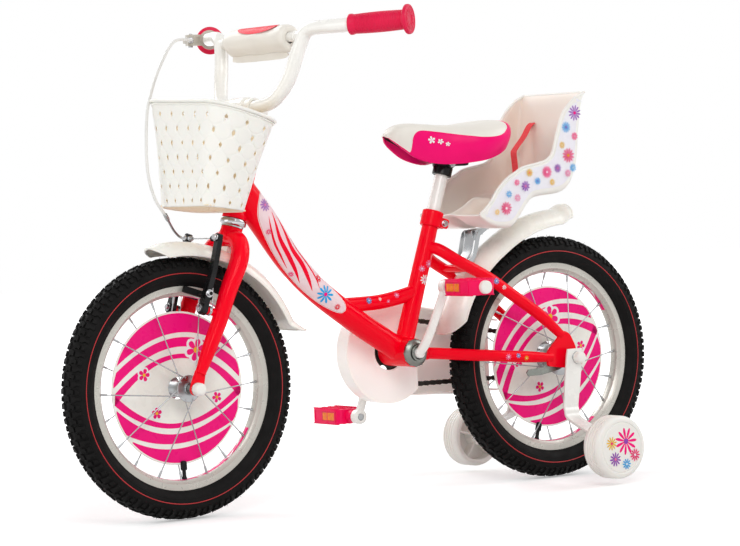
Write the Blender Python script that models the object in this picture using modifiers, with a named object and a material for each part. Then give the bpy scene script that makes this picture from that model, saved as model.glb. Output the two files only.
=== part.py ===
# Child's bicycle with 16 inch wheels, trainer wheels, a handlebar basket and a doll seat.
# Metres. +X points forward, +Y to the rider's left, +Z up. The origin is on the ground,
# midway between the two wheel axles.

import math

import bmesh
import bpy
from mathutils import Matrix, Vector

# Overall layout
WHEELBASE = 0.7347
WHEEL_RADIUS = 0.203
BB_FORWARD = 0.306
BB_HEIGHT = 0.230
SEAT_ANGLE = math.radians(71.7)
HEAD_ANGLE = math.radians(72.0)
FORK_RAKE = 0.0296
GAP = 0.0003
RUN_CLEARANCE = 0.002

# Wheels
TYRE_WIDTH = 0.048
RIM_RADIUS = 0.157
RIM_WIDTH = 0.025
RIM_DEPTH = 0.015
RIM_WALL = 0.0018
SPOKE_COUNT = 20
SPOKE_RADIUS = 0.0010
SPOKE_LEAD = math.radians(38)
SPOKE_END_Y = 0.0030
DISC_RADIUS = 0.118
DISC_THICKNESS = 0.0016
AXLE_RADIUS = 0.005
FRONT_HUB_BARREL = 0.0125
FRONT_HUB_FLANGE = 0.021
FRONT_HUB_WIDTH = 0.070
REAR_HUB_BARREL = 0.021
REAR_HUB_FLANGE = 0.031
REAR_HUB_WIDTH = 0.074
HUB_FLANGE_THICKNESS = 0.003
COASTER_ARM_THICKNESS = 0.0026
FRONT_DROPOUT_WIDTH = 0.098
REAR_DROPOUT_WIDTH = 0.110
WHEEL_STEPS = 32

# Frame tubes
DOWN_TUBE_TOP_RADIUS = 0.0245
DOWN_TUBE_LOW_RADIUS = 0.0195
SEAT_TUBE_LENGTH = 0.238
SEAT_STAY_RADIUS = 0.0098
CHAIN_STAY_RADIUS = 0.0095
STAY_SPREAD = 0.049
HEAD_TUBE_RADIUS = 0.0175
HEAD_TUBE_LENGTH = 0.105
HEAD_TUBE_START = 0.279
BRACE_RADIUS = 0.0120
BB_SHELL_RADIUS = 0.023
BB_SHELL_WIDTH = 0.070
DROPOUT_THICKNESS = 0.005
DOWN_TUBE_SAG = 0.030
SEAT_TUBE_LOW_RADIUS = 0.0155
SEAT_TUBE_TOP_RADIUS = 0.0129
SEAT_BORE_START = 0.085
BRIDGE_RADIUS = 0.006
LOW_BRIDGE_X = -0.072
CUP_RADIUS = 0.022
CLAMP_HEIGHT = 0.026

# Front end
STEERER_RADIUS = 0.0127
FORK_BLADE_SPREAD = 0.050
FORK_BLADE_TOP_RADIUS = 0.0145
FORK_BLADE_LOW_RADIUS = 0.0100
BRAKE_PIVOT_UP = 0.1223
BRAKE_PIVOT_FORWARD = 0.0470
BRAKE_ARM_LENGTH = 0.112
BRAKE_ARM_SPREAD = 0.0460
QUILL_RADIUS = 0.0111
BAR_RADIUS = 0.0111
BAR_RISE_HALF_WIDTH = 0.115
BAR_HALF_WIDTH = 0.278
GRIP_RADIUS = 0.0150
GRIP_FLANGE_RADIUS = 0.023
GRIP_LENGTH = 0.098
PAD_RADIUS = 0.020
PAD_LENGTH = 0.150
LEVER_LENGTH = 0.085
STEERER_WALL = 0.0013
STEERER_CLEARANCE = 0.0015
FORK_CROWN_UP = 0.2485
BRAKE_ARM_THICKNESS = 0.009
BRAKE_STUD_RADIUS = 0.0040
BAR_CLAMP_UP = 0.450
BAR_CLAMP_FORWARD = 0.032
QUILL_DEPTH = 0.105
STEM_CLAMP_RADIUS = 0.0165
STEM_CLAMP_WIDTH = 0.040
BAR_RISE = 0.110
BAR_BACK = 0.041
BAR_STRAIGHT = 0.125
BAR_SWEEP = 0.125
BAR_TIP_RISE = 0.011
CROSSBAR_RADIUS = 0.008
CROSSBAR_RISE = 0.106
LEVER_PIVOT_AHEAD = 0.031
LEVER_THICKNESS = 0.009
NOODLE_RADIUS = 0.0025
CABLE_RADIUS = 0.0024

# Basket
BASKET_TOP_LENGTH = 0.120
BASKET_TOP_WIDTH = 0.245
BASKET_LENGTH_TAPER = 0.6333
BASKET_WIDTH_TAPER = 0.6939
BASKET_HEIGHT = 0.146
BASKET_LOW_UP = 0.277
BASKET_REAR_FORWARD = 0.022
BASKET_WALL = 0.0025
BASKET_CORNER = 0.050
BASKET_LIP = 0.004
HOOK_SPREAD = 0.031

# Drive
CRANK_LENGTH = 0.112
CRANK_ANGLE = math.radians(109.8)
CRANK_ARM_RADIUS = 0.0072
CRANK_SPREAD = 0.075
CRANK_EYE_RADIUS = 0.012
CRANK_EYE_THICKNESS = 0.014
RING_TEETH = 28
SPROCKET_TEETH = 16
CHAIN_PITCH = 0.0127
CHAIN_LINE = 0.042
CHAIN_WIDTH = 0.0066
CHAIN_INNER_WIDTH = 0.0036
CHAIN_CREST = 0.0042
CHAIN_WAIST = 0.0030
ROLLER_RADIUS = 0.0037
RING_THICKNESS = 0.0026
TOOTH_RISE = 0.0024
TOOTH_TIP_WIDTH = 0.0018
SPROCKET_BORE_RADIUS = 0.0100
PEDAL_LENGTH = 0.078
PEDAL_DEPTH = 0.049
PEDAL_HEIGHT = 0.027
GUARD_RADIUS = 0.085
GUARD_OUTER_Y = -0.0645
GUARD_DEPTH = 0.030
GUARD_WALL = 0.0022
CRANK_AXLE_RADIUS = 0.0085
SPINDLE_RADIUS = 0.0060
GUARD_REAR = 0.080
GUARD_REAR_TOP = 0.066
GUARD_REAR_LOW = 0.052
GUARD_CRANK_HOLE = 0.034
GUARD_SHELL_HOLE = 0.030
GUARD_LIP = 0.003

# Fenders
FENDER_RADIUS = 0.2240
FRONT_FENDER_WIDTH = 0.058
REAR_FENDER_WIDTH = 0.062
FENDER_WALL = 0.0020

# Saddle
POST_RADIUS = 0.0111
SADDLE_LENGTH = 0.234
SADDLE_HALF_WIDTH = 0.075
SADDLE_HEIGHT = 0.071
SADDLE_CLAMP_HEIGHT = 0.024
SADDLE_CLAMP_WALL = 0.005
SADDLE_SET_BACK = 0.1193
POST_LENGTH = 0.184
POST_FOOT_LIFT = 0.045

# Trainer wheels
TRAINER_RADIUS = 0.0515
TRAINER_LIFT = 0.010
TRAINER_WIDTH = 0.040
TRAINER_OUTER_Y = 0.210
TRAINER_FORWARD = 0.024
TRAINER_BAR_WIDTH = 0.040
TRAINER_BAR_THICKNESS = 0.005
TRAINER_BAR_TOP = 0.218
TRAINER_BOLT_RADIUS = 0.0050

# Doll seat
DOLL_SEAT_HALF_WIDTH = 0.080
DOLL_SEAT_WALL = 0.003
DOLL_SEAT_LENGTH = 0.228
DOLL_SEAT_HEIGHT = 0.2173
DOLL_SEAT_SET_BACK = 0.0343
DOLL_SEAT_Z = 0.4262
BRACKET_THICKNESS = 0.003

# Derived places
REAR_X = -WHEELBASE / 2
FRONT_X = WHEELBASE / 2
AXLE_Z = WHEEL_RADIUS
BB = Vector((REAR_X + BB_FORWARD, 0, BB_HEIGHT))
REAR_AXLE = Vector((REAR_X, 0, AXLE_Z))
FRONT_AXLE = Vector((FRONT_X, 0, AXLE_Z))
SIDE = Vector((0, 1, 0))
SEAT_DIR = Vector((-math.cos(SEAT_ANGLE), 0, math.sin(SEAT_ANGLE)))
HEAD_DIR = Vector((-math.cos(HEAD_ANGLE), 0, math.sin(HEAD_ANGLE)))
HEAD_FORWARD = Vector((math.sin(HEAD_ANGLE), 0, math.cos(HEAD_ANGLE)))
HEAD_FOOT = FRONT_AXLE - HEAD_FORWARD * FORK_RAKE
BASKET_LOW_LENGTH = BASKET_TOP_LENGTH * BASKET_LENGTH_TAPER
BASKET_LOW_WIDTH = BASKET_TOP_WIDTH * BASKET_WIDTH_TAPER
BASKET_LOW_FORWARD = BASKET_REAR_FORWARD + BASKET_LOW_LENGTH / 2
BASKET_TOP_UP = BASKET_LOW_UP + BASKET_HEIGHT
BASKET_TOP_FORWARD = BASKET_REAR_FORWARD + BASKET_TOP_LENGTH / 2


def on_head(up, forward=0.0, side=0.0):
    """A point in the steering frame: distance up the head axis, ahead of it and to the left."""
    return HEAD_FOOT + HEAD_DIR * up + HEAD_FORWARD * forward + SIDE * side


def from_rear(x, y, z):
    """A point given from the rear axle's ground point."""
    return Vector((REAR_X + x, y, z))


for old in list(bpy.data.objects):
    bpy.data.objects.remove(old, do_unlink=True)

PARTS = bpy.data.collections.new("kids_bike")
CUTTERS = bpy.data.collections.new("cutters")
bpy.context.scene.collection.children.link(PARTS)
bpy.context.scene.collection.children.link(CUTTERS)


def material(name, colour, roughness, metallic=0.0):
    mat = bpy.data.materials.new(name)
    mat.use_nodes = True
    shader = mat.node_tree.nodes["Principled BSDF"]
    shader.inputs["Base Color"].default_value = (*colour, 1.0)
    shader.inputs["Roughness"].default_value = roughness
    shader.inputs["Metallic"].default_value = metallic
    return mat


RED = material("red_paint", (0.86, 0.002, 0.016), 0.24)
CREAM = material("cream_paint", (0.83, 0.79, 0.70), 0.30)
CREAM_PLASTIC = material("cream_plastic", (0.82, 0.78, 0.69), 0.40)
PINK = material("pink_plastic", (0.80, 0.008, 0.08), 0.38)
CHROME = material("chrome", (0.75, 0.75, 0.76), 0.12, 1.0)
STEEL = material("steel", (0.50, 0.50, 0.52), 0.30, 1.0)
ALLOY = material("alloy", (0.60, 0.60, 0.62), 0.28, 1.0)
BLACK = material("black_plastic", (0.02, 0.02, 0.02), 0.45)
DARK_STEEL = material("dark_steel", (0.05, 0.05, 0.055), 0.35, 1.0)
TYRE_RUBBER = material("tyre_rubber", (0.025, 0.025, 0.025), 0.75)
STRAP_RED = material("strap_red", (0.60, 0.02, 0.03), 0.60)


def add_object(name, mesh, collection=PARTS):
    obj = bpy.data.objects.new(name, mesh)
    collection.objects.link(obj)
    return obj


def mesh_object(name, verts, faces):
    """An object of given points and faces, its faces turned outwards."""
    mesh = bpy.data.meshes.new(name)
    mesh.from_pydata(verts, [], faces)
    work = bmesh.new()
    work.from_mesh(mesh)
    loose = [v for v in work.verts if not v.link_faces]
    bmesh.ops.delete(work, geom=loose, context="VERTS")
    bmesh.ops.recalc_face_normals(work, faces=work.faces)
    work.to_mesh(mesh)
    work.free()
    return add_object(name, mesh)


def set_material(obj, mat):
    obj.data.materials.clear()
    obj.data.materials.append(mat)


def smooth(obj, degrees=35):
    obj.data.shade_smooth()
    obj.data.set_sharp_from_angle(angle=math.radians(degrees))


def bake(obj):
    """Replaces an object's data by its evaluated mesh, welded, in world space."""
    bpy.context.view_layer.update()
    graph = bpy.context.evaluated_depsgraph_get()
    mesh = bpy.data.meshes.new_from_object(obj.evaluated_get(graph))
    mesh.transform(obj.matrix_world)
    name = obj.name
    mats = [slot.material for slot in obj.material_slots if slot.material]
    collection = obj.users_collection[0]
    bpy.data.objects.remove(obj, do_unlink=True)
    work = bmesh.new()
    work.from_mesh(mesh)
    bmesh.ops.remove_doubles(work, verts=work.verts, dist=0.00002)
    bmesh.ops.recalc_face_normals(work, faces=work.faces)
    work.to_mesh(mesh)
    work.free()
    made = add_object(name, mesh, collection)
    if mats and not mesh.materials:
        mesh.materials.append(mats[0])
    return made


def turned(name, profile, axis_point, axis, steps=32, closed=False):
    """A turned piece. The profile is (radius, height) pairs down its outer side."""
    mesh = bpy.data.meshes.new(name)
    verts = [(r, 0.0, h) for r, h in profile]
    edges = [(i, i + 1) for i in range(len(verts) - 1)]
    if closed:
        edges.append((len(verts) - 1, 0))
    mesh.from_pydata(verts, edges, [])
    obj = add_object(name, mesh)
    screw = obj.modifiers.new("turn", "SCREW")
    screw.steps = steps
    screw.render_steps = steps
    screw.use_merge_vertices = True
    screw.merge_threshold = 0.00005
    turn = Vector(axis).to_track_quat("Z", "Y").to_matrix().to_4x4()
    obj.matrix_world = Matrix.Translation(axis_point) @ turn
    return bake(obj)


def rod(name, start, end, radius, steps=16, end_radius=None, hollow=0.0):
    """A straight round bar or cone between two points, bored if hollow is set."""
    start, end = Vector(start), Vector(end)
    length = (end - start).length
    top = radius if end_radius is None else end_radius
    if hollow > 0:
        profile = [(hollow, length), (top, length), (radius, 0), (hollow, 0)]
        return turned(name, profile, start, end - start, steps, closed=True)
    profile = [(0, length), (top, length), (radius, 0), (0, 0)]
    return turned(name, profile, start, end - start, steps)


def bored(name, start, end, radius, steps=16):
    """A cutter whose flats, not its corners, stand at the radius."""
    return rod(name, start, end, radius / math.cos(math.pi / steps), steps)


def smooth_route(points, per_span=4):
    """Points along a Catmull-Rom curve through the given ones; extra values ride along."""
    rows = [tuple(p) for p in points]
    ends = [rows[0]] + rows + [rows[-1]]
    out = []
    for i in range(1, len(ends) - 2):
        a, b, c, d = ends[i - 1], ends[i], ends[i + 1], ends[i + 2]
        for k in range(per_span):
            t = k / per_span
            row = []
            for n in range(len(b)):
                first = 2 * b[n] + (c[n] - a[n]) * t
                second = (2 * a[n] - 5 * b[n] + 4 * c[n] - d[n]) * t * t
                third = (3 * b[n] - a[n] - 3 * c[n] + d[n]) * t * t * t
                row.append(0.5 * (first + second + third))
            out.append(tuple(row))
    out.append(rows[-1])
    return out


def tube(name, points, radius, resolution=4):
    """A tube along a route. A point may carry its own radius as a fourth value."""
    curve = bpy.data.curves.new(name, "CURVE")
    curve.dimensions = "3D"
    curve.bevel_depth = radius
    curve.bevel_resolution = resolution
    curve.use_fill_caps = True
    curve.twist_mode = "MINIMUM"
    spline = curve.splines.new("POLY")
    spline.points.add(len(points) - 1)
    for point, row in zip(spline.points, points):
        point.co = (row[0], row[1], row[2], 1.0)
        point.radius = row[3] / radius if len(row) > 3 else 1.0
    obj = add_object(name, curve)
    return bake(obj)


def plate(name, outlines, thickness, matrix=Matrix.Identity(4)):
    """A flat plate: a filled 2D outline, with holes as further outlines, extruded."""
    curve = bpy.data.curves.new(name, "CURVE")
    curve.dimensions = "2D"
    curve.fill_mode = "BOTH"
    curve.extrude = thickness / 2
    for outline in outlines:
        spline = curve.splines.new("POLY")
        spline.points.add(len(outline) - 1)
        for point, (x, y) in zip(spline.points, outline):
            point.co = (x, y, 0.0, 1.0)
        spline.use_cyclic_u = True
    obj = add_object(name, curve)
    obj.matrix_world = matrix
    return bake(obj)


def side_matrix(origin, y):
    """Places a 2D outline in the bicycle's side plane: its x forward and its y up."""
    turn = Matrix(((1, 0, 0, 0), (0, 0, -1, 0), (0, 1, 0, 0), (0, 0, 0, 1)))
    return Matrix.Translation((origin[0], y, origin[2])) @ turn


def circle(radius, count=24, centre=(0.0, 0.0), start=0.0, sweep=2 * math.pi):
    full = abs(sweep - 2 * math.pi) < 1e-9
    total = count if full else count - 1
    out = []
    for i in range(count):
        a = start + sweep * i / total
        out.append((centre[0] + radius * math.cos(a), centre[1] + radius * math.sin(a)))
    return out


def round_hole(radius, count=16):
    """A hole's outline whose flats stand at the radius."""
    return circle(radius / math.cos(math.pi / count), count)


def box(name, size, matrix=Matrix.Identity(4), bevel=0.0, segments=2):
    bpy.ops.mesh.primitive_cube_add(size=1.0)
    obj = bpy.context.object
    for collection in list(obj.users_collection):
        collection.objects.unlink(obj)
    PARTS.objects.link(obj)
    obj.name = name
    obj.data.transform(Matrix.Diagonal((size[0], size[1], size[2], 1.0)))
    obj.matrix_world = matrix
    if bevel > 0:
        mod = obj.modifiers.new("bevel", "BEVEL")
        mod.width = bevel
        mod.segments = segments
    return bake(obj)


def combine(target, other, operation="UNION", keep=False):
    """Unites the target with another object, or cuts it by that object."""
    mod = target.modifiers.new("bool", "BOOLEAN")
    mod.operation = operation
    mod.solver = "EXACT"
    mod.object = other
    name = target.name
    made = bake(target)
    if keep:
        for collection in list(other.users_collection):
            collection.objects.unlink(other)
        CUTTERS.objects.link(other)
        other.hide_render = True
        other.display_type = "WIRE"
    else:
        bpy.data.objects.remove(other, do_unlink=True)
    made.name = name
    return made


def unite(name, pieces):
    result = pieces[0]
    for piece in pieces[1:]:
        result = combine(result, piece)
    result.name = name
    return result


def cut(target, cutters):
    for cutter in cutters:
        target = combine(target, cutter, "DIFFERENCE")
    return target


def finish(obj, name, mat, degrees=35):
    obj.name = name
    obj.data.name = name
    set_material(obj, mat)
    smooth(obj, degrees)
    return obj


def mirrored(obj, name):
    """A copy of a piece on the other side of the bicycle's middle plane."""
    mesh = obj.data.copy()
    mesh.transform(Matrix.Diagonal((1.0, -1.0, 1.0, 1.0)))
    mesh.flip_normals()
    made = add_object(name, mesh)
    mesh.name = name
    return made


PIVOTS = {}


def pivot(name, location, parent=None):
    """An empty on a joint's axis, which carries the pieces that move with that joint."""
    empty = bpy.data.objects.new(name, None)
    empty.empty_display_size = 0.03
    empty.location = location
    PARTS.objects.link(empty)
    bpy.context.view_layer.update()
    if parent is not None:
        empty.parent = PIVOTS[parent]
        empty.matrix_parent_inverse = PIVOTS[parent].matrix_world.inverted()
    bpy.context.view_layer.update()
    PIVOTS[name] = empty
    return empty


def carry(obj, pivot_name):
    """Hangs a finished piece on its joint's empty without moving it."""
    empty = PIVOTS[pivot_name]
    obj.parent = empty
    obj.matrix_parent_inverse = empty.matrix_world.inverted()
    return obj


# Wheels
BEAD_RADIUS = RIM_RADIUS - 0.0035
BEAD_Y = RIM_WIDTH / 2 - RIM_WALL - GAP
RIM_INNER_RADIUS = RIM_RADIUS - RIM_DEPTH


def mirror_profile(half):
    """A profile given from its top to its middle, carried on to its bottom."""
    return half + [(r, -h) for r, h in reversed(half)]


def make_tyre(name, axle):
    w = TYRE_WIDTH / 2
    tread = WHEEL_RADIUS
    outer = mirror_profile([
        (BEAD_RADIUS, BEAD_Y),
        (RIM_RADIUS + GAP, BEAD_Y),
        (RIM_RADIUS + 0.011, w - 0.0035),
        (tread - 0.021, w),
        (tread - 0.0060, w - 0.0045),
        (tread, w - 0.0145),
    ])
    tyre = turned(name, outer, axle, SIDE, WHEEL_STEPS, closed=True)
    return finish(tyre, name, TYRE_RUBBER)


def make_rim(name, axle):
    w = RIM_WIDTH / 2
    seat = BEAD_RADIUS - GAP
    profile = [
        (RIM_RADIUS, w),
        (RIM_RADIUS, w - RIM_WALL),
        (seat, w - RIM_WALL),
        (seat - 0.0045, 0.0),
        (seat, -w + RIM_WALL),
        (RIM_RADIUS, -w + RIM_WALL),
        (RIM_RADIUS, -w),
        (RIM_INNER_RADIUS, -w * 0.6),
        (RIM_INNER_RADIUS, w * 0.6),
    ]
    return finish(turned(name, list(reversed(profile)), axle, SIDE, WHEEL_STEPS, closed=True), name, ALLOY)


def make_hub(name, axle, barrel, flange, width):
    """A hub shell with its bore and two flanges, and the spokes hooked through them."""
    bore = AXLE_RADIUS + 0.0006
    half = width / 2
    plate_y = half - 0.004
    profile = mirror_profile([
        (bore, half),
        (barrel * 0.8, half),
        (barrel * 0.8, plate_y),
        (flange, plate_y),
        (flange, plate_y - HUB_FLANGE_THICKNESS),
        (barrel, plate_y - HUB_FLANGE_THICKNESS),
    ])
    hub = turned(name, profile, axle, SIDE, 12, closed=True)
    middle = plate_y - HUB_FLANGE_THICKNESS / 2
    work = bmesh.new()
    root = flange - HUB_FLANGE_THICKNESS * 1.2
    reach = RIM_INNER_RADIUS * math.cos(math.pi / WHEEL_STEPS) - GAP * 2
    for i in range(SPOKE_COUNT):
        side = 1 if i % 2 == 0 else -1
        lead = 1 if (i // 2) % 2 == 0 else -1
        rim_angle = 2 * math.pi * i / SPOKE_COUNT
        hub_angle = rim_angle - lead * SPOKE_LEAD
        offset = lead * HUB_FLANGE_THICKNESS * 0.40
        start = Vector((root * math.cos(hub_angle), side * (middle + offset),
                        root * math.sin(hub_angle)))
        end = Vector((reach * math.cos(rim_angle), side * (SPOKE_END_Y + offset),
                      reach * math.sin(rim_angle)))
        span = end - start
        turn = span.to_track_quat("Z", "Y").to_matrix().to_4x4()
        place = Matrix.Translation(axle + start + span / 2) @ turn
        bmesh.ops.create_cone(work, cap_ends=True, segments=3, radius1=SPOKE_RADIUS,
                              radius2=SPOKE_RADIUS, depth=span.length, matrix=place)
    mesh = bpy.data.meshes.new("spokes")
    work.to_mesh(mesh)
    work.free()
    hub = combine(hub, add_object("spokes", mesh))
    return finish(hub, name, STEEL)


def make_disc(name, axle, barrel):
    half = DISC_THICKNESS / 2
    profile = [(DISC_RADIUS, half), (DISC_RADIUS, -half), (barrel + GAP, -half),
               (barrel + GAP, half)]
    disc = turned(name, profile, axle - SIDE * 0.003, SIDE, 24, closed=True)
    return finish(disc, name, CREAM_PLASTIC)


def make_axle(name, axle, hub_width, dropout_width, end, arm_space=0.0):
    """An axle bar with the cones that fill the space between hub and dropouts."""
    cone = hub_width / 2 + 0.001
    shoulder = dropout_width / 2 - GAP
    half = [(0, end), (AXLE_RADIUS, end), (AXLE_RADIUS, shoulder), (0.0085, shoulder),
            (0.0085, cone), (AXLE_RADIUS, cone)]
    profile = mirror_profile(half)
    profile[2] = (AXLE_RADIUS, shoulder - arm_space)
    profile[3] = (0.0085, shoulder - arm_space)
    return finish(turned(name, profile, axle, SIDE, 8), name, STEEL)


def make_cap_nut(name, axle, side, inner_y, outer_y, radius=0.0095, mat=STEEL):
    """A domed hexagon nut over an axle's end, open towards the frame."""
    bore = (AXLE_RADIUS + GAP) / math.cos(math.pi / 8)
    length = outer_y - inner_y
    profile = [(0, length), (radius * 0.55, length - 0.0005), (radius * 0.85, length - 0.003),
               (radius, length - 0.006 if length > 0.008 else length * 0.4), (radius, 0),
               (bore, 0), (bore, length - 0.002), (0, length - 0.002)]
    nut = turned(name, profile, axle + SIDE * side * inner_y, SIDE * side, 8)
    return finish(nut, name, mat)


def make_ring_nut(name, axle, side, inner_y, outer_y, radius=0.0100, mat=STEEL):
    bore = (AXLE_RADIUS + GAP) / math.cos(math.pi / 6)
    length = outer_y - inner_y
    profile = [(bore, length), (radius, length), (radius, 0), (bore, 0)]
    nut = turned(name, profile, axle + SIDE * side * inner_y, SIDE * side, 6, closed=True)
    return finish(nut, name, mat)


pivot("steering_axis", on_head(HEAD_TUBE_START))
pivot("front_wheel_axis", FRONT_AXLE, "steering_axis")
pivot("rear_wheel_axis", REAR_AXLE)
pivot("sprocket_axis", REAR_AXLE)

front_tyre = carry(make_tyre("front_tyre", FRONT_AXLE), "front_wheel_axis")
rear_tyre = carry(make_tyre("rear_tyre", REAR_AXLE), "rear_wheel_axis")
front_rim = carry(make_rim("front_rim", FRONT_AXLE), "front_wheel_axis")
rear_rim = carry(make_rim("rear_rim", REAR_AXLE), "rear_wheel_axis")
front_hub = carry(make_hub("front_hub", FRONT_AXLE, FRONT_HUB_BARREL, FRONT_HUB_FLANGE,
                           FRONT_HUB_WIDTH), "front_wheel_axis")
rear_hub = carry(make_hub("rear_hub", REAR_AXLE, REAR_HUB_BARREL, REAR_HUB_FLANGE,
                          REAR_HUB_WIDTH), "rear_wheel_axis")
front_disc = carry(make_disc("front_disc", FRONT_AXLE, FRONT_HUB_BARREL), "front_wheel_axis")
rear_disc = carry(make_disc("rear_disc", REAR_AXLE, REAR_HUB_BARREL), "rear_wheel_axis")

FRONT_DROPOUT_Y = FRONT_DROPOUT_WIDTH / 2
REAR_DROPOUT_Y = REAR_DROPOUT_WIDTH / 2
FRONT_NUT_Y = FRONT_DROPOUT_Y + DROPOUT_THICKNESS + GAP
SPACER_Y = REAR_DROPOUT_Y + DROPOUT_THICKNESS + GAP
BRACKET_Y = SPACER_Y + 0.0094 + GAP
REAR_NUT_Y = BRACKET_Y + TRAINER_BAR_THICKNESS + GAP

front_axle = make_axle("front_axle", FRONT_AXLE, FRONT_HUB_WIDTH, FRONT_DROPOUT_WIDTH,
                       FRONT_NUT_Y + 0.0070)
carry(front_axle, "steering_axis")
rear_axle = make_axle("rear_axle", REAR_AXLE, REAR_HUB_WIDTH, REAR_DROPOUT_WIDTH,
                      REAR_NUT_Y + 0.0045, COASTER_ARM_THICKNESS + GAP)
for label, side in (("left", 1), ("right", -1)):
    nut = make_cap_nut("front_nut_" + label, FRONT_AXLE, side, FRONT_NUT_Y, FRONT_NUT_Y + 0.0098)
    carry(nut, "steering_axis")
    make_cap_nut("rear_nut_" + label, REAR_AXLE, side, REAR_NUT_Y, REAR_NUT_Y + 0.0070)
    make_ring_nut("rear_spacer_" + label, REAR_AXLE, side, SPACER_Y, BRACKET_Y - GAP)


# Frame
def down_tube_route():
    start = BB
    end = on_head(HEAD_TUBE_START + HEAD_TUBE_LENGTH * 0.43)
    span = end - start
    normal = Vector((span.z, 0, -span.x)).normalized()
    shape = ((0.0, 0.0), (0.12, 0.30), (0.25, 0.62), (0.48, 1.0), (0.66, 0.88), (0.86, 0.28),
             (1.0, 0.0))
    rows = []
    for t, sag in shape:
        place = start + span * t + normal * DOWN_TUBE_SAG * sag
        radius = DOWN_TUBE_LOW_RADIUS + (DOWN_TUBE_TOP_RADIUS - DOWN_TUBE_LOW_RADIUS) * t
        rows.append((*place, radius))
    return smooth_route(rows, 2)


DOWN_ROUTE = down_tube_route()
SEAT_TOP = BB + SEAT_DIR * SEAT_TUBE_LENGTH


def mix(a, b, t):
    return Vector(a) + (Vector(b) - Vector(a)) * t


def on_down_tube(share):
    """A point on the down tube's centre line and the tube's radius there."""
    place = share * (len(DOWN_ROUTE) - 1)
    i = min(int(place), len(DOWN_ROUTE) - 2)
    row = mix(DOWN_ROUTE[i][:3], DOWN_ROUTE[i + 1][:3], place - i)
    radius = DOWN_ROUTE[i][3] + (DOWN_ROUTE[i + 1][3] - DOWN_ROUTE[i][3]) * (place - i)
    return row, radius


def stay_point(end, share, bow, y, radius):
    """A point a share of the way from the rear axle to the end, bowed up by a share too."""
    span = end - REAR_AXLE
    place = REAR_AXLE + span * share + Vector((-span.z, 0, span.x)) * bow
    return (place.x, y, place.z, radius)


def seat_stay_route(side):
    top = BB + SEAT_DIR * (SEAT_TUBE_LENGTH * 0.74)
    end_y = REAR_DROPOUT_Y + DROPOUT_THICKNESS / 2
    r = SEAT_STAY_RADIUS
    return [
        (*top, r),
        (top.x - r * 1.22, side * r * 1.94, top.z - r * 0.31, r),
        stay_point(top, 0.8587, 0.0167, side * STAY_SPREAD * 0.735, r),
        stay_point(top, 0.6671, 0.0476, side * STAY_SPREAD * 0.888, r),
        stay_point(top, 0.4891, 0.0599, side * STAY_SPREAD * 0.980, r),
        stay_point(top, 0.2900, 0.0706, side * STAY_SPREAD * 1.082, r),
        stay_point(top, 0.1183, 0.0599, side * end_y, r * 0.75),
    ]


def chain_stay_route(side):
    end_y = REAR_DROPOUT_Y + DROPOUT_THICKNESS / 2
    r = CHAIN_STAY_RADIUS
    return [
        (BB.x - r * 1.26, side * r * 1.68, BB.z - r * 0.21, r),
        (BB.x - r * 4.63, side * r * 2.11, BB.z - r * 0.42, r),
        stay_point(BB, 0.6337, -0.0036, side * STAY_SPREAD * 0.714, r),
        stay_point(BB, 0.4571, -0.0042, side * STAY_SPREAD * 0.939, r),
        stay_point(BB, 0.2773, -0.0049, side * STAY_SPREAD * 1.041, r),
        stay_point(BB, 0.1303, -0.0049, side * end_y, r * 0.75),
    ]


def make_dropout(side):
    outline = [(0.050, 0.012), (0.050, -0.012), (0.012, -0.017), (-0.008, -0.014), (-0.014, 0.0),
               (-0.009, 0.020), (0.002, 0.040), (0.016, 0.046), (0.030, 0.030)]
    hole = round_hole(AXLE_RADIUS + GAP, 16)
    y = side * (REAR_DROPOUT_Y + DROPOUT_THICKNESS / 2)
    return plate("dropout", [outline, hole], DROPOUT_THICKNESS, side_matrix(REAR_AXLE, y))


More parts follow.
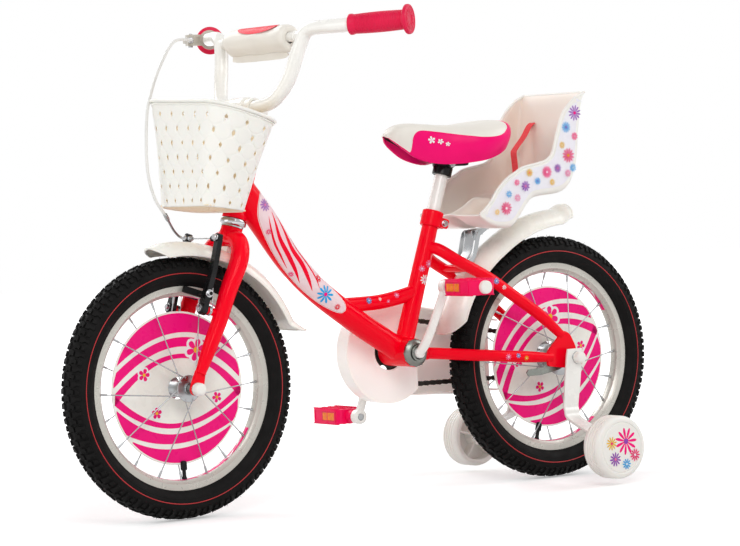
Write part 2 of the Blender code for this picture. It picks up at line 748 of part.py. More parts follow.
def make_frame():
    head_low = on_head(HEAD_TUBE_START)
    head_top = on_head(HEAD_TUBE_START + HEAD_TUBE_LENGTH)
    head = rod("frame", head_low, head_top, HEAD_TUBE_RADIUS, 16)
    shell = rod("shell", BB - SIDE * BB_SHELL_WIDTH / 2, BB + SIDE * BB_SHELL_WIDTH / 2,
                BB_SHELL_RADIUS, 16)
    seat = rod("seat_tube", BB, SEAT_TOP, SEAT_TUBE_LOW_RADIUS, 14, SEAT_TUBE_TOP_RADIUS)
    down = tube("down_tube", DOWN_ROUTE, DOWN_TUBE_TOP_RADIUS, 4)
    brace_low = BB + SEAT_DIR * (SEAT_TUBE_LENGTH * 0.43)
    meet, radius = on_down_tube(0.40)
    brace_end = meet + Vector((0, 0, radius * 0.4))
    middle = mix(brace_low, brace_end, 0.5)
    brace_route = [tuple(brace_low), tuple(mix(brace_low, middle, 0.45) - Vector((0, 0, 0.004))),
                   (middle.x, 0, middle.z - 0.006),
                   tuple(mix(middle, brace_end, 0.6) - Vector((0, 0, 0.003))), tuple(brace_end)]
    brace = tube("brace", smooth_route(brace_route, 2), BRACE_RADIUS, 3)
    pieces = [head, shell, seat, down, brace]
    for side in (1, -1):
        pieces.append(tube("seat_stay", seat_stay_route(side), SEAT_STAY_RADIUS, 2))
        pieces.append(tube("chain_stay", chain_stay_route(side), CHAIN_STAY_RADIUS, 2))
        pieces.append(make_dropout(side))
    upper_bridge = mix(seat_stay_route(1)[2][:3], seat_stay_route(1)[3][:3], 0.46)
    pieces.append(rod("bridge", (upper_bridge.x, -upper_bridge.y, upper_bridge.z),
                      upper_bridge, BRIDGE_RADIUS, 8))
    pieces.append(rod("low_bridge", (BB.x + LOW_BRIDGE_X, -0.024, BB.z - 0.005),
                      (BB.x + LOW_BRIDGE_X, 0.024, BB.z - 0.005), BRIDGE_RADIUS, 8))
    ear, radius = on_down_tube(0.17)
    for place in (ear, BB + Vector((-0.012, 0, -0.016))):
        start = Vector((place.x, 0, place.z))
        end = Vector((place.x, GUARD_NEAR_Y + GAP, place.z))
        pieces.append(rod("ear", start, end, 0.005, 8))
    frame = unite("frame", pieces)
    cutters = [
        bored("head_bore", on_head(HEAD_TUBE_START - 0.01),
            on_head(HEAD_TUBE_START + HEAD_TUBE_LENGTH + 0.01),
            STEERER_RADIUS + STEERER_CLEARANCE, 16),
        bored("shell_bore", BB - SIDE * BB_SHELL_WIDTH, BB + SIDE * BB_SHELL_WIDTH,
            BB_SHELL_RADIUS - 0.0035, 16),
        bored("seat_bore", BB + SEAT_DIR * SEAT_BORE_START, SEAT_TOP + SEAT_DIR * 0.01,
            POST_RADIUS + GAP, 14),
    ]
    return finish(cut(frame, cutters), "frame", RED)


GUARD_NEAR_Y = GUARD_OUTER_Y + GUARD_DEPTH

frame = make_frame()

# Bottom bracket cups, headset cups and seat clamp


def make_bb_cup(name, side, lip):
    inner = BB_SHELL_RADIUS - 0.0035 - GAP
    face = BB_SHELL_WIDTH / 2
    profile = [(CRANK_AXLE_RADIUS + RUN_CLEARANCE, lip), (CUP_RADIUS * 0.72, lip),
               (CUP_RADIUS, lip * 0.6), (CUP_RADIUS, GAP), (inner, GAP), (inner, -0.012),
               (CRANK_AXLE_RADIUS + RUN_CLEARANCE, -0.012)]
    cup = turned(name, profile, BB + SIDE * side * face, SIDE * side, 14, closed=True)
    return finish(cup, name, CHROME)


make_bb_cup("bb_cup_left", 1, 0.009)
make_bb_cup("bb_cup_right", -1, 0.004)

HEADSET_LOW_UP = HEAD_TUBE_START - 0.0145
HEAD_TOP_UP = HEAD_TUBE_START + HEAD_TUBE_LENGTH
cup_bore = STEERER_RADIUS + STEERER_CLEARANCE
cup_outer = HEAD_TUBE_RADIUS + 0.003
lower_cup = turned("headset_lower_cup", [
    (cup_bore, 0.0145 - GAP), (cup_outer - 0.002, 0.0145 - GAP), (cup_outer, 0.009),
    (cup_outer, 0.005), (cup_outer - 0.003, GAP), (cup_bore, GAP)],
    on_head(HEADSET_LOW_UP), HEAD_DIR, 14, closed=True)
finish(lower_cup, "headset_lower_cup", CHROME)
upper_cup = turned("headset_upper_cup", [
    (cup_bore, 0.026), (0.0165, 0.026), (0.0165, 0.016), (cup_outer - 0.001, 0.0155),
    (cup_outer, 0.012), (cup_outer, 0.006), (cup_outer - 0.002, GAP), (cup_bore, GAP)],
    on_head(HEAD_TOP_UP), HEAD_DIR, 14, closed=True)
finish(upper_cup, "headset_upper_cup", CHROME)


def make_seat_clamp():
    top = SEAT_TOP
    profile_inner = SEAT_TUBE_TOP_RADIUS + 0.0012
    outer = profile_inner + 0.0032
    ring = turned("seat_clamp", [
        (profile_inner, 0.0), (outer - 0.001, 0.0), (outer, -0.002), (outer, -CLAMP_HEIGHT),
        (profile_inner, -CLAMP_HEIGHT)], top, SEAT_DIR, 14, closed=True)
    ear_centre = top - SEAT_DIR * CLAMP_HEIGHT * 0.55
    back = Vector((-SEAT_DIR.z, 0, SEAT_DIR.x))
    place = Matrix.Translation(ear_centre + back * (outer + 0.004))
    place = place @ Matrix.Rotation(-(math.pi / 2 - SEAT_ANGLE), 4, "Y")
    ears = box("ears", (0.014, 0.016, CLAMP_HEIGHT * 0.62), place, 0.002, 1)
    bolt = rod("bolt", ear_centre + back * (outer + 0.006) - SIDE * 0.013,
               ear_centre + back * (outer + 0.006) + SIDE * 0.013, 0.0045, 8)
    clamp = unite("seat_clamp", [ring, ears, bolt])
    bore = bored("bore", top - SEAT_DIR * (CLAMP_HEIGHT + 0.01), top + SEAT_DIR * 0.01,
               profile_inner, 16)
    return finish(cut(clamp, [bore]), "seat_clamp", RED)


make_seat_clamp()


# Fork, with its blades, crown, steerer tube, brake studs and ends
FORK_END_Y = FRONT_DROPOUT_Y + DROPOUT_THICKNESS / 2


def blade_route(side):
    spread = FORK_BLADE_SPREAD
    top = FORK_BLADE_TOP_RADIUS
    low = FORK_BLADE_LOW_RADIUS
    table = ((FORK_CROWN_UP, 0.0, 0.003, top), (FORK_CROWN_UP - 0.005, 0.0, spread - 0.026, top),
             (FORK_CROWN_UP - 0.020, 0.002, spread - 0.009, top),
             (FORK_CROWN_UP - 0.044, 0.005, spread - 0.001, top),
             (0.161, FORK_RAKE - 0.0176, spread, top - 0.001),
             (0.110, FORK_RAKE - 0.0136, spread, top - 0.0022),
             (0.063, FORK_RAKE - 0.0066, spread, low + 0.0012),
             (0.024, FORK_RAKE - 0.0006, FORK_END_Y, low * 0.8))
    rows = [(*on_head(up, ahead, side * out), radius) for up, ahead, out, radius in table]
    return smooth_route(rows[:4], 2) + rows[4:]


def head_matrix(origin, y):
    """Places a 2D outline in the steering plane: its x ahead of the head axis, y up it."""
    turn = Matrix((HEAD_FORWARD, HEAD_DIR, -SIDE)).transposed().to_4x4()
    return Matrix.Translation((origin[0], y, origin[2])) @ turn


def front_matrix(origin):
    """Places a 2D outline across the fork: its x to the left, its y up the head axis."""
    turn = Matrix((SIDE, HEAD_DIR, HEAD_FORWARD)).transposed().to_4x4()
    return Matrix.Translation(origin) @ turn


STEERER_TOP_UP = HEAD_TOP_UP + 0.024


def make_fork():
    race = on_head(FORK_CROWN_UP - 0.004)
    pieces = [rod("fork", race, on_head(STEERER_TOP_UP), STEERER_RADIUS, 14)]
    pieces.append(rod("seat", race, on_head(HEADSET_LOW_UP - GAP), STEERER_RADIUS + 0.004, 14))
    for side in (1, -1):
        pieces.append(tube("blade", blade_route(side), FORK_BLADE_TOP_RADIUS, 3))
        outline = [(-0.008, 0.030), (-0.011, 0.006), (-0.010, -0.005), (-0.005, -0.010),
                   (0.005, -0.010), (0.010, -0.005), (0.011, 0.006), (0.008, 0.030)]
        hole = round_hole(AXLE_RADIUS + GAP, 16)
        pieces.append(plate("fork_end", [outline, hole], DROPOUT_THICKNESS,
                            head_matrix(FRONT_AXLE, side * FORK_END_Y)))
        y = side * BRAKE_ARM_SPREAD
        shoulder = BRAKE_PIVOT_FORWARD - BRAKE_ARM_THICKNESS / 2 - GAP
        pieces.append(rod("boss", on_head(BRAKE_PIVOT_UP, FORK_RAKE - 0.012, y),
                          on_head(BRAKE_PIVOT_UP, shoulder, y), 0.0062, 8))
        pieces.append(rod("stud", on_head(BRAKE_PIVOT_UP, FORK_RAKE, y),
                          on_head(BRAKE_PIVOT_UP, shoulder + BRAKE_ARM_THICKNESS + 0.002, y),
                          BRAKE_STUD_RADIUS, 8))
    fork = unite("fork", pieces)
    bore = bored("bore", on_head(FORK_CROWN_UP - 0.03), on_head(STEERER_TOP_UP + 0.01),
               STEERER_RADIUS - STEERER_WALL, 14)
    return finish(cut(fork, [bore]), "fork", RED)


carry(make_fork(), "steering_axis")

# Stem, handlebar, grips and pad
QUILL_TOP_UP = BAR_CLAMP_UP + 0.019
BAR_CENTRE = on_head(BAR_CLAMP_UP, BAR_CLAMP_FORWARD)
pivot("stem_slide", on_head(BAR_CLAMP_UP), "steering_axis")


def make_stem():
    quill = rod("stem", on_head(BAR_CLAMP_UP - QUILL_DEPTH), on_head(QUILL_TOP_UP),
                QUILL_RADIUS, 14)
    arm = rod("arm", on_head(BAR_CLAMP_UP + 0.003), BAR_CENTRE, 0.0125, 14)
    clamp = rod("clamp", BAR_CENTRE - SIDE * STEM_CLAMP_WIDTH / 2,
                BAR_CENTRE + SIDE * STEM_CLAMP_WIDTH / 2, STEM_CLAMP_RADIUS, 16)
    stem = unite("stem", [quill, arm, clamp])
    bore = bored("bore", BAR_CENTRE - SIDE * STEM_CLAMP_WIDTH, BAR_CENTRE + SIDE * STEM_CLAMP_WIDTH,
               BAR_RADIUS + GAP, 14)
    return finish(cut(stem, [bore]), "stem", CREAM)


carry(make_stem(), "stem_slide")

BAR_END = Vector((BAR_CENTRE.x - BAR_SWEEP, BAR_HALF_WIDTH,
                  BAR_CENTRE.z + BAR_RISE + BAR_TIP_RISE))
BAR_OUT = Vector((-0.547, 0.837, 0.032)).normalized()
BAR_START = BAR_END - BAR_OUT * BAR_STRAIGHT


def bar_point(back, out, rise):
    return (BAR_CENTRE.x - back, out, BAR_CENTRE.z + rise)


def bar_route():
    wide = BAR_RISE_HALF_WIDTH
    half = [bar_point(0, 0, 0), bar_point(0, wide * 0.40, 0),
            bar_point(BAR_BACK * 0.28, wide * 0.65, BAR_RISE * 0.08),
            bar_point(BAR_BACK * 0.64, wide * 0.84, BAR_RISE * 0.37),
            bar_point(BAR_BACK * 0.94, wide * 0.965, BAR_RISE * 0.82),
            bar_point(BAR_BACK * 1.10, wide * 1.104, BAR_RISE * 1.036), tuple(BAR_START)]
    right = smooth_route(half[1:], 2) + [tuple(BAR_END)]
    left = [(x, -y, z) for x, y, z in reversed(right)]
    return left + right


def make_handlebar():
    bar = tube("handlebar", bar_route(), BAR_RADIUS, 2)
    reach = BAR_RISE_HALF_WIDTH * 0.985
    start = Vector(bar_point(BAR_BACK, -reach, CROSSBAR_RISE))
    end = Vector(bar_point(BAR_BACK, reach, CROSSBAR_RISE))
    bar = combine(bar, rod("crossbar", start, end, CROSSBAR_RADIUS, 8))
    return finish(bar, "handlebar", CREAM)


carry(make_handlebar(), "stem_slide")

pad_centre = Vector(bar_point(BAR_BACK, 0, CROSSBAR_RISE))
pad = turned("handlebar_pad", [
    (CROSSBAR_RADIUS + GAP, PAD_LENGTH / 2), (PAD_RADIUS - 0.003, PAD_LENGTH / 2),
    (PAD_RADIUS, PAD_LENGTH / 2 - 0.003), (PAD_RADIUS, -PAD_LENGTH / 2 + 0.003),
    (PAD_RADIUS - 0.003, -PAD_LENGTH / 2), (CROSSBAR_RADIUS + GAP, -PAD_LENGTH / 2)],
    pad_centre, SIDE, 16, closed=True)
carry(finish(pad, "handlebar_pad", CREAM_PLASTIC), "stem_slide")

grip_end = BAR_END + BAR_OUT * 0.0035
for label, side in (("left", 1), ("right", -1)):
    flip = Vector((1, side, 1))
    end = grip_end * flip
    out = BAR_OUT * flip
    length = GRIP_LENGTH
    bore = BAR_RADIUS + GAP
    grip = turned("grip_" + label, [
        (0, length), (GRIP_FLANGE_RADIUS - 0.004, length), (GRIP_FLANGE_RADIUS, length - 0.003),
        (GRIP_FLANGE_RADIUS, length - 0.006), (GRIP_RADIUS, length - 0.010),
        (GRIP_RADIUS + 0.0010, length * 0.5), (GRIP_RADIUS, 0.008), (GRIP_RADIUS + 0.003, 0.006),
        (GRIP_RADIUS + 0.003, 0), (bore, 0), (bore, length - 0.0032), (0, length - 0.0032)],
        end - out * length, out, 14)
    carry(finish(grip, "grip_" + label, PINK), "stem_slide")

# Brake lever on the right of the handlebar
LEVER_OUT = BAR_OUT * Vector((1, -1, 1))
LEVER_AHEAD = Vector((-LEVER_OUT.y, LEVER_OUT.x, 0)).normalized()
LEVER_UP = LEVER_OUT.cross(LEVER_AHEAD)
LEVER_SEAT = (grip_end * Vector((1, -1, 1))) - LEVER_OUT * (GRIP_LENGTH + 0.009)
LEVER_PIVOT = LEVER_SEAT + LEVER_AHEAD * LEVER_PIVOT_AHEAD
pivot("lever_axis", LEVER_PIVOT, "stem_slide")


def lever_matrix(centre):
    """Places a 2D outline in the lever's plane: its x out along the grip, its y ahead."""
    across = LEVER_OUT.cross(LEVER_AHEAD)
    turn = Matrix((LEVER_OUT, LEVER_AHEAD, across)).transposed().to_4x4()
    return Matrix.Translation(centre) @ turn


def make_lever_mount():
    ring = rod("brake_lever_mount", LEVER_SEAT - LEVER_OUT * 0.0075,
               LEVER_SEAT + LEVER_OUT * 0.0075, BAR_RADIUS + 0.0045, 16)
    outline = [(-0.0068, 0.0), (0.0068, 0.0), (0.0085, LEVER_PIVOT_AHEAD + 0.006),
               (0.002, LEVER_PIVOT_AHEAD + 0.009), (-0.012, LEVER_PIVOT_AHEAD + 0.006),
               (-0.026, LEVER_PIVOT_AHEAD + 0.004), (-0.026, LEVER_PIVOT_AHEAD - 0.006),
               (-0.010, 0.012)]
    body = plate("body", [outline], 0.018, lever_matrix(LEVER_SEAT))
    slot_size = LEVER_THICKNESS + 2 * GAP
    slot = box("slot", (0.030, 0.022, slot_size),
               lever_matrix(LEVER_PIVOT + LEVER_OUT * 0.0065 + LEVER_AHEAD * 0.0030))
    pin = rod("pin", LEVER_PIVOT - LEVER_UP * 0.009, LEVER_PIVOT + LEVER_UP * 0.009, 0.0022, 8)
    mount = unite("brake_lever_mount", [ring, body])
    mount = cut(mount, [slot])
    bore = bored("bore", LEVER_SEAT - LEVER_OUT * 0.02, LEVER_SEAT + LEVER_OUT * 0.02,
               BAR_RADIUS + GAP, 16)
    mount = combine(cut(mount, [bore]), pin)
    return finish(mount, "brake_lever_mount", CREAM_PLASTIC)


def make_lever():
    length = LEVER_LENGTH
    outline = [(-0.005, -0.004), (0.0, -0.006), (0.010, -0.005), (0.024, 0.002),
               (length * 0.6, 0.004), (length - 0.004, 0.0), (length, 0.004),
               (length - 0.003, 0.009), (length * 0.6, 0.013), (0.024, 0.011),
               (0.008, 0.006), (-0.003, 0.005)]
    lever = plate("brake_lever", [outline], LEVER_THICKNESS, lever_matrix(LEVER_PIVOT))
    bore = bored("bore", LEVER_PIVOT - LEVER_UP * 0.01, LEVER_PIVOT + LEVER_UP * 0.01,
               0.0022 + GAP, 8)
    return finish(cut(lever, [bore]), "brake_lever", CREAM_PLASTIC)


carry(make_lever_mount(), "stem_slide")
carry(make_lever(), "lever_axis")

# Rim brake on the fork
BRAKE_TRACK = RIM_RADIUS - 0.009
PAD_FACE_Y = RIM_WIDTH / 2 + 0.0025
BRAKE_TOP_UP = BRAKE_PIVOT_UP + BRAKE_ARM_LENGTH
PAD_UP = math.sqrt(BRAKE_TRACK ** 2 - (BRAKE_PIVOT_FORWARD - FORK_RAKE) ** 2)


def make_brake_arm(name, side):
    y = BRAKE_ARM_SPREAD
    up = BRAKE_PIVOT_UP
    top = BRAKE_TOP_UP
    half = BRAKE_ARM_THICKNESS / 2
    outline = [(y - 0.0085, up), (y - 0.006, up - 0.007), (y, up - 0.0095), (y + 0.006, up - 0.007),
               (y + 0.0085, up), (y + 0.008, up + 0.030), (y + 0.009, up + 0.065),
               (y + 0.004, top), (y + 0.001, top + 0.007), (y - 0.005, top + 0.007),
               (y - 0.007, top), (y - 0.002, up + 0.065), (y - 0.006, up + 0.030)]
    points = [(side * a, b) for a, b in outline]
    arm = plate(name, [points], BRAKE_ARM_THICKNESS,
                front_matrix(HEAD_FOOT + HEAD_FORWARD * BRAKE_PIVOT_FORWARD))
    forward = BRAKE_PIVOT_FORWARD
    cutter = bored("bore", on_head(up, forward - half - 0.01, side * y),
                 on_head(up, forward + half + 0.01, side * y), BRAKE_STUD_RADIUS + GAP, 8)
    seat = bored("pad_bore", on_head(PAD_UP, forward, side * (y - 0.02)),
               on_head(PAD_UP, forward, side * (y + 0.02)), 0.0030 + GAP, 10)
    return finish(cut(arm, [cutter, seat]), name, DARK_STEEL)


def make_brake_pad(name, side):
    centre = on_head(PAD_UP, BRAKE_PIVOT_FORWARD, side * (PAD_FACE_Y + 0.005))
    place = head_matrix(centre, centre.y)
    block = box(name, (0.052, 0.0095, 0.010), place, 0.002, 1)
    stud = rod("stud", centre, on_head(PAD_UP, BRAKE_PIVOT_FORWARD,
                                       side * (BRAKE_ARM_SPREAD + 0.014)), 0.0030, 10)
    return finish(combine(block, stud), name, BLACK)


for label, side in (("left", 1), ("right", -1)):
    spot = on_head(BRAKE_PIVOT_UP, BRAKE_PIVOT_FORWARD, side * BRAKE_ARM_SPREAD)
    pivot("brake_axis_" + label, spot, "steering_axis")
    carry(make_brake_arm("brake_arm_" + label, side), "brake_axis_" + label)
    carry(make_brake_pad("brake_pad_" + label, side), "brake_axis_" + label)

arm_face = BRAKE_ARM_SPREAD + 0.0045
noodle_end = on_head(BRAKE_TOP_UP + 0.0181, BRAKE_PIVOT_FORWARD + 0.0389, -0.049)
noodle_route = [on_head(BRAKE_TOP_UP, BRAKE_PIVOT_FORWARD, -arm_face - GAP),
                on_head(BRAKE_TOP_UP, BRAKE_PIVOT_FORWARD + 0.0006, -arm_face - 0.004),
                on_head(BRAKE_TOP_UP + 0.002, BRAKE_PIVOT_FORWARD + 0.008, -arm_face - 0.0085),
                on_head(BRAKE_TOP_UP + 0.008, BRAKE_PIVOT_FORWARD + 0.022, -0.056), noodle_end]
noodle_rows = smooth_route([tuple(p) for p in noodle_route], 2)
noodle = tube("brake_noodle", noodle_rows, NOODLE_RADIUS, 2)
carry(finish(noodle, "brake_noodle", ALLOY), "brake_axis_right")

wire = rod("brake_wire", on_head(BRAKE_TOP_UP, BRAKE_PIVOT_FORWARD, -BRAKE_ARM_SPREAD + 0.0085),
           on_head(BRAKE_TOP_UP, BRAKE_PIVOT_FORWARD, BRAKE_ARM_SPREAD - 0.0085), 0.0014, 6)
carry(finish(wire, "brake_wire", STEEL), "brake_axis_left")

# Brake cable from the lever to the noodle, round the front of the basket
cable_start = LEVER_SEAT + LEVER_AHEAD * (LEVER_PIVOT_AHEAD - 0.001) - LEVER_OUT * 0.0278
noodle_dir = (Vector(noodle_rows[-1]) - Vector(noodle_rows[-2])).normalized()
cable_end = noodle_end + noodle_dir * GAP * 2


def by_basket(rise, ahead, out):
    """A point given from the basket: shares of its height and half width, and a distance ahead."""
    share = min(rise, 1.0)
    length = BASKET_LOW_LENGTH * (1 - share) + BASKET_TOP_LENGTH * share
    width = BASKET_LOW_WIDTH if rise < 0.5 else BASKET_TOP_WIDTH
    return tuple(on_head(BASKET_LOW_UP + BASKET_HEIGHT * rise,
                         BASKET_REAR_FORWARD + length + ahead, -out * width / 2))


cable_route = [tuple(cable_start), tuple(cable_start - LEVER_OUT * CABLE_RADIUS * 5),
               by_basket(1.861, -0.0505, 1.2245), by_basket(1.516, -0.0248, 1.0612),
               by_basket(1.1575, -0.0029, 0.8163), by_basket(0.840, 0.0112, 0.6694),
               by_basket(0.330, 0.0262, 0.7059), by_basket(0.032, 0.0210, 0.5880),
               tuple(cable_end + noodle_dir * CABLE_RADIUS * 4.2)]
cable_rows = smooth_route(cable_route, 2) + [tuple(cable_end)]
cable = tube("brake_cable", cable_rows, CABLE_RADIUS, 2)
carry(finish(cable, "brake_cable", CREAM_PLASTIC), "stem_slide")

# Basket


def rounded_ring(half_long, half_wide, corner, per_corner=4):
    corner = min(corner, half_long * 0.98, half_wide * 0.98)
    out = []
    for turn in range(4):
        sx = 1 if turn in (0, 3) else -1
        sy = 1 if turn in (0, 1) else -1
        for k in range(per_corner):
            a = math.pi / 2 * (turn + k / (per_corner - 1))
            out.append((sx * (half_long - corner) + corner * math.cos(a),
                        sy * (half_wide - corner) + corner * math.sin(a)))
    return out


def loft(name, rings):
    """A closed solid skinned over rings of equally many points, bottom to top."""
    work = bmesh.new()
    made = [[work.verts.new(point) for point in ring] for ring in rings]
    for one, two in zip(made, made[1:]):
        for i in range(len(one)):
            j = (i + 1) % len(one)
            work.faces.new((one[i], one[j], two[j], two[i]))
    work.faces.new(list(reversed(made[0])))
    work.faces.new(made[-1])
    bmesh.ops.recalc_face_normals(work, faces=work.faces)
    mesh = bpy.data.meshes.new(name)
    work.to_mesh(mesh)
    work.free()
    return add_object(name, mesh)


def make_basket():
    low = on_head(BASKET_LOW_UP, BASKET_LOW_FORWARD)
    top = on_head(BASKET_TOP_UP, BASKET_TOP_FORWARD)
    up = (top - low).normalized()
    ahead = Vector((up.z, 0, -up.x))
    height = (top - low).length

    def ring(rise, inset):
        share = min(max(rise, 0.0), 1.0)
        half_long = (BASKET_LOW_LENGTH * (1 - share) + BASKET_TOP_LENGTH * share) / 2 - inset
        half_wide = (BASKET_LOW_WIDTH * (1 - share) + BASKET_TOP_WIDTH * share) / 2 - inset
        return [low + up * height * rise + ahead * a + SIDE * b
                for a, b in rounded_ring(half_long, half_wide, BASKET_CORNER)]

    wall = BASKET_WALL
    lip = 1 - BASKET_LIP / height
    basket = loft("basket", [ring(0.0, 0.004), ring(0.025, 0.0), ring(lip, 0.0),
                             ring(lip + 0.002, -BASKET_LIP), ring(1.0, -BASKET_LIP)])
    inside = loft("inside", [ring(wall / height, 0.004 + wall), ring(0.04, wall),
                             ring(0.98, wall), ring(1.05, wall)])
    basket = cut(basket, [inside])
    for side in (1, -1):
        y = side * HOOK_SPREAD
        centre = BAR_CENTRE + SIDE * y
        ring = rod("hook", centre - SIDE * 0.007, centre + SIDE * 0.007, BAR_RADIUS + 0.0035, 14)
        rear = top - ahead * (BASKET_TOP_LENGTH / 2 + 0.0005) + SIDE * y
        middle = mix(rear - up * 0.012, centre, 0.5)
        span = centre - (rear - up * 0.012)
        turn = span.to_track_quat("Z", "Y").to_matrix().to_4x4()
        strap = box("strap", (0.010, 0.003, span.length), Matrix.Translation(middle) @ turn)
        basket = combine(combine(basket, ring), strap)
        bore = bored("bore", centre - SIDE * 0.02, centre + SIDE * 0.02, BAR_RADIUS + GAP, 14)
        basket = cut(basket, [bore])
    return finish(basket, "basket", CREAM_PLASTIC, 50)


carry(make_basket(), "stem_slide")


# Crank, chainring, sprocket and chain
RING_RADIUS = CHAIN_PITCH / (2 * math.sin(math.pi / RING_TEETH))
SPROCKET_RADIUS = CHAIN_PITCH / (2 * math.sin(math.pi / SPROCKET_TEETH))
CRANK_DIR = Vector((math.cos(CRANK_ANGLE), 0, math.sin(CRANK_ANGLE)))
LEFT_PEDAL = BB + CRANK_DIR * CRANK_LENGTH
RIGHT_PEDAL = BB - CRANK_DIR * CRANK_LENGTH
SHOULDER_Y = -CHAIN_LINE - RING_THICKNESS / 2 - GAP
PEDAL_INNER_Y = CRANK_SPREAD + CRANK_EYE_THICKNESS / 2 + 0.003
pivot("crank_axis", BB)
pivot("pedal_axis_left", LEFT_PEDAL + SIDE * CRANK_SPREAD, "crank_axis")
pivot("pedal_axis_right", RIGHT_PEDAL - SIDE * CRANK_SPREAD, "crank_axis")


def make_crank():
    """A crank forged in one piece: axle, two bends, two arms and two pedal eyes."""
    arm = CRANK_ARM_RADIUS
    left_end = BB_SHELL_WIDTH / 2 + 0.0190
    right_end = GUARD_OUTER_Y - 0.0055
    axle = turned("crank", [(0, left_end), (CRANK_AXLE_RADIUS - 0.003, left_end),
                            (CRANK_AXLE_RADIUS, left_end - 0.004),
                            (CRANK_AXLE_RADIUS, right_end + 0.004),
                            (CRANK_AXLE_RADIUS - 0.003, right_end), (0, right_end)],
                  BB, SIDE, 12)
    left_arm = [BB - CRANK_DIR * 0.001 + SIDE * (left_end - 0.0065),
                BB + CRANK_DIR * 0.014 + SIDE * (left_end + 0.0030),
                BB + CRANK_DIR * 0.034 + SIDE * (left_end + 0.0090),
                BB + CRANK_DIR * 0.068 + SIDE * (left_end + 0.0145),
                LEFT_PEDAL + SIDE * (CRANK_SPREAD - 0.002)]
    right_arm = [BB + CRANK_DIR * 0.001 + SIDE * (right_end + 0.0050),
                 BB - CRANK_DIR * 0.014 + SIDE * (right_end - 0.0025),
                 BB - CRANK_DIR * 0.034 + SIDE * (right_end - 0.0046),
                 BB - CRANK_DIR * 0.068 + SIDE * (right_end - 0.0050),
                 RIGHT_PEDAL - SIDE * CRANK_SPREAD]
    crank = axle
    for route in (left_arm, right_arm):
        crank = combine(crank, tube("arm", [tuple(p) for p in route], arm, 2))
    boss = rod("boss", BB + SIDE * SHOULDER_Y, BB + SIDE * (SHOULDER_Y - 0.0065), 0.0150, 12)
    pieces = [crank, boss]
    for side, pedal in ((1, LEFT_PEDAL), (-1, RIGHT_PEDAL)):
        half = CRANK_EYE_THICKNESS / 2
        pieces.append(rod("eye", pedal + SIDE * (side * CRANK_SPREAD - half),
                          pedal + SIDE * (side * CRANK_SPREAD + half), CRANK_EYE_RADIUS, 12))
    crank = unite("crank", pieces)
    cutters = []
    for side, pedal in ((1, LEFT_PEDAL), (-1, RIGHT_PEDAL)):
        cutters.append(bored("bore", pedal + SIDE * side * (CRANK_SPREAD - 0.02),
                           pedal + SIDE * side * (CRANK_SPREAD + 0.02), SPINDLE_RADIUS + GAP, 10))
    return finish(cut(crank, cutters), "crank", CREAM)


# The chain's pins: round the ring, along the upper run, round the sprocket and back below
CENTRES = BB - REAR_AXLE
CENTRE_DISTANCE = math.hypot(CENTRES.x, CENTRES.z)
LINE_ANGLE = math.atan2(CENTRES.z, CENTRES.x)
WRAP_TILT = math.asin((RING_RADIUS - SPROCKET_RADIUS) / CENTRE_DISTANCE)
RING_STEP = 2 * math.pi / RING_TEETH
SPROCKET_STEP = 2 * math.pi / SPROCKET_TEETH
RING_SPANS = round((math.pi + 2 * WRAP_TILT) / RING_STEP)
SPROCKET_SPANS = int((math.pi - 2 * WRAP_TILT) / SPROCKET_STEP)
RING_FIRST = LINE_ANGLE - RING_STEP * RING_SPANS / 2
SPROCKET_FIRST = LINE_ANGLE + math.pi - SPROCKET_STEP * SPROCKET_SPANS / 2


def pins_round(centre, radius, first, step, spans):
    """The pins that lie in a wheel's tooth gaps."""
    out = []
    for i in range(spans + 1):
        a = first + step * i
        out.append(Vector((centre.x + radius * math.cos(a), centre.z + radius * math.sin(a))))
    return out


def pins_between(start, end):
    """Evenly spaced pins on a straight run, without its two ends."""
    count = max(2, round((end - start).length / CHAIN_PITCH))
    return [start.lerp(end, i / count) for i in range(1, count)]


def chain_pins():
    ring = pins_round(BB, RING_RADIUS, RING_FIRST, RING_STEP, RING_SPANS)
    sprocket = pins_round(REAR_AXLE, SPROCKET_RADIUS, SPROCKET_FIRST, SPROCKET_STEP,
                          SPROCKET_SPANS)
    return (ring + pins_between(ring[-1], sprocket[0]) + sprocket
            + pins_between(sprocket[-1], ring[0]))


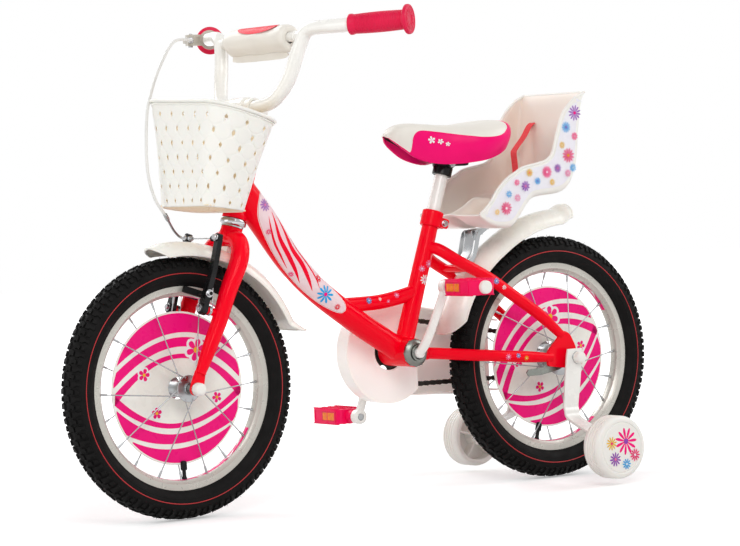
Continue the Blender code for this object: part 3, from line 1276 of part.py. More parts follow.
def make_chain():
    """Two rows of waisted side plates, joined at every pin by a roller for the teeth."""
    pins = chain_pins()
    count = len(pins)
    layers = [-CHAIN_LINE + y for y in (-CHAIN_WIDTH / 2, -CHAIN_INNER_WIDTH / 2,
                                        CHAIN_INNER_WIDTH / 2, CHAIN_WIDTH / 2)]
    verts = []
    faces = []
    for i in range(count):
        pin = pins[i]
        after = pins[(i + 1) % count]
        run = (after - pins[i - 1]).normalized()
        out = Vector((run.y, -run.x))
        reach = after - pin
        waist_out = Vector((reach.y, -reach.x)).normalized() * CHAIN_WAIST
        middle = (pin + after) / 2
        ring = [pin + out * CHAIN_CREST, pin - out * CHAIN_CREST, middle + waist_out,
                middle - waist_out, pin + out * ROLLER_RADIUS, pin + run * ROLLER_RADIUS,
                pin - out * ROLLER_RADIUS, pin - run * ROLLER_RADIUS]
        for y in layers:
            verts += [(p.x, y, p.y) for p in ring]
    for i in range(count):
        here = [32 * i + 8 * k for k in range(4)]
        there = [32 * ((i + 1) % count) + 8 * k for k in range(4)]
        for k in (0, 3):
            h, t = here[k], there[k]
            faces += [(h, h + 2, h + 3, h + 1), (h + 2, t, t + 1, h + 3)]
        for k in (1, 2):
            h, t = here[k], there[k]
            faces += [(h, h + 2, h + 3, h + 1, h + 6, h + 5, h + 4),
                      (h + 2, t, t + 4, t + 7, t + 6, t + 1, h + 3)]
        for k in (0, 2):
            h, t = here[k], there[k]
            g, u = here[k + 1], there[k + 1]
            for one, two in ((0, 2), (1, 3)):
                faces += [(h + one, h + two, g + two, g + one),
                          (h + two, t + one, u + one, g + two)]
        h, g = here[1], here[2]
        for one, two in ((4, 5), (5, 6), (6, 7), (7, 4)):
            faces.append((h + one, h + two, g + two, g + one))
    return finish(mesh_object("chain", verts, faces), "chain", DARK_STEEL)


def toothed_outline(teeth, pitch_radius, first):
    """A toothed wheel's outline: a seat for each roller, and a tapered tooth between two."""
    out = []
    step = 2 * math.pi / teeth
    room = ROLLER_RADIUS + GAP * 1.6
    tip_turn = TOOTH_TIP_WIDTH / 2 / pitch_radius
    for i in range(teeth):
        seat = first + i * step
        ahead = Vector((-math.sin(seat), math.cos(seat)))
        pin = Vector((math.cos(seat), math.sin(seat))) * pitch_radius
        root = pin * ((pitch_radius - room) / pitch_radius)
        middle = seat + step / 2
        tip = pitch_radius + TOOTH_RISE
        out += [tuple(pin - ahead * room), tuple(root), tuple(pin + ahead * room)]
        for a in (middle - tip_turn, middle + tip_turn):
            out.append((tip * math.cos(a), tip * math.sin(a)))
    return out


def make_chainring():
    place = side_matrix(BB, -CHAIN_LINE)
    teeth = toothed_outline(RING_TEETH, RING_RADIUS, RING_FIRST)
    hole = round_hole(CRANK_AXLE_RADIUS + GAP, 14)
    windows = []
    for i in range(5):
        a = 2 * math.pi * i / 5
        middle = (RING_RADIUS * 0.6 * math.cos(a), RING_RADIUS * 0.6 * math.sin(a))
        windows.append(circle(RING_RADIUS * 0.185, 8, middle))
    ring = plate("chainring", [teeth, hole] + windows, RING_THICKNESS, place)
    return finish(ring, "chainring", DARK_STEEL)


def make_sprocket():
    place = side_matrix(REAR_AXLE, -CHAIN_LINE)
    teeth = toothed_outline(SPROCKET_TEETH, SPROCKET_RADIUS, SPROCKET_FIRST)
    hole = round_hole(SPROCKET_BORE_RADIUS, 14)
    sprocket = plate("rear_sprocket", [teeth, hole], RING_THICKNESS, place)
    return finish(sprocket, "rear_sprocket", DARK_STEEL)


carry(make_crank(), "crank_axis")
carry(make_chainring(), "crank_axis")
carry(make_sprocket(), "sprocket_axis")
make_chain()

# Chain guard


def guard_outline(inset, rear_extra=0.0):
    """The guard's side outline: round at the crank, tapering to the rear wheel."""
    r = GUARD_RADIUS - inset
    x0 = BB.x
    z0 = BB.z
    rear = REAR_X + GUARD_REAR - rear_extra
    out = [(x0 + r * math.cos(a), z0 + r * math.sin(a))
           for a in [math.radians(-118 + 238 * k / 16) for k in range(17)]]
    out.append((x0 - GUARD_RADIUS * 1.27, z0 + GUARD_RADIUS * 0.741 - inset))
    out.append((rear, AXLE_Z + GUARD_REAR_TOP - inset))
    out.append((rear, AXLE_Z - GUARD_REAR_LOW + inset))
    out.append((x0 - GUARD_RADIUS * 1.612, AXLE_Z - GUARD_REAR_LOW + inset))
    return out


def make_guard():
    near = GUARD_OUTER_Y + GUARD_DEPTH
    middle = (GUARD_OUTER_Y + near) / 2
    guard = plate("chain_guard", [guard_outline(0.0)], GUARD_DEPTH,
                  side_matrix((0, 0, 0), middle))
    inner_depth = GUARD_DEPTH - 2 * GUARD_WALL
    cavity = plate("cavity", [guard_outline(GUARD_WALL, 0.02)], inner_depth,
                   side_matrix((0, 0, 0), middle))
    edge = BB.x - 0.060
    back = box("open_back", (0.4, GUARD_DEPTH, 0.4),
               Matrix.Translation((edge - 0.2, near, BB.z)))
    keep = plate("keep", [guard_outline(GUARD_WALL + GUARD_LIP, 0.02)], GUARD_DEPTH * 2,
                 side_matrix((0, 0, 0), near))
    mod = back.modifiers.new("bool", "BOOLEAN")
    mod.operation = "INTERSECT"
    mod.solver = "EXACT"
    mod.object = keep
    back = bake(back)
    bpy.data.objects.remove(keep, do_unlink=True)
    crank_hole = rod("crank_hole", (BB.x, GUARD_OUTER_Y - 0.01, BB.z),
                     (BB.x, middle, BB.z), GUARD_CRANK_HOLE, 20)
    shell_hole = rod("shell_hole", (BB.x, middle, BB.z),
                     (BB.x, near + 0.01, BB.z), GUARD_SHELL_HOLE, 20)
    guard = cut(guard, [cavity, back, crank_hole, shell_hole])
    return finish(guard, "chain_guard", CREAM_PLASTIC)


make_guard()


# Pedals and their spindles
def make_pedal(name, side, pedal):
    inner = side * PEDAL_INNER_Y
    body_start = side * (PEDAL_INNER_Y + 0.013)
    centre = pedal + SIDE * (body_start + side * PEDAL_LENGTH / 2)
    deep = PEDAL_DEPTH / 2
    long = PEDAL_LENGTH / 2
    outline = [(-deep + 0.006, -long), (deep - 0.006, -long), (deep, -long + 0.008),
               (deep, long - 0.008), (deep - 0.006, long), (-deep + 0.006, long),
               (-deep, long - 0.008), (-deep, -long + 0.008)]
    rails = []
    for ahead in (1, -1):
        near = ahead * (SPINDLE_RADIUS + 0.0045)
        far = ahead * (deep - 0.0065)
        rails.append([(near, -long + 0.007), (far, -long + 0.007), (far, long - 0.007),
                      (near, long - 0.007)])
    body = plate(name, [outline] + rails, PEDAL_HEIGHT, Matrix.Translation(centre))
    boss = rod("boss", pedal + SIDE * inner, pedal + SIDE * (body_start + side * 0.002),
               0.0105, 16)
    cap_start = body_start + side * (PEDAL_LENGTH - 0.002)
    cap = rod("cap", pedal + SIDE * cap_start, pedal + SIDE * (cap_start + side * 0.011), 0.0106, 16)
    pedal_body = unite(name, [body, boss, cap])
    bore = bored("bore", pedal + SIDE * (inner - side * 0.01),
               pedal + SIDE * (body_start + side * (PEDAL_LENGTH + 0.004)),
               SPINDLE_RADIUS + 0.0006, 12)
    return finish(cut(pedal_body, [bore]), name, PINK)


for label, side, pedal in (("left", 1, LEFT_PEDAL), ("right", -1, RIGHT_PEDAL)):
    eye = CRANK_SPREAD + CRANK_EYE_THICKNESS / 2
    spindle = turned("pedal_spindle_" + label, [
        (0, PEDAL_INNER_Y + PEDAL_LENGTH + 0.012), (SPINDLE_RADIUS, PEDAL_INNER_Y
                                                    + PEDAL_LENGTH + 0.012),
        (SPINDLE_RADIUS, PEDAL_INNER_Y - 0.0008), (0.0085, PEDAL_INNER_Y - 0.0008),
        (0.0085, eye + GAP), (SPINDLE_RADIUS, eye + GAP),
        (SPINDLE_RADIUS, CRANK_SPREAD - CRANK_EYE_THICKNESS / 2), (0, CRANK_SPREAD
                                                                 - CRANK_EYE_THICKNESS / 2)],
        pedal, SIDE * side, 12)
    carry(finish(spindle, "pedal_spindle_" + label, STEEL), "crank_axis")
    carry(make_pedal("pedal_" + label, side, pedal), "pedal_axis_" + label)


# Fenders
def make_fender(name, axle, start, end, width, radius_at, steps):
    """An arched strip round a wheel: radius_at gives the crest's radius for an angle."""
    work = bmesh.new()
    rows = []
    columns = 6
    for i in range(steps + 1):
        degrees = start + (end - start) * i / steps
        a = math.radians(degrees)
        crest, spread, drop = radius_at(degrees)
        row = []
        for k in range(columns + 1):
            t = math.radians(-84 + 168 * k / columns)
            y = math.sin(t) * width / 2 * spread
            r = crest - drop * (1 - math.cos(t))
            row.append(work.verts.new((axle.x + r * math.cos(a), y, axle.z + r * math.sin(a))))
        rows.append(row)
    for one, two in zip(rows, rows[1:]):
        for k in range(columns):
            work.faces.new((one[k], one[k + 1], two[k + 1], two[k]))
    mesh = bpy.data.meshes.new(name)
    work.to_mesh(mesh)
    work.free()
    fender = add_object(name, mesh)
    wall = fender.modifiers.new("wall", "SOLIDIFY")
    wall.thickness = FENDER_WALL
    wall.offset = 0
    return bake(fender)


def front_crest(degrees):
    flare = max(0.0, (degrees - 146) / 17)
    return FENDER_RADIUS + 0.026 * flare ** 2, 1 + 0.12 * flare, 0.014


def rear_crest(degrees):
    growth = max(0.0, (degrees - 58) / 40)
    flare = max(0.0, (degrees - 90) / 9)
    return (FENDER_RADIUS + 0.007 + 0.020 * growth ** 1.3 + 0.012 * flare ** 1.5,
            1 + 0.05 * flare, 0.014)


front_fender = make_fender("front_fender", FRONT_AXLE, 76, 163, FRONT_FENDER_WIDTH,
                           front_crest, 13)
tab_low = math.sqrt((FENDER_RADIUS - 0.0005) ** 2 - FORK_RAKE ** 2)
tab_top = FORK_CROWN_UP - FORK_BLADE_TOP_RADIUS - GAP
tab_place = head_matrix(on_head((tab_low + tab_top) / 2), 0)
tab = box("tab", (0.012, tab_top - tab_low, 0.018), tab_place)
front_fender = combine(front_fender, tab)
carry(finish(front_fender, "front_fender", CREAM), "steering_axis")

rear_fender = make_fender("rear_fender", REAR_AXLE, 13, 99, REAR_FENDER_WIDTH, rear_crest, 13)
bridge = mix(seat_stay_route(1)[2][:3], seat_stay_route(1)[3][:3], 0.46)
bridge.y = 0
toward = (REAR_AXLE - bridge).normalized()
bridge_distance = (REAR_AXLE - bridge).length
crest_there = rear_crest(math.degrees(math.atan2(bridge.z - AXLE_Z, bridge.x - REAR_X)))[0]
tab_length = bridge_distance - BRIDGE_RADIUS - GAP - crest_there + 0.0006
centre = bridge + toward * (BRIDGE_RADIUS + GAP + tab_length / 2)
tab_turn = toward.to_track_quat("Z", "Y").to_matrix().to_4x4()
tab = box("tab", (0.018, 0.012, tab_length), Matrix.Translation(centre) @ tab_turn)
rear_fender = combine(rear_fender, tab)
finish(rear_fender, "rear_fender", CREAM)

# Seat post, saddle clamp and saddle
POST_LOW = SEAT_BORE_START + POST_FOOT_LIFT
SADDLE_UNDER = POST_LOW + POST_LENGTH + GAP
POST_TOP = BB + SEAT_DIR * (POST_LOW + POST_LENGTH)
SADDLE_BASE_Z = (BB + SEAT_DIR * SADDLE_UNDER).z + POST_RADIUS * math.cos(SEAT_ANGLE)
pivot("seat_slide", BB + SEAT_DIR * SEAT_TUBE_LENGTH)
post = rod("seat_post", BB + SEAT_DIR * POST_LOW, BB + SEAT_DIR * (POST_LOW + POST_LENGTH),
           POST_RADIUS, 20)
carry(finish(post, "seat_post", CREAM), "seat_slide")


def make_saddle():
    """A padded saddle, lofted from sections: crown on top, sides drawn in underneath."""
    table = (
        (0.000, 0.30, 0.704, 0.873),
        (0.051, 0.62, 0.507, 0.972),
        (0.150, 0.90, 0.282, 1.000),
        (0.299, 1.00, 0.099, 0.958),
        (0.427, 0.90, 0.028, 0.915),
        (0.556, 0.62, 0.000, 0.915),
        (0.684, 0.42, 0.042, 0.944),
        (0.812, 0.34, 0.169, 0.972),
        (0.906, 0.31, 0.366, 0.944),
        (0.966, 0.25, 0.521, 0.845),
        (1.000, 0.12, 0.648, 0.732),
    )
    rings = []
    x0 = POST_TOP.x - SADDLE_SET_BACK
    for along, share, bottom, top in table:
        x = SADDLE_LENGTH * along
        half = SADDLE_HALF_WIDTH * share
        ring = []
        low = SADDLE_HEIGHT * bottom
        span = SADDLE_HEIGHT * top - low
        shape = ((0.0, 1.0), (0.45, 0.97), (0.80, 0.86), (0.97, 0.66), (1.0, 0.45), (0.93, 0.20),
                 (0.76, 0.03), (0.40, 0.0))
        for out, rise in shape:
            ring.append((x0 + x, half * out, SADDLE_BASE_Z + low + span * rise))
        ring.append((x0 + x, 0.0, SADDLE_BASE_Z + low))
        for out, rise in reversed(shape[1:]):
            ring.append((x0 + x, -half * out, SADDLE_BASE_Z + low + span * rise))
        rings.append(ring)
    return finish(loft("saddle", rings), "saddle", CREAM_PLASTIC, 60)


carry(make_saddle(), "seat_slide")


def make_saddle_clamp():
    high = SADDLE_CLAMP_HEIGHT
    top = POST_TOP - SEAT_DIR * high * 0.125
    ring = rod("saddle_clamp", top - SEAT_DIR * high, top, POST_RADIUS + SADDLE_CLAMP_WALL, 14)
    middle = top - SEAT_DIR * high / 2
    ears = rod("ears", middle - SIDE * high * 0.92, middle + SIDE * high * 0.92, high * 0.354, 10)
    clamp = combine(ring, ears)
    bore = bored("bore", top - SEAT_DIR * high * 1.25, top + SEAT_DIR * high * 0.4,
                 POST_RADIUS + GAP, 14)
    return finish(cut(clamp, [bore]), "saddle_clamp", BLACK)


carry(make_saddle_clamp(), "seat_slide")

# Doll seat with its leg wells, bracket and strap; the table holds shares of its length and
# height: back shell x and z, side rim x and z, and the hump between the leg wells
DOLL_SEAT_X = SEAT_TOP.x - DOLL_SEAT_SET_BACK - DOLL_SEAT_LENGTH
DOLL_TABLE = (
    (0.000, 0.998, 0.002, 1.000, 0.000),
    (0.039, 0.883, 0.079, 0.938, 0.000),
    (0.075, 0.708, 0.193, 0.837, 0.000),
    (0.096, 0.491, 0.276, 0.671, 0.000),
    (0.127, 0.353, 0.320, 0.542, 0.000),
    (0.180, 0.280, 0.373, 0.491, 0.000),
    (0.268, 0.243, 0.434, 0.471, 0.000),
    (0.478, 0.220, 0.592, 0.441, 0.000),
    (0.557, 0.165, 0.667, 0.404, 0.037),
    (0.627, 0.077, 0.750, 0.358, 0.138),
    (0.693, 0.006, 0.838, 0.275, 0.212),
    (0.794, 0.000, 0.899, 0.192, 0.166),
    (0.908, 0.031, 0.961, 0.133, 0.092),
    (0.996, 0.093, 1.000, 0.105, 0.009),
)


def make_doll_seat():
    work = bmesh.new()
    rows = []
    half = DOLL_SEAT_HALF_WIDTH
    for shares in DOLL_TABLE:
        row = []
        bx, rx = (DOLL_SEAT_LENGTH * share for share in (shares[0], shares[2]))
        bz, rz, hump = (DOLL_SEAT_HEIGHT * share for share in (shares[1], *shares[3:]))
        columns = ((1.0, 1.0), (0.96, 0.62), (0.91, 0.25), (0.80, 0.04), (0.45, 0.0), (0.16, 0.0),
                   (0.09, -1.0), (0.0, -2.0))
        half_row = []
        for out, rise in columns:
            if rise < 0:
                lift = hump * (0.85 if rise == -1.0 else 1.0)
                half_row.append((bx + lift * 0.45, out, bz + lift))
            else:
                half_row.append((bx + (rx - bx) * rise, out, bz + (rz - bz) * rise))
        for x, out, z in half_row:
            row.append(work.verts.new((DOLL_SEAT_X + x, half * out, DOLL_SEAT_Z + z)))
        for x, out, z in reversed(half_row[:-1]):
            row.append(work.verts.new((DOLL_SEAT_X + x, -half * out, DOLL_SEAT_Z + z)))
        rows.append(row)
    for one, two in zip(rows, rows[1:]):
        for k in range(len(one) - 1):
            work.faces.new((one[k], one[k + 1], two[k + 1], two[k]))
    bmesh.ops.recalc_face_normals(work, faces=work.faces)
    mesh = bpy.data.meshes.new("doll_seat")
    work.to_mesh(mesh)
    work.free()
    seat = add_object("doll_seat", mesh)
    wall = seat.modifiers.new("wall", "SOLIDIFY")
    wall.thickness = DOLL_SEAT_WALL
    wall.offset = 0
    return finish(bake(seat), "doll_seat", CREAM_PLASTIC, 50)


make_doll_seat()


def strip(name, points, thickness, width, y=0.0):
    """A bent flat bar: a route in the side plane, given thickness and width."""
    left = []
    right = []
    for i, (x, z) in enumerate(points):
        before = points[max(i - 1, 0)]
        after = points[min(i + 1, len(points) - 1)]
        dx = after[0] - before[0]
        dz = after[1] - before[1]
        length = math.hypot(dx, dz)
        nx = -dz / length * thickness / 2
        nz = dx / length * thickness / 2
        left.append((x + nx, z + nz))
        right.append((x - nx, z - nz))
    return plate(name, [left + list(reversed(right))], width, side_matrix((0, 0, 0), y))


seat_under = DOLL_SEAT_Z + 0.0013 - DOLL_SEAT_WALL / 2 - GAP * 3 - BRACKET_THICKNESS / 2
bracket_route = [(bridge.x + 0.004, bridge.z + BRIDGE_RADIUS + GAP + BRACKET_THICKNESS / 2 + 0.0002),
                 (bridge.x - 0.008, bridge.z + BRIDGE_RADIUS + GAP + BRACKET_THICKNESS / 2 + 0.0014),
                 (bridge.x - 0.022, bridge.z + 0.026),
                 (DOLL_SEAT_X + DOLL_SEAT_LENGTH * 0.820, seat_under - 0.006),
                 (DOLL_SEAT_X + DOLL_SEAT_LENGTH * 0.785, seat_under - 0.0016),
                 (DOLL_SEAT_X + DOLL_SEAT_LENGTH * 0.689, seat_under)]
bracket = strip("doll_seat_bracket", bracket_route, BRACKET_THICKNESS, 0.022)
finish(bracket, "doll_seat_bracket", STEEL)

strap_route = [(DOLL_SEAT_X + DOLL_SEAT_LENGTH * along, DOLL_SEAT_Z + DOLL_SEAT_HEIGHT * up)
               for along, up in ((0.2675, 0.2683), (0.3553, 0.3166), (0.4781, 0.2936),
                                 (0.5307, 0.2545))]
strap = strip("doll_seat_strap", strap_route, 0.0025, 0.016, 0.022)
finish(strap, "doll_seat_strap", STRAP_RED)


# Coaster brake arm with its band round the left chain stay
def make_coaster_arm():
    y = REAR_DROPOUT_Y - GAP - COASTER_ARM_THICKNESS / 2
    arm_outline = [(-0.010, 0.0), (-0.007, 0.008), (0.0, 0.0105), (0.010, 0.006),
                   (0.030, -0.007), (0.060, -0.0135), (0.088, -0.0150), (0.092, -0.020),
                   (0.088, -0.026), (0.060, -0.0255), (0.026, -0.020), (0.0, -0.0105),
                   (-0.008, -0.007)]
    hole = round_hole(AXLE_RADIUS + GAP, 16)
    return plate("coaster_arm", [arm_outline, hole], COASTER_ARM_THICKNESS,
                 side_matrix(REAR_AXLE, y))


finish(make_coaster_arm(), "coaster_arm", STEEL)

# Trainer wheels and their brackets
TRAINER_Z = TRAINER_RADIUS + TRAINER_LIFT
TRAINER_X = REAR_X + TRAINER_FORWARD
TRAINER_INNER_Y = TRAINER_OUTER_Y - TRAINER_WIDTH


def make_trainer_bracket(name, side):
    t = TRAINER_BAR_THICKNESS
    y0 = BRACKET_Y
    foot = TRAINER_INNER_Y - 0.004
    top = TRAINER_BAR_TOP
    outline = [(y0, top), (y0 + t, top), (y0 + t, top * 0.569), (y0 + t * 3.8, top * 0.486),
               (foot - t, top * 0.358), (foot, top * 0.372), (foot, top * 0.220),
               (foot - t, top * 0.220), (foot - t, top * 0.326), (y0 + t * 2.8, top * 0.454),
               (y0, top * 0.555)]
    points = [(side * a, b) for a, b in outline]
    turn = Matrix(((0, 0, 1, 0), (1, 0, 0, 0), (0, 1, 0, 0), (0, 0, 0, 1)))
    bar = plate(name, [points], TRAINER_BAR_WIDTH * 0.9, turn)
    for vertex in bar.data.vertices:
        lean = max(0.0, top - vertex.co.z) / (top - TRAINER_Z)
        narrow = 1.0 - 0.25 * min(1.0, lean)
        vertex.co.x = vertex.co.x * narrow + REAR_X + TRAINER_FORWARD * 0.15
        vertex.co.x += TRAINER_FORWARD * 0.85 * min(1.0, lean)
    bolt = rod("bolt", (TRAINER_X, side * (foot - t * 0.5), TRAINER_Z),
               (TRAINER_X, side * (TRAINER_OUTER_Y - 0.008), TRAINER_Z), TRAINER_BOLT_RADIUS, 12)
    bar = combine(bar, bolt)
    hole = bored("hole", (REAR_X, side * (y0 - 0.01), AXLE_Z), (REAR_X, side * (y0 + 0.02), AXLE_Z),
               AXLE_RADIUS + GAP, 12)
    return finish(cut(bar, [hole]), name, CREAM)


def make_trainer_wheel(name, side):
    r = TRAINER_RADIUS
    w = TRAINER_WIDTH
    bore = TRAINER_BOLT_RADIUS + 0.0006
    groove = 0.0022
    profile = [(0, w - 0.003), (0.032, w - 0.003), (0.034, w), (r - 0.006, w)]
    for k in range(3):
        y = w * (0.74 - 0.20 * k)
        profile += [(r, y + 0.003), (r - groove, y), (r, y - 0.003)]
    profile += [(r - 0.004, 0.0), (r - 0.010, 0.0), (r - 0.012, w * 0.45),
                (0.016, w * 0.45), (0.012, -0.002), (bore, -0.002), (bore, w - 0.0072),
                (0, w - 0.0072)]
    centre = Vector((TRAINER_X, side * TRAINER_INNER_Y, TRAINER_Z))
    wheel = turned(name, profile, centre, SIDE * side, 14)
    return finish(wheel, name, CREAM_PLASTIC)


for label, side in (("left", 1), ("right", -1)):
    make_trainer_bracket("trainer_bracket_" + label, side)
    pivot("trainer_axis_" + label, (TRAINER_X, side * TRAINER_INNER_Y, TRAINER_Z))
    carry(make_trainer_wheel("trainer_wheel_" + label, side), "trainer_axis_" + label)
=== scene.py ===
import math
import random

import bmesh
import bpy
from mathutils import Matrix, Vector
from mathutils.geometry import delaunay_2d_cdt, tessellate_polygon


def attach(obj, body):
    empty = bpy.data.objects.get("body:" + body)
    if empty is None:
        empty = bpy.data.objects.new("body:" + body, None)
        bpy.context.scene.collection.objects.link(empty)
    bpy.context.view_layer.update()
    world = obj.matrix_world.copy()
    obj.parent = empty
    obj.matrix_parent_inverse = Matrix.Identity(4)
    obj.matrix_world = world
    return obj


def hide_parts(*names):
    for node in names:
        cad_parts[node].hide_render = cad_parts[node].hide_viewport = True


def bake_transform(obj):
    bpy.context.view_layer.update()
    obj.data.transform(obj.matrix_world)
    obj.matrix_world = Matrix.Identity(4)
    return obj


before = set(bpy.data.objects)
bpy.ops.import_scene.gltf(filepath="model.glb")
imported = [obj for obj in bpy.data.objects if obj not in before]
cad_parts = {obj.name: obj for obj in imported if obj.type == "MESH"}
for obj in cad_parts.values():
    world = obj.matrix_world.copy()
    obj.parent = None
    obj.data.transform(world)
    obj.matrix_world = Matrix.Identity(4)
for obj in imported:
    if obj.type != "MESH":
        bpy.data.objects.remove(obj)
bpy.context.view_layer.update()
SCENE = bpy.context.scene

# Sizes and places shared with the solids
WHEELBASE = 0.7347
RADIUS = 0.203
REAR_X = -WHEELBASE / 2
REAR_AXLE = Vector((REAR_X, 0, RADIUS))
FRONT_AXLE = Vector((WHEELBASE / 2, 0, RADIUS))
BB = Vector((REAR_X + 0.306, 0, 0.230))
SIDE = Vector((0, 1, 0))
SEAT_ANGLE = math.radians(71.7)
HEAD_ANGLE = math.radians(72.0)
SEAT_DIR = Vector((-math.cos(SEAT_ANGLE), 0, math.sin(SEAT_ANGLE)))
HEAD_DIR = Vector((-math.cos(HEAD_ANGLE), 0, math.sin(HEAD_ANGLE)))
HEAD_FORWARD = Vector((math.sin(HEAD_ANGLE), 0, math.cos(HEAD_ANGLE)))
RAKE = 0.0296
HEAD_FOOT = FRONT_AXLE - HEAD_FORWARD * RAKE
UP = Vector((0, 0, 1))


def on_head(up, forward=0.0, side=0.0):
    """A place along the steering axis from the front axle's height, ahead of it and to its left."""
    return HEAD_FOOT + HEAD_DIR * up + HEAD_FORWARD * forward + SIDE * side


def mix(a, b, t):
    """The place a share of the way from a to b."""
    return Vector(a) + (Vector(b) - Vector(a)) * t


# Camera and light
def set_camera():
    """The camera of the photograph, by its axes and its place."""
    data = bpy.data.cameras.new("camera")
    cam = bpy.data.objects.new("camera", data)
    SCENE.collection.objects.link(cam)
    right = Vector((-0.81174, 0.58274, -0.03873)).normalized()
    back = Vector((0.58180, 0.81265, 0.03333)).normalized()
    up = back.cross(right).normalized()
    right = up.cross(back)
    place = Matrix((right, up, back)).transposed().to_4x4()
    cam.matrix_world = Matrix.Translation((2.79754, 3.91301, 0.52223)) @ place
    data.sensor_width = 36.0
    data.lens = 145.31
    data.clip_end = 60.0
    SCENE.camera = cam


def area_light(name, place, target, size, power):
    data = bpy.data.lights.new(name, "AREA")
    data.shape = "RECTANGLE"
    data.size = size[0]
    data.size_y = size[1]
    data.energy = power
    lamp = bpy.data.objects.new(name, data)
    SCENE.collection.objects.link(lamp)
    aim = (Vector(target) - Vector(place)).to_track_quat("-Z", "Y").to_matrix().to_4x4()
    lamp.matrix_world = Matrix.Translation(place) @ aim


def math_node(tree, operation, first, second):
    node = tree.nodes.new("ShaderNodeMath")
    node.operation = operation
    tree.links.new(first, node.inputs[0])
    tree.links.new(second, node.inputs[1])
    return node.outputs[0]


def seen_directly(tree):
    """One where the camera, a mirror or glass looks, and zero for the light that is cast."""
    path = tree.nodes.new("ShaderNodeLightPath").outputs
    first = math_node(tree, "MAXIMUM", path["Is Camera Ray"], path["Is Transmission Ray"])
    return math_node(tree, "MAXIMUM", first, path["Is Glossy Ray"])


def sky(tree, strength):
    node = tree.nodes.new("ShaderNodeBackground")
    node.inputs["Color"].default_value = (1.0, 1.0, 1.0, 1.0)
    node.inputs["Strength"].default_value = strength
    return node.outputs[0]


def set_world():
    """A white background that lights the bicycle less than it shows."""
    world = bpy.data.worlds.new("studio")
    SCENE.world = world
    world.use_nodes = True
    tree = world.node_tree
    tree.nodes.clear()
    out = tree.nodes.new("ShaderNodeOutputWorld")
    blend = tree.nodes.new("ShaderNodeMixShader")
    tree.links.new(seen_directly(tree), blend.inputs[0])
    tree.links.new(sky(tree, 0.46), blend.inputs[1])
    tree.links.new(sky(tree, 1.0), blend.inputs[2])
    tree.links.new(blend.outputs[0], out.inputs["Surface"])


def set_floor():
    """Pale paper that brightens to the background's white away from the bicycle."""
    mesh = bpy.data.meshes.new("floor")
    work = bmesh.new()
    bmesh.ops.create_grid(work, x_segments=2, y_segments=2, size=9.0)
    work.to_mesh(mesh)
    work.free()
    floor = bpy.data.objects.new("floor", mesh)
    SCENE.collection.objects.link(floor)
    floor.location = (0, 0, -0.0004)
    mat = bpy.data.materials.new("floor_paper")
    mat.use_nodes = True
    tree = mat.node_tree
    tree.nodes.clear()
    out = tree.nodes.new("ShaderNodeOutputMaterial")
    paper = tree.nodes.new("ShaderNodeBsdfDiffuse")
    paper.inputs["Color"].default_value = (0.86, 0.86, 0.86, 1.0)
    glow = tree.nodes.new("ShaderNodeEmission")
    glow.inputs["Color"].default_value = (1.0, 1.0, 1.0, 1.0)
    coord = tree.nodes.new("ShaderNodeTexCoord")
    reach = tree.nodes.new("ShaderNodeVectorMath")
    reach.operation = "LENGTH"
    tree.links.new(coord.outputs["Object"], reach.inputs[0])
    away = ranged(tree, reach.outputs["Value"], 0.34, 1.0, 0.75, 2.4)
    lift = math_node(tree, "MULTIPLY", seen_directly(tree), away)
    tree.links.new(lift, glow.inputs["Strength"])
    add = tree.nodes.new("ShaderNodeAddShader")
    tree.links.new(paper.outputs[0], add.inputs[0])
    tree.links.new(glow.outputs[0], add.inputs[1])
    tree.links.new(add.outputs[0], out.inputs["Surface"])
    mesh.materials.append(mat)


# Materials, each built from nodes in object space, which is the bicycle's own frame
def place_in_object(tree):
    """Where a point lies in the object's own space."""
    coord = tree.nodes.new("ShaderNodeTexCoord")
    return coord.outputs["Object"]


def noise(tree, scale, detail):
    """Noise with this many waves to a metre."""
    node = tree.nodes.new("ShaderNodeTexNoise")
    node.inputs["Scale"].default_value = scale
    node.inputs["Detail"].default_value = detail
    tree.links.new(place_in_object(tree), node.inputs["Vector"])
    return node.outputs["Fac"]


def ranged(tree, value, low, high, start=0.3, end=0.7):
    """A value between start and end spread over low to high."""
    node = tree.nodes.new("ShaderNodeMapRange")
    node.inputs["From Min"].default_value = start
    node.inputs["From Max"].default_value = end
    node.inputs["To Min"].default_value = low
    node.inputs["To Max"].default_value = high
    tree.links.new(value, node.inputs["Value"])
    return node.outputs[0]


def tinted(tree, value, first, second, start=0.3, end=0.7):
    """A colour between two, by a value between start and end."""
    ramp = tree.nodes.new("ShaderNodeValToRGB")
    ramp.color_ramp.elements[0].position = start
    ramp.color_ramp.elements[0].color = (*first, 1.0)
    ramp.color_ramp.elements[1].position = end
    ramp.color_ramp.elements[1].color = (*second, 1.0)
    tree.links.new(value, ramp.inputs[0])
    return ramp.outputs[0]


set_camera()
set_world()
set_floor()
area_light("key", (1.6, 3.2, 2.6), (0, 0, 0.35), (2.2, 1.8), 62)
area_light("fill", (3.4, -0.6, 1.5), (0, 0, 0.35), (2.0, 2.0), 26)
area_light("back", (-2.6, 1.2, 2.2), (0, 0, 0.4), (1.8, 1.8), 30)
area_light("far_side", (0.2, -3.2, 2.4), (0, 0, 0.4), (2.2, 1.8), 44)
SCENE.view_settings.view_transform = "Standard"


# The materials by their short names
M = {}


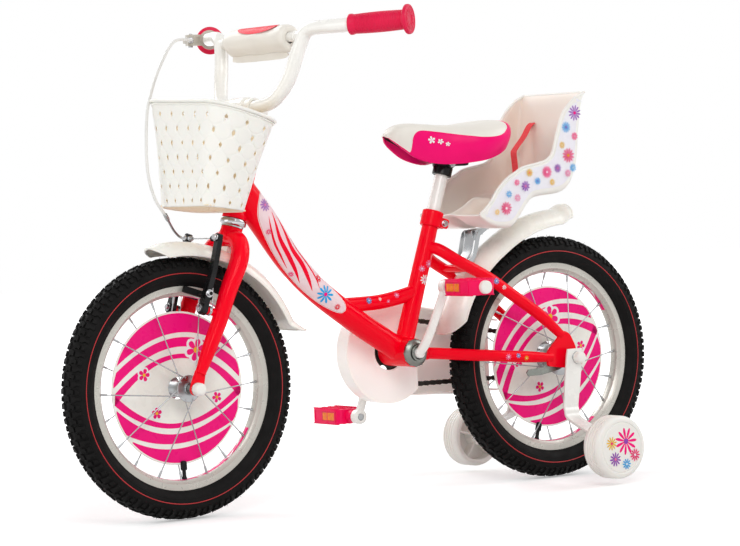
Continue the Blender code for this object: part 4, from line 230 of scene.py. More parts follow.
def finish(key, name, colour, rough, metallic=0.0, coat=0.0, coat_rough=0.06, vary=0.05,
           vary_scale=24.0, rough_vary=0.06, grain=0.0, grain_scale=900.0, soft=0.0,
           specular=0.5, second=None, wave=0.0, wave_scale=300.0, glow=0.0):
    """A shader whose colour, roughness and surface all vary with noise at real scales."""
    mat = bpy.data.materials.new(name)
    mat.use_nodes = True
    tree = mat.node_tree
    shader = tree.nodes["Principled BSDF"]
    other = second if second else [c * (1.0 - vary) for c in colour]
    large = noise(tree, vary_scale, 4.0)
    tree.links.new(tinted(tree, large, other, colour), shader.inputs["Base Color"])
    spread = noise(tree, 60.0, 3.0)
    level = ranged(tree, spread, max(0.02, rough - rough_vary), min(1.0, rough + rough_vary))
    tree.links.new(level, shader.inputs["Roughness"])
    shader.inputs["Metallic"].default_value = metallic
    shader.inputs["Specular IOR Level"].default_value = specular
    shader.inputs["Coat Weight"].default_value = coat
    shader.inputs["Coat Roughness"].default_value = coat_rough
    # glow makes the surface give off its own colour though it is no lamp: painted light
    if glow > 0:
        shader.inputs["Emission Color"].default_value = (*colour, 1.0)
        shader.inputs["Emission Strength"].default_value = glow
    if soft > 0:
        shader.inputs["Subsurface Weight"].default_value = soft
        shader.inputs["Subsurface Radius"].default_value = (1.0, 0.7, 0.5)
        shader.inputs["Subsurface Scale"].default_value = 0.002
    if grain > 0 or wave > 0:
        bump = tree.nodes.new("ShaderNodeBump")
        bump.inputs["Distance"].default_value = 0.001
        if wave > 0:
            bands = tree.nodes.new("ShaderNodeTexWave")
            bands.inputs["Scale"].default_value = wave_scale
            bands.inputs["Distortion"].default_value = 1.0
            tree.links.new(place_in_object(tree), bands.inputs["Vector"])
            bump.inputs["Strength"].default_value = wave
            tree.links.new(bands.outputs["Fac"], bump.inputs["Height"])
        else:
            bump.inputs["Strength"].default_value = grain
            tree.links.new(noise(tree, grain_scale, 4.0), bump.inputs["Height"])
        tree.links.new(bump.outputs[0], shader.inputs["Normal"])
    M[key] = mat


# Paint, mouldings and rubber
finish("red", "red_enamel", (1.0, 0.0004, 0.016), 0.14, coat=0.05, coat_rough=0.03, specular=0.06,
       vary_scale=9.0, rough_vary=0.03, grain=0.008, grain_scale=260.0)
finish("cream", "cream_enamel", (0.90, 0.885, 0.84), 0.26, coat=0.4, vary=0.03, grain=0.02,
       grain_scale=300.0)
finish("plastic", "cream_moulding", (0.90, 0.88, 0.83), 0.36, vary=0.03, soft=0.12, specular=0.35,
       grain=0.04, grain_scale=700.0)
# The basket's inner side and floor slats: beige with a faint glow, painted warm light and shade
# seen through the wall's gaps
finish("inside", "painted_light_moulding", (0.86, 0.74, 0.54), 0.45, vary=0.06, specular=0.2, grain=0.05,
       grain_scale=700.0, glow=0.08)
finish("basket", "ivory_moulding", (0.93, 0.915, 0.86), 0.40, vary=0.03, soft=0.10, specular=0.30,
       grain=0.03, grain_scale=700.0)
# The doll seat's inner side and ribs: a pinker blush in patches, painted warm shade on the inside
# of the shell
finish("shell", "painted_shade_moulding", (0.90, 0.85, 0.79), 0.34, soft=0.20, specular=0.35,
       vary_scale=7.0, second=(0.86, 0.74, 0.64), grain=0.03, grain_scale=700.0)
finish("fender", "cream_fender", (0.92, 0.895, 0.83), 0.28, coat=0.25, vary=0.03, soft=0.15,
       specular=0.4, grain=0.01, grain_scale=400.0)
# The chain guard glows faintly: painted fill light on a guard that sits in shade
finish("guard", "guard_moulding_painted_glow", (0.93, 0.90, 0.86), 0.36, vary=0.03, soft=0.12, specular=0.30,
       grain=0.03, grain_scale=700.0, glow=0.16)
finish("pink", "crimson_rubber", (0.77, 0.006, 0.065), 0.42, vary=0.10, soft=0.05, specular=0.25,
       grain=0.06, grain_scale=650.0)
finish("tread", "pink_moulding", (0.96, 0.002, 0.105), 0.34, vary=0.08, specular=0.2, grain=0.05,
       grain_scale=650.0)
finish("magenta", "magenta_vinyl", (0.96, 0.001, 0.170), 0.34, vary=0.06, specular=0.14,
       grain=0.12, grain_scale=1400.0)
finish("cream_vinyl", "cream_vinyl", (0.86, 0.82, 0.75), 0.42, coat=0.10, specular=0.3,
       grain=0.22, grain_scale=1400.0)
finish("black", "black_moulding", (0.010, 0.010, 0.0105), 0.38, vary=0.25, specular=0.15,
       grain=0.10, grain_scale=800.0)
finish("tyre", "tyre_rubber", (0.0085, 0.0080, 0.0078), 0.62, specular=0.08, vary=0.28,
       vary_scale=40.0, rough_vary=0.10, grain=0.14, grain_scale=1100.0)
finish("tyre_line", "tyre_red_line", (0.52, 0.012, 0.016), 0.52, vary=0.16, vary_scale=60.0,
       grain=0.10, grain_scale=1100.0)
finish("rubber", "pad_rubber", (0.011, 0.011, 0.011), 0.6, vary=0.2, specular=0.12, grain=0.12)
finish("strap", "woven_strap", (1.0, 0.085, 0.10), 0.6, vary=0.12, specular=0.2, vary_scale=400.0,
       wave=0.30, wave_scale=420.0)
finish("cable", "cable_cover", (0.78, 0.77, 0.74), 0.34, vary=0.08, grain=0.04)
# The reflectors glow faintly: painted reflected light
finish("amber", "amber_reflector_painted_glow", (1.0, 0.24, 0.004), 0.16, coat=0.2, vary=0.35, specular=0.2,
       vary_scale=180.0, wave=0.5, wave_scale=260.0, glow=0.12)
finish("lever", "grey_lever", (0.56, 0.52, 0.45), 0.34, vary=0.08, specular=0.3, grain=0.03,
       grain_scale=700.0)

# Metals
finish("chrome", "chrome_plate", (0.46, 0.46, 0.47), 0.12, metallic=1.0, vary=0.06,
       rough_vary=0.04, grain=0.01, grain_scale=500.0)
finish("steel", "zinc_steel", (0.40, 0.41, 0.42), 0.30, metallic=1.0, vary=0.16, rough_vary=0.08,
       grain=0.05)
finish("alloy", "brushed_alloy", (0.42, 0.42, 0.43), 0.32, metallic=1.0, vary=0.10,
       rough_vary=0.08, grain=0.05, grain_scale=1000.0)
finish("rim", "silver_rim", (0.54, 0.52, 0.47), 0.30, metallic=0.35, vary=0.08, rough_vary=0.07,
       grain=0.012)
finish("black_metal", "black_enamel", (0.008, 0.008, 0.0085), 0.26, coat=0.10, specular=0.15,
       vary=0.2, grain=0.03, grain_scale=500.0)
finish("dark_steel", "oiled_steel", (0.030, 0.027, 0.024), 0.46, metallic=0.5, specular=0.2,
       second=(0.055, 0.048, 0.040), vary_scale=120.0, rough_vary=0.1, grain=0.08)
finish("dull_steel", "dull_steel", (0.21, 0.22, 0.20), 0.30, metallic=1.0, vary=0.15,
       rough_vary=0.08, grain=0.03, grain_scale=700.0)

# Inks of the decals
for key, name, colour, rough, specular, vary in (
        ("white", "white_decal", (0.90, 0.89, 0.885), 0.24, 0.3, 0.03),
        ("d_pink", "pink_decal", (0.95, 0.005, 0.21), 0.30, 0.15, 0.05),
        ("d_rose", "rose_decal", (0.88, 0.22, 0.42), 0.24, 0.2, 0.06),
        ("d_yellow", "yellow_decal", (0.90, 0.52, 0.015), 0.24, 0.2, 0.07),
        ("d_red", "crimson_decal", (0.90, 0.002, 0.030), 0.34, 0.08, 0.05),
        ("d_purple", "purple_decal", (0.30, 0.06, 0.46), 0.24, 0.2, 0.08),
        ("d_blue", "blue_decal", (0.015, 0.38, 0.80), 0.24, 0.2, 0.08),
        ("d_magenta", "magenta_decal", (0.90, 0.003, 0.17), 0.24, 0.2, 0.08)):
    finish(key, name, colour, rough, specular=specular, vary=vary, grain=0.02)
finish("d_lilac", "lilac_decal", (0.86, 0.83, 0.90), 0.28, specular=0.3,
       second=(0.86, 0.855, 0.89), grain=0.02)
finish("d_blush", "blush_decal", (0.90, 0.60, 0.64), 0.30, specular=0.2,
       second=(0.88, 0.76, 0.78), vary_scale=22.0, grain=0.02)


# Making shapes
def smooth_route(points, per_span=6):
    """Points along a smooth curve through the given ones; extra values ride along."""
    rows = [tuple(p) for p in points]
    ends = [rows[0]] + rows + [rows[-1]]
    out = []
    for i in range(1, len(ends) - 2):
        a, b, c, d = ends[i - 1], ends[i], ends[i + 1], ends[i + 2]
        for k in range(per_span):
            t = k / per_span
            row = []
            for n in range(len(b)):
                first = 2 * b[n] + (c[n] - a[n]) * t
                second = (2 * a[n] - 5 * b[n] + 4 * c[n] - d[n]) * t * t
                third = (3 * b[n] - a[n] - 3 * c[n] + d[n]) * t * t * t
                row.append(0.5 * (first + second + third))
            out.append(tuple(row))
    out.append(rows[-1])
    return out


def frames(points):
    """A tangent and two steady cross directions at each point of a route."""
    out = []
    across = None
    for i in range(len(points)):
        before = Vector(points[max(i - 1, 0)][:3])
        after = Vector(points[min(i + 1, len(points) - 1)][:3])
        tangent = (after - before).normalized()
        if across is None:
            across = tangent.cross(UP)
            if across.length < 0.05:
                across = tangent.cross(Vector((1, 0, 0)))
        across = (across - tangent * across.dot(tangent)).normalized()
        out.append((tangent, across, tangent.cross(across)))
    return out


def around(count):
    """The angles of a whole turn in even steps."""
    return [2 * math.pi * k / count for k in range(count)]


def spaced(half, count):
    """Even places from -half to half."""
    return [-half + 2 * half * k / (count - 1) for k in range(count)]


def heading(rows, i):
    """The way that a route runs at one of its points."""
    return (Vector(rows[min(i + 1, len(rows) - 1)]) - Vector(rows[max(i - 1, 0)])).normalized()


def circle(radius, count=32, centre=(0.0, 0.0)):
    """A flat round outline."""
    return [(centre[0] + radius * math.cos(a), centre[1] + radius * math.sin(a))
            for a in around(count)]


def hexagon(radius):
    """A flat outline with six corners, for the heads of nuts and bolts."""
    return [(radius * math.cos(math.pi / 3 * k), radius * math.sin(math.pi / 3 * k))
            for k in range(6)]


def closed_route(points, per_span):
    """A smooth closed outline through 2D points."""
    rows = smooth_route([(x, y, 0) for x, y in points + points[:1]], per_span)
    return [row[:2] for row in rows[:-1]]


def mirrored(half):
    """A lathe profile from its outer half; the last point lies in the middle."""
    return half + [(r, -y) for r, y in reversed(half[:-1])]


FLAT_TO_SIDE = Matrix(((1, 0, 0, 0), (0, 0, -1, 0), (0, 1, 0, 0), (0, 0, 0, 1)))


def side_matrix(origin, y):
    """Places a flat outline upright in the side plane at y."""
    return Matrix.Translation((origin[0], y, origin[2])) @ FLAT_TO_SIDE


def aim_matrix(point, axis):
    """Places a shape at a point with its own upward direction along the axis."""
    turn = Vector(axis).normalized().to_track_quat("Z", "Y").to_matrix().to_4x4()
    return Matrix.Translation(point) @ turn


def fill_outlines(outlines):
    """Triangles that fill 2D loops; the first loop is the rim and the others are holes."""
    loops = [[Vector((x, y, 0)) for x, y in loop] for loop in outlines]
    flat = [p for loop in loops for p in loop]
    return flat, [tuple(t) for t in tessellate_polygon(loops)]


class Shape:
    """Gathers vertices and faces with a material number for each face."""

    def __init__(self):
        self.verts = []
        self.faces = []
        self.marks = []

    def add(self, verts, faces, mark=0, matrix=None):
        """Appends a mesh, moved by the matrix where one is given."""
        base = len(self.verts)
        for v in verts:
            self.verts.append(matrix @ Vector(v) if matrix is not None else Vector(v))
        for f in faces:
            self.faces.append(tuple(base + i for i in f))
            self.marks.append(mark)

    def sweep(self, rows, radius=None, segments=24, caps=True):
        """A tube along points, each of which may carry its own radius."""
        verts = []
        faces = []
        for row, (_, across, other) in zip(rows, frames(rows)):
            r = row[3] if len(row) > 3 else radius
            centre = Vector(row[:3])
            for a in around(segments):
                verts.append(centre + across * (math.cos(a) * r) + other * (math.sin(a) * r))
        for i in range(len(rows) - 1):
            for k in range(segments):
                n = (k + 1) % segments
                faces.append((i * segments + k, i * segments + n,
                              (i + 1) * segments + n, (i + 1) * segments + k))
        if caps:
            faces.append(tuple(reversed(range(segments))))
            last = (len(rows) - 1) * segments
            faces.append(tuple(range(last, last + segments)))
        self.add(verts, faces)

    def rod(self, start, end, radius, segments=24):
        """A straight round bar with flat ends."""
        self.sweep([start, end], radius, segments)

    def lathe(self, profile, point, axis, segments=64, closed=False):
        """Turns (radius, height) points round an axis; a closed profile makes a ring."""
        verts = [(r * math.cos(a), r * math.sin(a), h) for a in around(segments)
                 for r, h in profile]
        faces = []
        count = len(profile)
        for k in range(segments):
            n = (k + 1) % segments
            for i in range(count if closed else count - 1):
                j = (i + 1) % count
                faces.append((k * count + i, n * count + i, n * count + j, k * count + j))
        self.add(verts, faces, 0, aim_matrix(point, axis))

    def ring(self, profile, point, axis, segments=64):
        """A lathe whose profile is a closed loop."""
        self.lathe(profile, point, axis, segments, closed=True)

    def plate(self, outlines, thickness, matrix):
        """A flat plate; the first outline is its rim and the others are holes."""
        flat, tris = fill_outlines(outlines)
        count = len(flat)
        verts = [(p.x, p.y, thickness / 2) for p in flat]
        verts += [(p.x, p.y, -thickness / 2) for p in flat]
        faces = [tuple(t) for t in tris] + [tuple(count + i for i in reversed(t)) for t in tris]
        base = 0
        for loop in outlines:
            n = len(loop)
            for i in range(n):
                j = (i + 1) % n
                faces.append((base + i, base + j, count + base + j, count + base + i))
            base += n
        self.add(verts, faces, 0, matrix)

    def box(self, size, matrix, mark=0):
        """A box about its own middle, placed by the matrix."""
        x, y, z = (s / 2 for s in size)
        verts = [(a * x, b * y, c * z) for a in (-1, 1) for b in (-1, 1) for c in (-1, 1)]
        faces = [(0, 1, 3, 2), (4, 6, 7, 5), (0, 4, 5, 1), (2, 3, 7, 6), (0, 2, 6, 4), (1, 5, 7, 3)]
        self.add(verts, faces, mark, matrix)

    def loft(self, rings, caps=True, loop=True):
        """A skin over rings of points; caps close its ends and loop closes each ring."""
        verts = [p for ring in rings for p in ring]
        n = len(rings[0])
        faces = []
        for i in range(len(rings) - 1):
            for k in range(n if loop else n - 1):
                j = (k + 1) % n
                faces.append((i * n + k, i * n + j, (i + 1) * n + j, (i + 1) * n + k))
        if caps:
            faces.append(tuple(reversed(range(n))))
            faces.append(tuple(range((len(rings) - 1) * n, len(rings) * n)))
        self.add(verts, faces)


def piece(name, shape, mats, body, stands_for=(), angle=35, bevel=0.0, segments=2, levels=0,
          outward=True):
    """Makes an object of a gathered shape, smooths it, and puts it on its body.

    A body given as a tuple, of two bodies and two points, is not used: the piece is put on no body
    and its transform is only baked.
    """
    mesh = bpy.data.meshes.new(name)
    mesh.from_pydata([tuple(v) for v in shape.verts], [], shape.faces)
    for mat in (mats if isinstance(mats, (list, tuple)) else [mats]):
        mesh.materials.append(M[mat])
    mesh.polygons.foreach_set("material_index", shape.marks)
    work = bmesh.new()
    work.from_mesh(mesh)
    bmesh.ops.remove_doubles(work, verts=work.verts, dist=0.000002)
    if outward:
        bmesh.ops.recalc_face_normals(work, faces=work.faces)
    work.to_mesh(mesh)
    work.free()
    mesh.shade_smooth()
    mesh.set_sharp_from_angle(angle=math.radians(angle))
    obj = bpy.data.objects.new(name, mesh)
    SCENE.collection.objects.link(obj)
    if bevel > 0:
        mod = obj.modifiers.new("edges", "BEVEL")
        mod.width = bevel
        mod.segments = segments
        mod.limit_method = "ANGLE"
        mod.angle_limit = math.radians(40)
        mod.harden_normals = True
    if levels > 0:
        mod = obj.modifiers.new("fine", "SUBSURF")
        mod.levels = levels
        mod.render_levels = levels
    if isinstance(body, tuple):
        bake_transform(obj)
    else:
        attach(obj, body)
    if stands_for:
        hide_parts(*stands_for)
    return obj


def thicken(obj, thickness, offset):
    """Gives a skin its wall, inside it where offset is -1 and to both sides where it is 0."""
    mod = obj.modifiers.new("wall", "SOLIDIFY")
    mod.thickness = thickness
    mod.offset = offset
    return mod


# Decals: thin filled outlines laid on a surface
def petals(count, reach, width, centre=(0.0, 0.0), turn=0.0, points=14):
    """The outlines of a flower's petals, each a rounded drop leaving the centre."""
    out = []
    for a in [turn + angle for angle in around(count)]:
        loop = []
        for t in around(points):
            along = reach * (0.54 + 0.46 * math.cos(t))
            side = width * math.sin(t) * (0.75 + 0.35 * math.cos(t))
            loop.append((centre[0] + along * math.cos(a) - side * math.sin(a),
                         centre[1] + along * math.sin(a) + side * math.cos(a)))
        out.append(loop)
    return out


def scallop(count, reach, centre=(0.0, 0.0), turn=0.0, depth=0.24, points=48):
    """A flower's whole outline in one loop."""
    out = []
    for a in around(points):
        r = reach * (1 - depth + depth * abs(math.cos(count * (a - turn) / 2)) ** 0.7)
        out.append((centre[0] + r * math.cos(a), centre[1] + r * math.sin(a)))
    return out


def daisy(u, v, reach, turn, colour, middle="white", count=11):
    """Two layers of a printed flower: its petals and its middle."""
    return [(petals(count, reach, reach * 1.45 / count, (u, v), turn, 12), colour),
            ([circle(reach * 0.20, 16, (u, v))], middle)]


def stroke(points):
    """A smooth band that swells and tapers along points of (u, v, half width)."""
    rows = smooth_route(points, 7)
    low, high = [], []
    for i, (u, v, wide) in enumerate(rows):
        before, after = rows[max(i - 1, 0)], rows[min(i + 1, len(rows) - 1)]
        du, dv = after[0] - before[0], after[1] - before[1]
        size = max(1e-9, math.hypot(du, dv))
        low.append((u + dv / size * wide, v - du / size * wide))
        high.append((u - dv / size * wide, v + du / size * wide))
    return low + high[::-1]


def inset(loop, depth):
    """The loop moved inwards by depth; it runs against the clock."""
    out = []
    for i, (u, v) in enumerate(loop):
        before, after = loop[i - 1], loop[(i + 1) % len(loop)]
        du, dv = after[0] - before[0], after[1] - before[1]
        size = max(1e-9, math.hypot(du, dv))
        out.append((u - dv / size * depth, v + du / size * depth))
    return out


def lay(shape, loop, surface, lift, mark, grid=0.004):
    """Fills a 2D loop with small triangles and lays them on surface(u, v, lift)."""
    rim = []
    for i, (x, y) in enumerate(loop):
        nx, ny = loop[(i + 1) % len(loop)]
        steps = max(1, int(math.hypot(nx - x, ny - y) / grid + 0.5))
        for k in range(steps):
            rim.append((x + (nx - x) * k / steps, y + (ny - y) * k / steps))
    count = len(rim)
    points = [Vector(p) for p in rim]
    low = (min(p[0] for p in rim), min(p[1] for p in rim))
    high = (max(p[0] for p in rim), max(p[1] for p in rim))
    columns = int((high[0] - low[0]) / grid)
    rows = int((high[1] - low[1]) / grid)
    for i in range(1, columns + 1):
        for j in range(1, rows + 1):
            points.append(Vector((low[0] + i * grid * 0.999, low[1] + j * grid * 0.999)))
    edges = [(i, (i + 1) % count) for i in range(count)]
    done = delaunay_2d_cdt(points, edges, [list(range(count))], 1, 1e-7)
    shape.add([surface(v.x, v.y, lift) for v in done[0]], done[2], mark)


def sticker(name, layers, surface, body, grid=0.004, lift=0.00015, step=0.00012):
    """layers is a list of (loops, material); each lies a little above the one before."""
    shape = Shape()
    mats = []
    for level, (loops, mat) in enumerate(layers):
        if mat not in mats:
            mats.append(mat)
        for loop in loops:
            lay(shape, loop, surface, lift + step * level, mats.index(mat), grid)
    piece(name, shape, mats, body, angle=60, outward=False)


# Wheels
RIM_R = 0.157
TYRE_CASING = (
    (0.0, 0.1996, 0.0), (0.16, 0.1990, 0.0075), (0.30, 0.1965, 0.0138), (0.44, 0.1915, 0.0192),
    (0.58, 0.1842, 0.0228), (0.72, 0.1760, 0.0238), (0.86, 0.1660, 0.0205), (1.0, 0.1560, 0.0118))
TREAD_PITCHES = 54
# Each block's height, then its corners as shares of a pitch and of the half section
TREAD_BLOCKS = (
    (0.0028, ((-0.34, 0.03), (0.06, 0.03), (0.20, 0.13), (0.06, 0.22), (-0.30, 0.22),
              (-0.20, 0.12))),
    (0.0030, ((0.22, 0.19), (0.52, 0.17), (0.60, 0.27), (0.50, 0.36), (0.20, 0.35), (0.30, 0.27))),
    (0.0030, ((-0.30, 0.26), (0.06, 0.26), (0.10, 0.36), (0.02, 0.44), (0.06, 0.56),
              (-0.24, 0.55), (-0.18, 0.44), (-0.32, 0.36))),
    (0.0026, ((0.18, 0.40), (0.56, 0.40), (0.50, 0.49), (0.44, 0.51), (0.22, 0.50))))


def tyre_section(t):
    """A point of the casing as (radius, out); t runs from -1 at one bead to 1 at the other."""
    s = abs(t)
    for (a, ra, ya), (b, rb, yb) in zip(TYRE_CASING, TYRE_CASING[1:]):
        if s <= b:
            k = max(0.0, min(1.0, (s - a) / (b - a)))
            return ra + (rb - ra) * k, math.copysign(ya + (yb - ya) * k, t)
    return TYRE_CASING[-1][1], math.copysign(TYRE_CASING[-1][2], t)


def smooth_section(t):
    """The rounded casing's point at t, and its outward direction there."""
    near = 0.03
    r0, y0 = tyre_section(max(-1.0, t - near))
    r1, y1 = tyre_section(min(1.0, t + near))
    r, y = tyre_section(t)
    length = math.hypot(r1 - r0, y1 - y0)
    normal = ((y1 - y0) / length, -(r1 - r0) / length)
    return (r * 2 + r0 + r1) / 4, (y * 2 + y0 + y1) / 4, normal


def on_tyre(axle, angle, t, lift):
    """A place on the casing at an angle round the axle, lifted off its surface."""
    r, y, normal = smooth_section(t)
    r += normal[0] * lift
    y += normal[1] * lift
    return Vector((axle.x + r * math.cos(angle), y, axle.z + r * math.sin(angle)))


def knob(shape, axle, outline, height):
    """A tread block: an outline in (turn, section) raised from the casing, narrower on top."""
    middle = [sum(p[i] for p in outline) / len(outline) for i in range(2)]
    taper = 0.86
    verts = [on_tyre(axle, a, t, -0.0006) for a, t in outline]
    verts += [on_tyre(axle, middle[0] + (a - middle[0]) * taper,
                      middle[1] + (t - middle[1]) * taper, height) for a, t in outline]
    n = len(outline)
    faces = [tuple(range(n, 2 * n))]
    for i in range(n):
        j = (i + 1) % n
        faces.append((i, j, n + j, n + i))
    shape.add(verts, faces)


def raised_band(side, start, width, steps, height, lift=0.0):
    """The section of a low ridge that runs once round the casing."""
    band = []
    for k in range(steps + 1):
        r, y, normal = smooth_section(side * (start + width * k / steps))
        rise = height * math.sin(math.pi * k / steps) + lift
        band.append((r + normal[0] * rise, y + normal[1] * rise))
    return band


def make_tyre(name, axle, body, seed):
    """The casing with its tread blocks, the coloured line, moulded hairs and low ridges."""
    rows = 160
    shape = Shape()
    shape.lathe([smooth_section(-1 + 2 * k / 40)[:2] for k in range(41)], axle, SIDE, rows)
    step = 2 * math.pi / TREAD_PITCHES
    for i in range(TREAD_PITCHES):
        for side in (1, -1):
            turn = i * step + (0.0 if side > 0 else step / 2)
            for height, block in TREAD_BLOCKS:
                knob(shape, axle, [(turn + step * a, side * t) for a, t in block], height)
    piece(name, shape, "tyre", body, (name,), angle=32)
    line = Shape()
    beads = Shape()
    for side in (1, -1):
        line.lathe(raised_band(side, 0.6875, 0.022, 8, 0.00045, 0.0001), axle, SIDE, rows)
        for start in (0.80, 0.94):
            beads.lathe(raised_band(side, start, 0.014, 6, 0.0004), axle, SIDE, rows)
    piece(name + "_line", line, "tyre_line", body, angle=50)
    hairs = Shape()
    chance = random.Random(seed)
    for i in range(150):
        a = chance.uniform(0, 2 * math.pi)
        t = chance.choice((-1, 1)) * chance.uniform(0.02, 0.54)
        foot = on_tyre(axle, a, t, 0.0022)
        tip = on_tyre(axle, a + chance.uniform(-0.006, 0.006), t,
                      0.0022 + chance.uniform(0.0018, 0.0042))
        hairs.sweep([(*foot, 0.00034), (*tip, 0.00018)], segments=5)
    piece(name + "_vents", hairs, "tyre", body)
    piece(name + "_beads", beads, "tyre", body, angle=50)


def make_rim(name, axle, body):
    """A deep box rim with hooked edges and a well for the tyre."""
    shape = Shape()
    half = [(RIM_R + 0.0012, 0.0124), (RIM_R + 0.0016, 0.0118), (RIM_R - 0.0004, 0.0112)]
    outer = [(RIM_R + 0.0012, 0.0128), (RIM_R - 0.0006, 0.0132), (RIM_R - 0.0090, 0.0128),
             (RIM_R - 0.0096, 0.0122), (RIM_R - 0.0106, 0.0108), (RIM_R - 0.0142, 0.0078),
             (RIM_R - 0.0152, 0.0040), (RIM_R - 0.0155, 0.0)]
    profile = mirrored(half[::-1] + outer)
    well = [(RIM_R - 0.0060, -0.0098), (RIM_R - 0.0095, -0.004), (RIM_R - 0.0095, 0.004),
            (RIM_R - 0.0060, 0.0098)]
    shape.ring(profile + well, axle, SIDE, 128)
    piece(name, shape, "rim", body, (name,), angle=30)


def ribbon(low, high, radius, count=60):
    """The outline between two curves of x, kept inside a disc of the given radius."""
    tops = []
    lows = []
    for k in range(count + 1):
        x = radius * (-1 + 2 * k / count) * 0.9995
        limit = math.sqrt(max(0.0, radius * radius - x * x))
        a = max(low(x), -limit)
        b = min(high(x), limit)
        if b > a + 0.0002:
            tops.append((x, b))
            lows.append((x, a))
    return lows + tops[::-1]


DISC_Y = -0.003
DISC_R = 0.118
# Each swoosh's bend and height, first of its lower and then of its upper edge
DISC_SWOOSHES = ((-0.42, 0.086, -0.30, 0.125), (-0.50, 0.064, -0.44, 0.0785),
                 (-0.62, 0.046, -0.50, 0.0530), (0.40, -0.062, 0.47, -0.0545),
                 (0.30, -0.086, 0.44, -0.071), (0.20, -0.130, 0.34, -0.094))
# Petals, outline's reach, petals' reach and width, place, turn, middle's radius and corners
DISC_FLOWERS = ((6, 0.0215, 0.0175, 0.0058, (0.030, 0.060), 0.3, 0.0046, 16),
                (5, 0.0125, 0.0100, 0.0040, (-0.062, 0.018), 0.1, 0.0026, 12),
                (5, 0.0110, 0.0086, 0.0035, (0.072, -0.012), 0.8, 0.0024, 12),
                (5, 0.0115, 0.0090, 0.0037, (-0.036, -0.040), 0.4, 0.0024, 12))


def make_disc(name, axle, body, barrel, turn):
    """The printed disc between the spokes; barrel is the radius of the hub in its middle."""
    shape = Shape()
    shape.ring([(DISC_R, 0.0010), (DISC_R + 0.0006, 0.0), (DISC_R, -0.0010),
                (barrel + 0.006, -0.0008), (barrel + 0.0045, 0.0), (barrel + 0.006, 0.0008)],
               axle + SIDE * DISC_Y, SIDE, 96)
    piece(name, shape, "fender", body, (name,), angle=50)
    reach = DISC_R - 0.0025

    def curve(bend, height):
        return lambda x: height + bend * x * x / reach + 0.10 * x

    swooshes = [ribbon(curve(a, b), curve(c, d), reach) for a, b, c, d in DISC_SWOOSHES]
    outlines, leaves, middles = [], [], []
    for count, outer, inner, width, place, lean, size, corners in DISC_FLOWERS:
        outlines.append(scallop(count, outer, place, lean))
        leaves.append(petals(count, inner, width, place, lean))
        middles.append(circle(size, corners, place))
    layers = [(swooshes, "d_pink"), (outlines, "white"), (leaves[0] + leaves[2], "d_pink"),
              (leaves[1] + leaves[3], "d_magenta"), (middles, "d_yellow")]
    for label, flip in (("left", math.pi), ("right", 0.0)):
        face = (side_matrix(axle, DISC_Y) @ Matrix.Rotation(turn, 4, "Z")
                @ Matrix.Rotation(flip, 4, "Y"))
        sticker(name + "_print_" + label, layers,
                lambda u, v, lift: face @ Vector((u, v, lift)), body, grid=0.02, lift=0.00112)


def make_spokes(name, axle, body, flange, width):
    """Twenty crossed spokes, each with a bent head in the flange and a nipple in the rim."""
    shape = Shape()
    count = 20
    root = flange - 0.0035
    reach = RIM_R - 0.0156
    middle = width / 2 - 0.0055
    for i in range(count):
        side = 1 if i % 2 == 0 else -1
        lead = 1 if (i // 2) % 2 == 0 else -1
        rim_angle = 2 * math.pi * i / count
        hub_angle = rim_angle - lead * math.radians(38)
        start = Vector((root * math.cos(hub_angle), side * (middle + lead * 0.0022),
                        root * math.sin(hub_angle))) + axle
        end = Vector((reach * math.cos(rim_angle), side * 0.002,
                      reach * math.sin(rim_angle))) + axle
        shape.rod(start, end, 0.00095, 8)
        back = start - SIDE * (side * lead * 0.0046)
        head = [(0.0, 0.0017), (0.0008, 0.0017), (0.0010, 0.00095)]
        shape.sweep([(*(back + SIDE * (side * lead * out)), r) for out, r in head]
                    + [(*start, 0.00095)], segments=8)
        along = (end - start).normalized()
        nipple = [(-0.0120, 0.0013), (-0.0105, 0.0017), (-0.002, 0.0019), (0.001, 0.0024)]
        shape.sweep([(*(end + along * up), r) for up, r in nipple], segments=8)
    piece(name, shape, "steel", body, angle=50)


def make_hub(name, axle, body, half, flange, profile):
    """A hub and its spokes; profile gives (radius, distance inwards from the flange's face)."""
    shape = Shape()
    face = half - 0.004
    shape.ring(mirrored([(r, face - depth) for r, depth in profile[:-1]] + [(profile[-1], 0.0)]),
               axle, SIDE)
    piece(name + "_hub", shape, "steel", body, (name + "_hub",), angle=40)
    make_spokes(name + "_spokes", axle, body, flange, half * 2)


def make_valve(name, axle, body, toward):
    """A valve stem with a ribbed cap, on the rim's side that faces the given point."""
    out = (Vector(toward) - axle).normalized()
    shape = Shape()
    base = axle + out * (RIM_R - 0.014)
    table = ((-0.002, 0.0040), (0.004, 0.0040), (0.006, 0.0031), (0.0155, 0.0030),
             (0.0157, 0.0043), (0.0165, 0.0046), (0.0285, 0.0046), (0.0300, 0.0036),
             (0.0305, 0.0015))
    shape.sweep([(*(base - out * depth), r) for depth, r in table], segments=20)
    across = out.cross(SIDE)
    for a in around(10):
        rib = across * math.cos(a) * 0.0046 + SIDE * math.sin(a) * 0.0046
        shape.rod(base - out * 0.0170 + rib, base - out * 0.0280 + rib, 0.0005, 6)
    piece(name, shape, "black", body, angle=40)


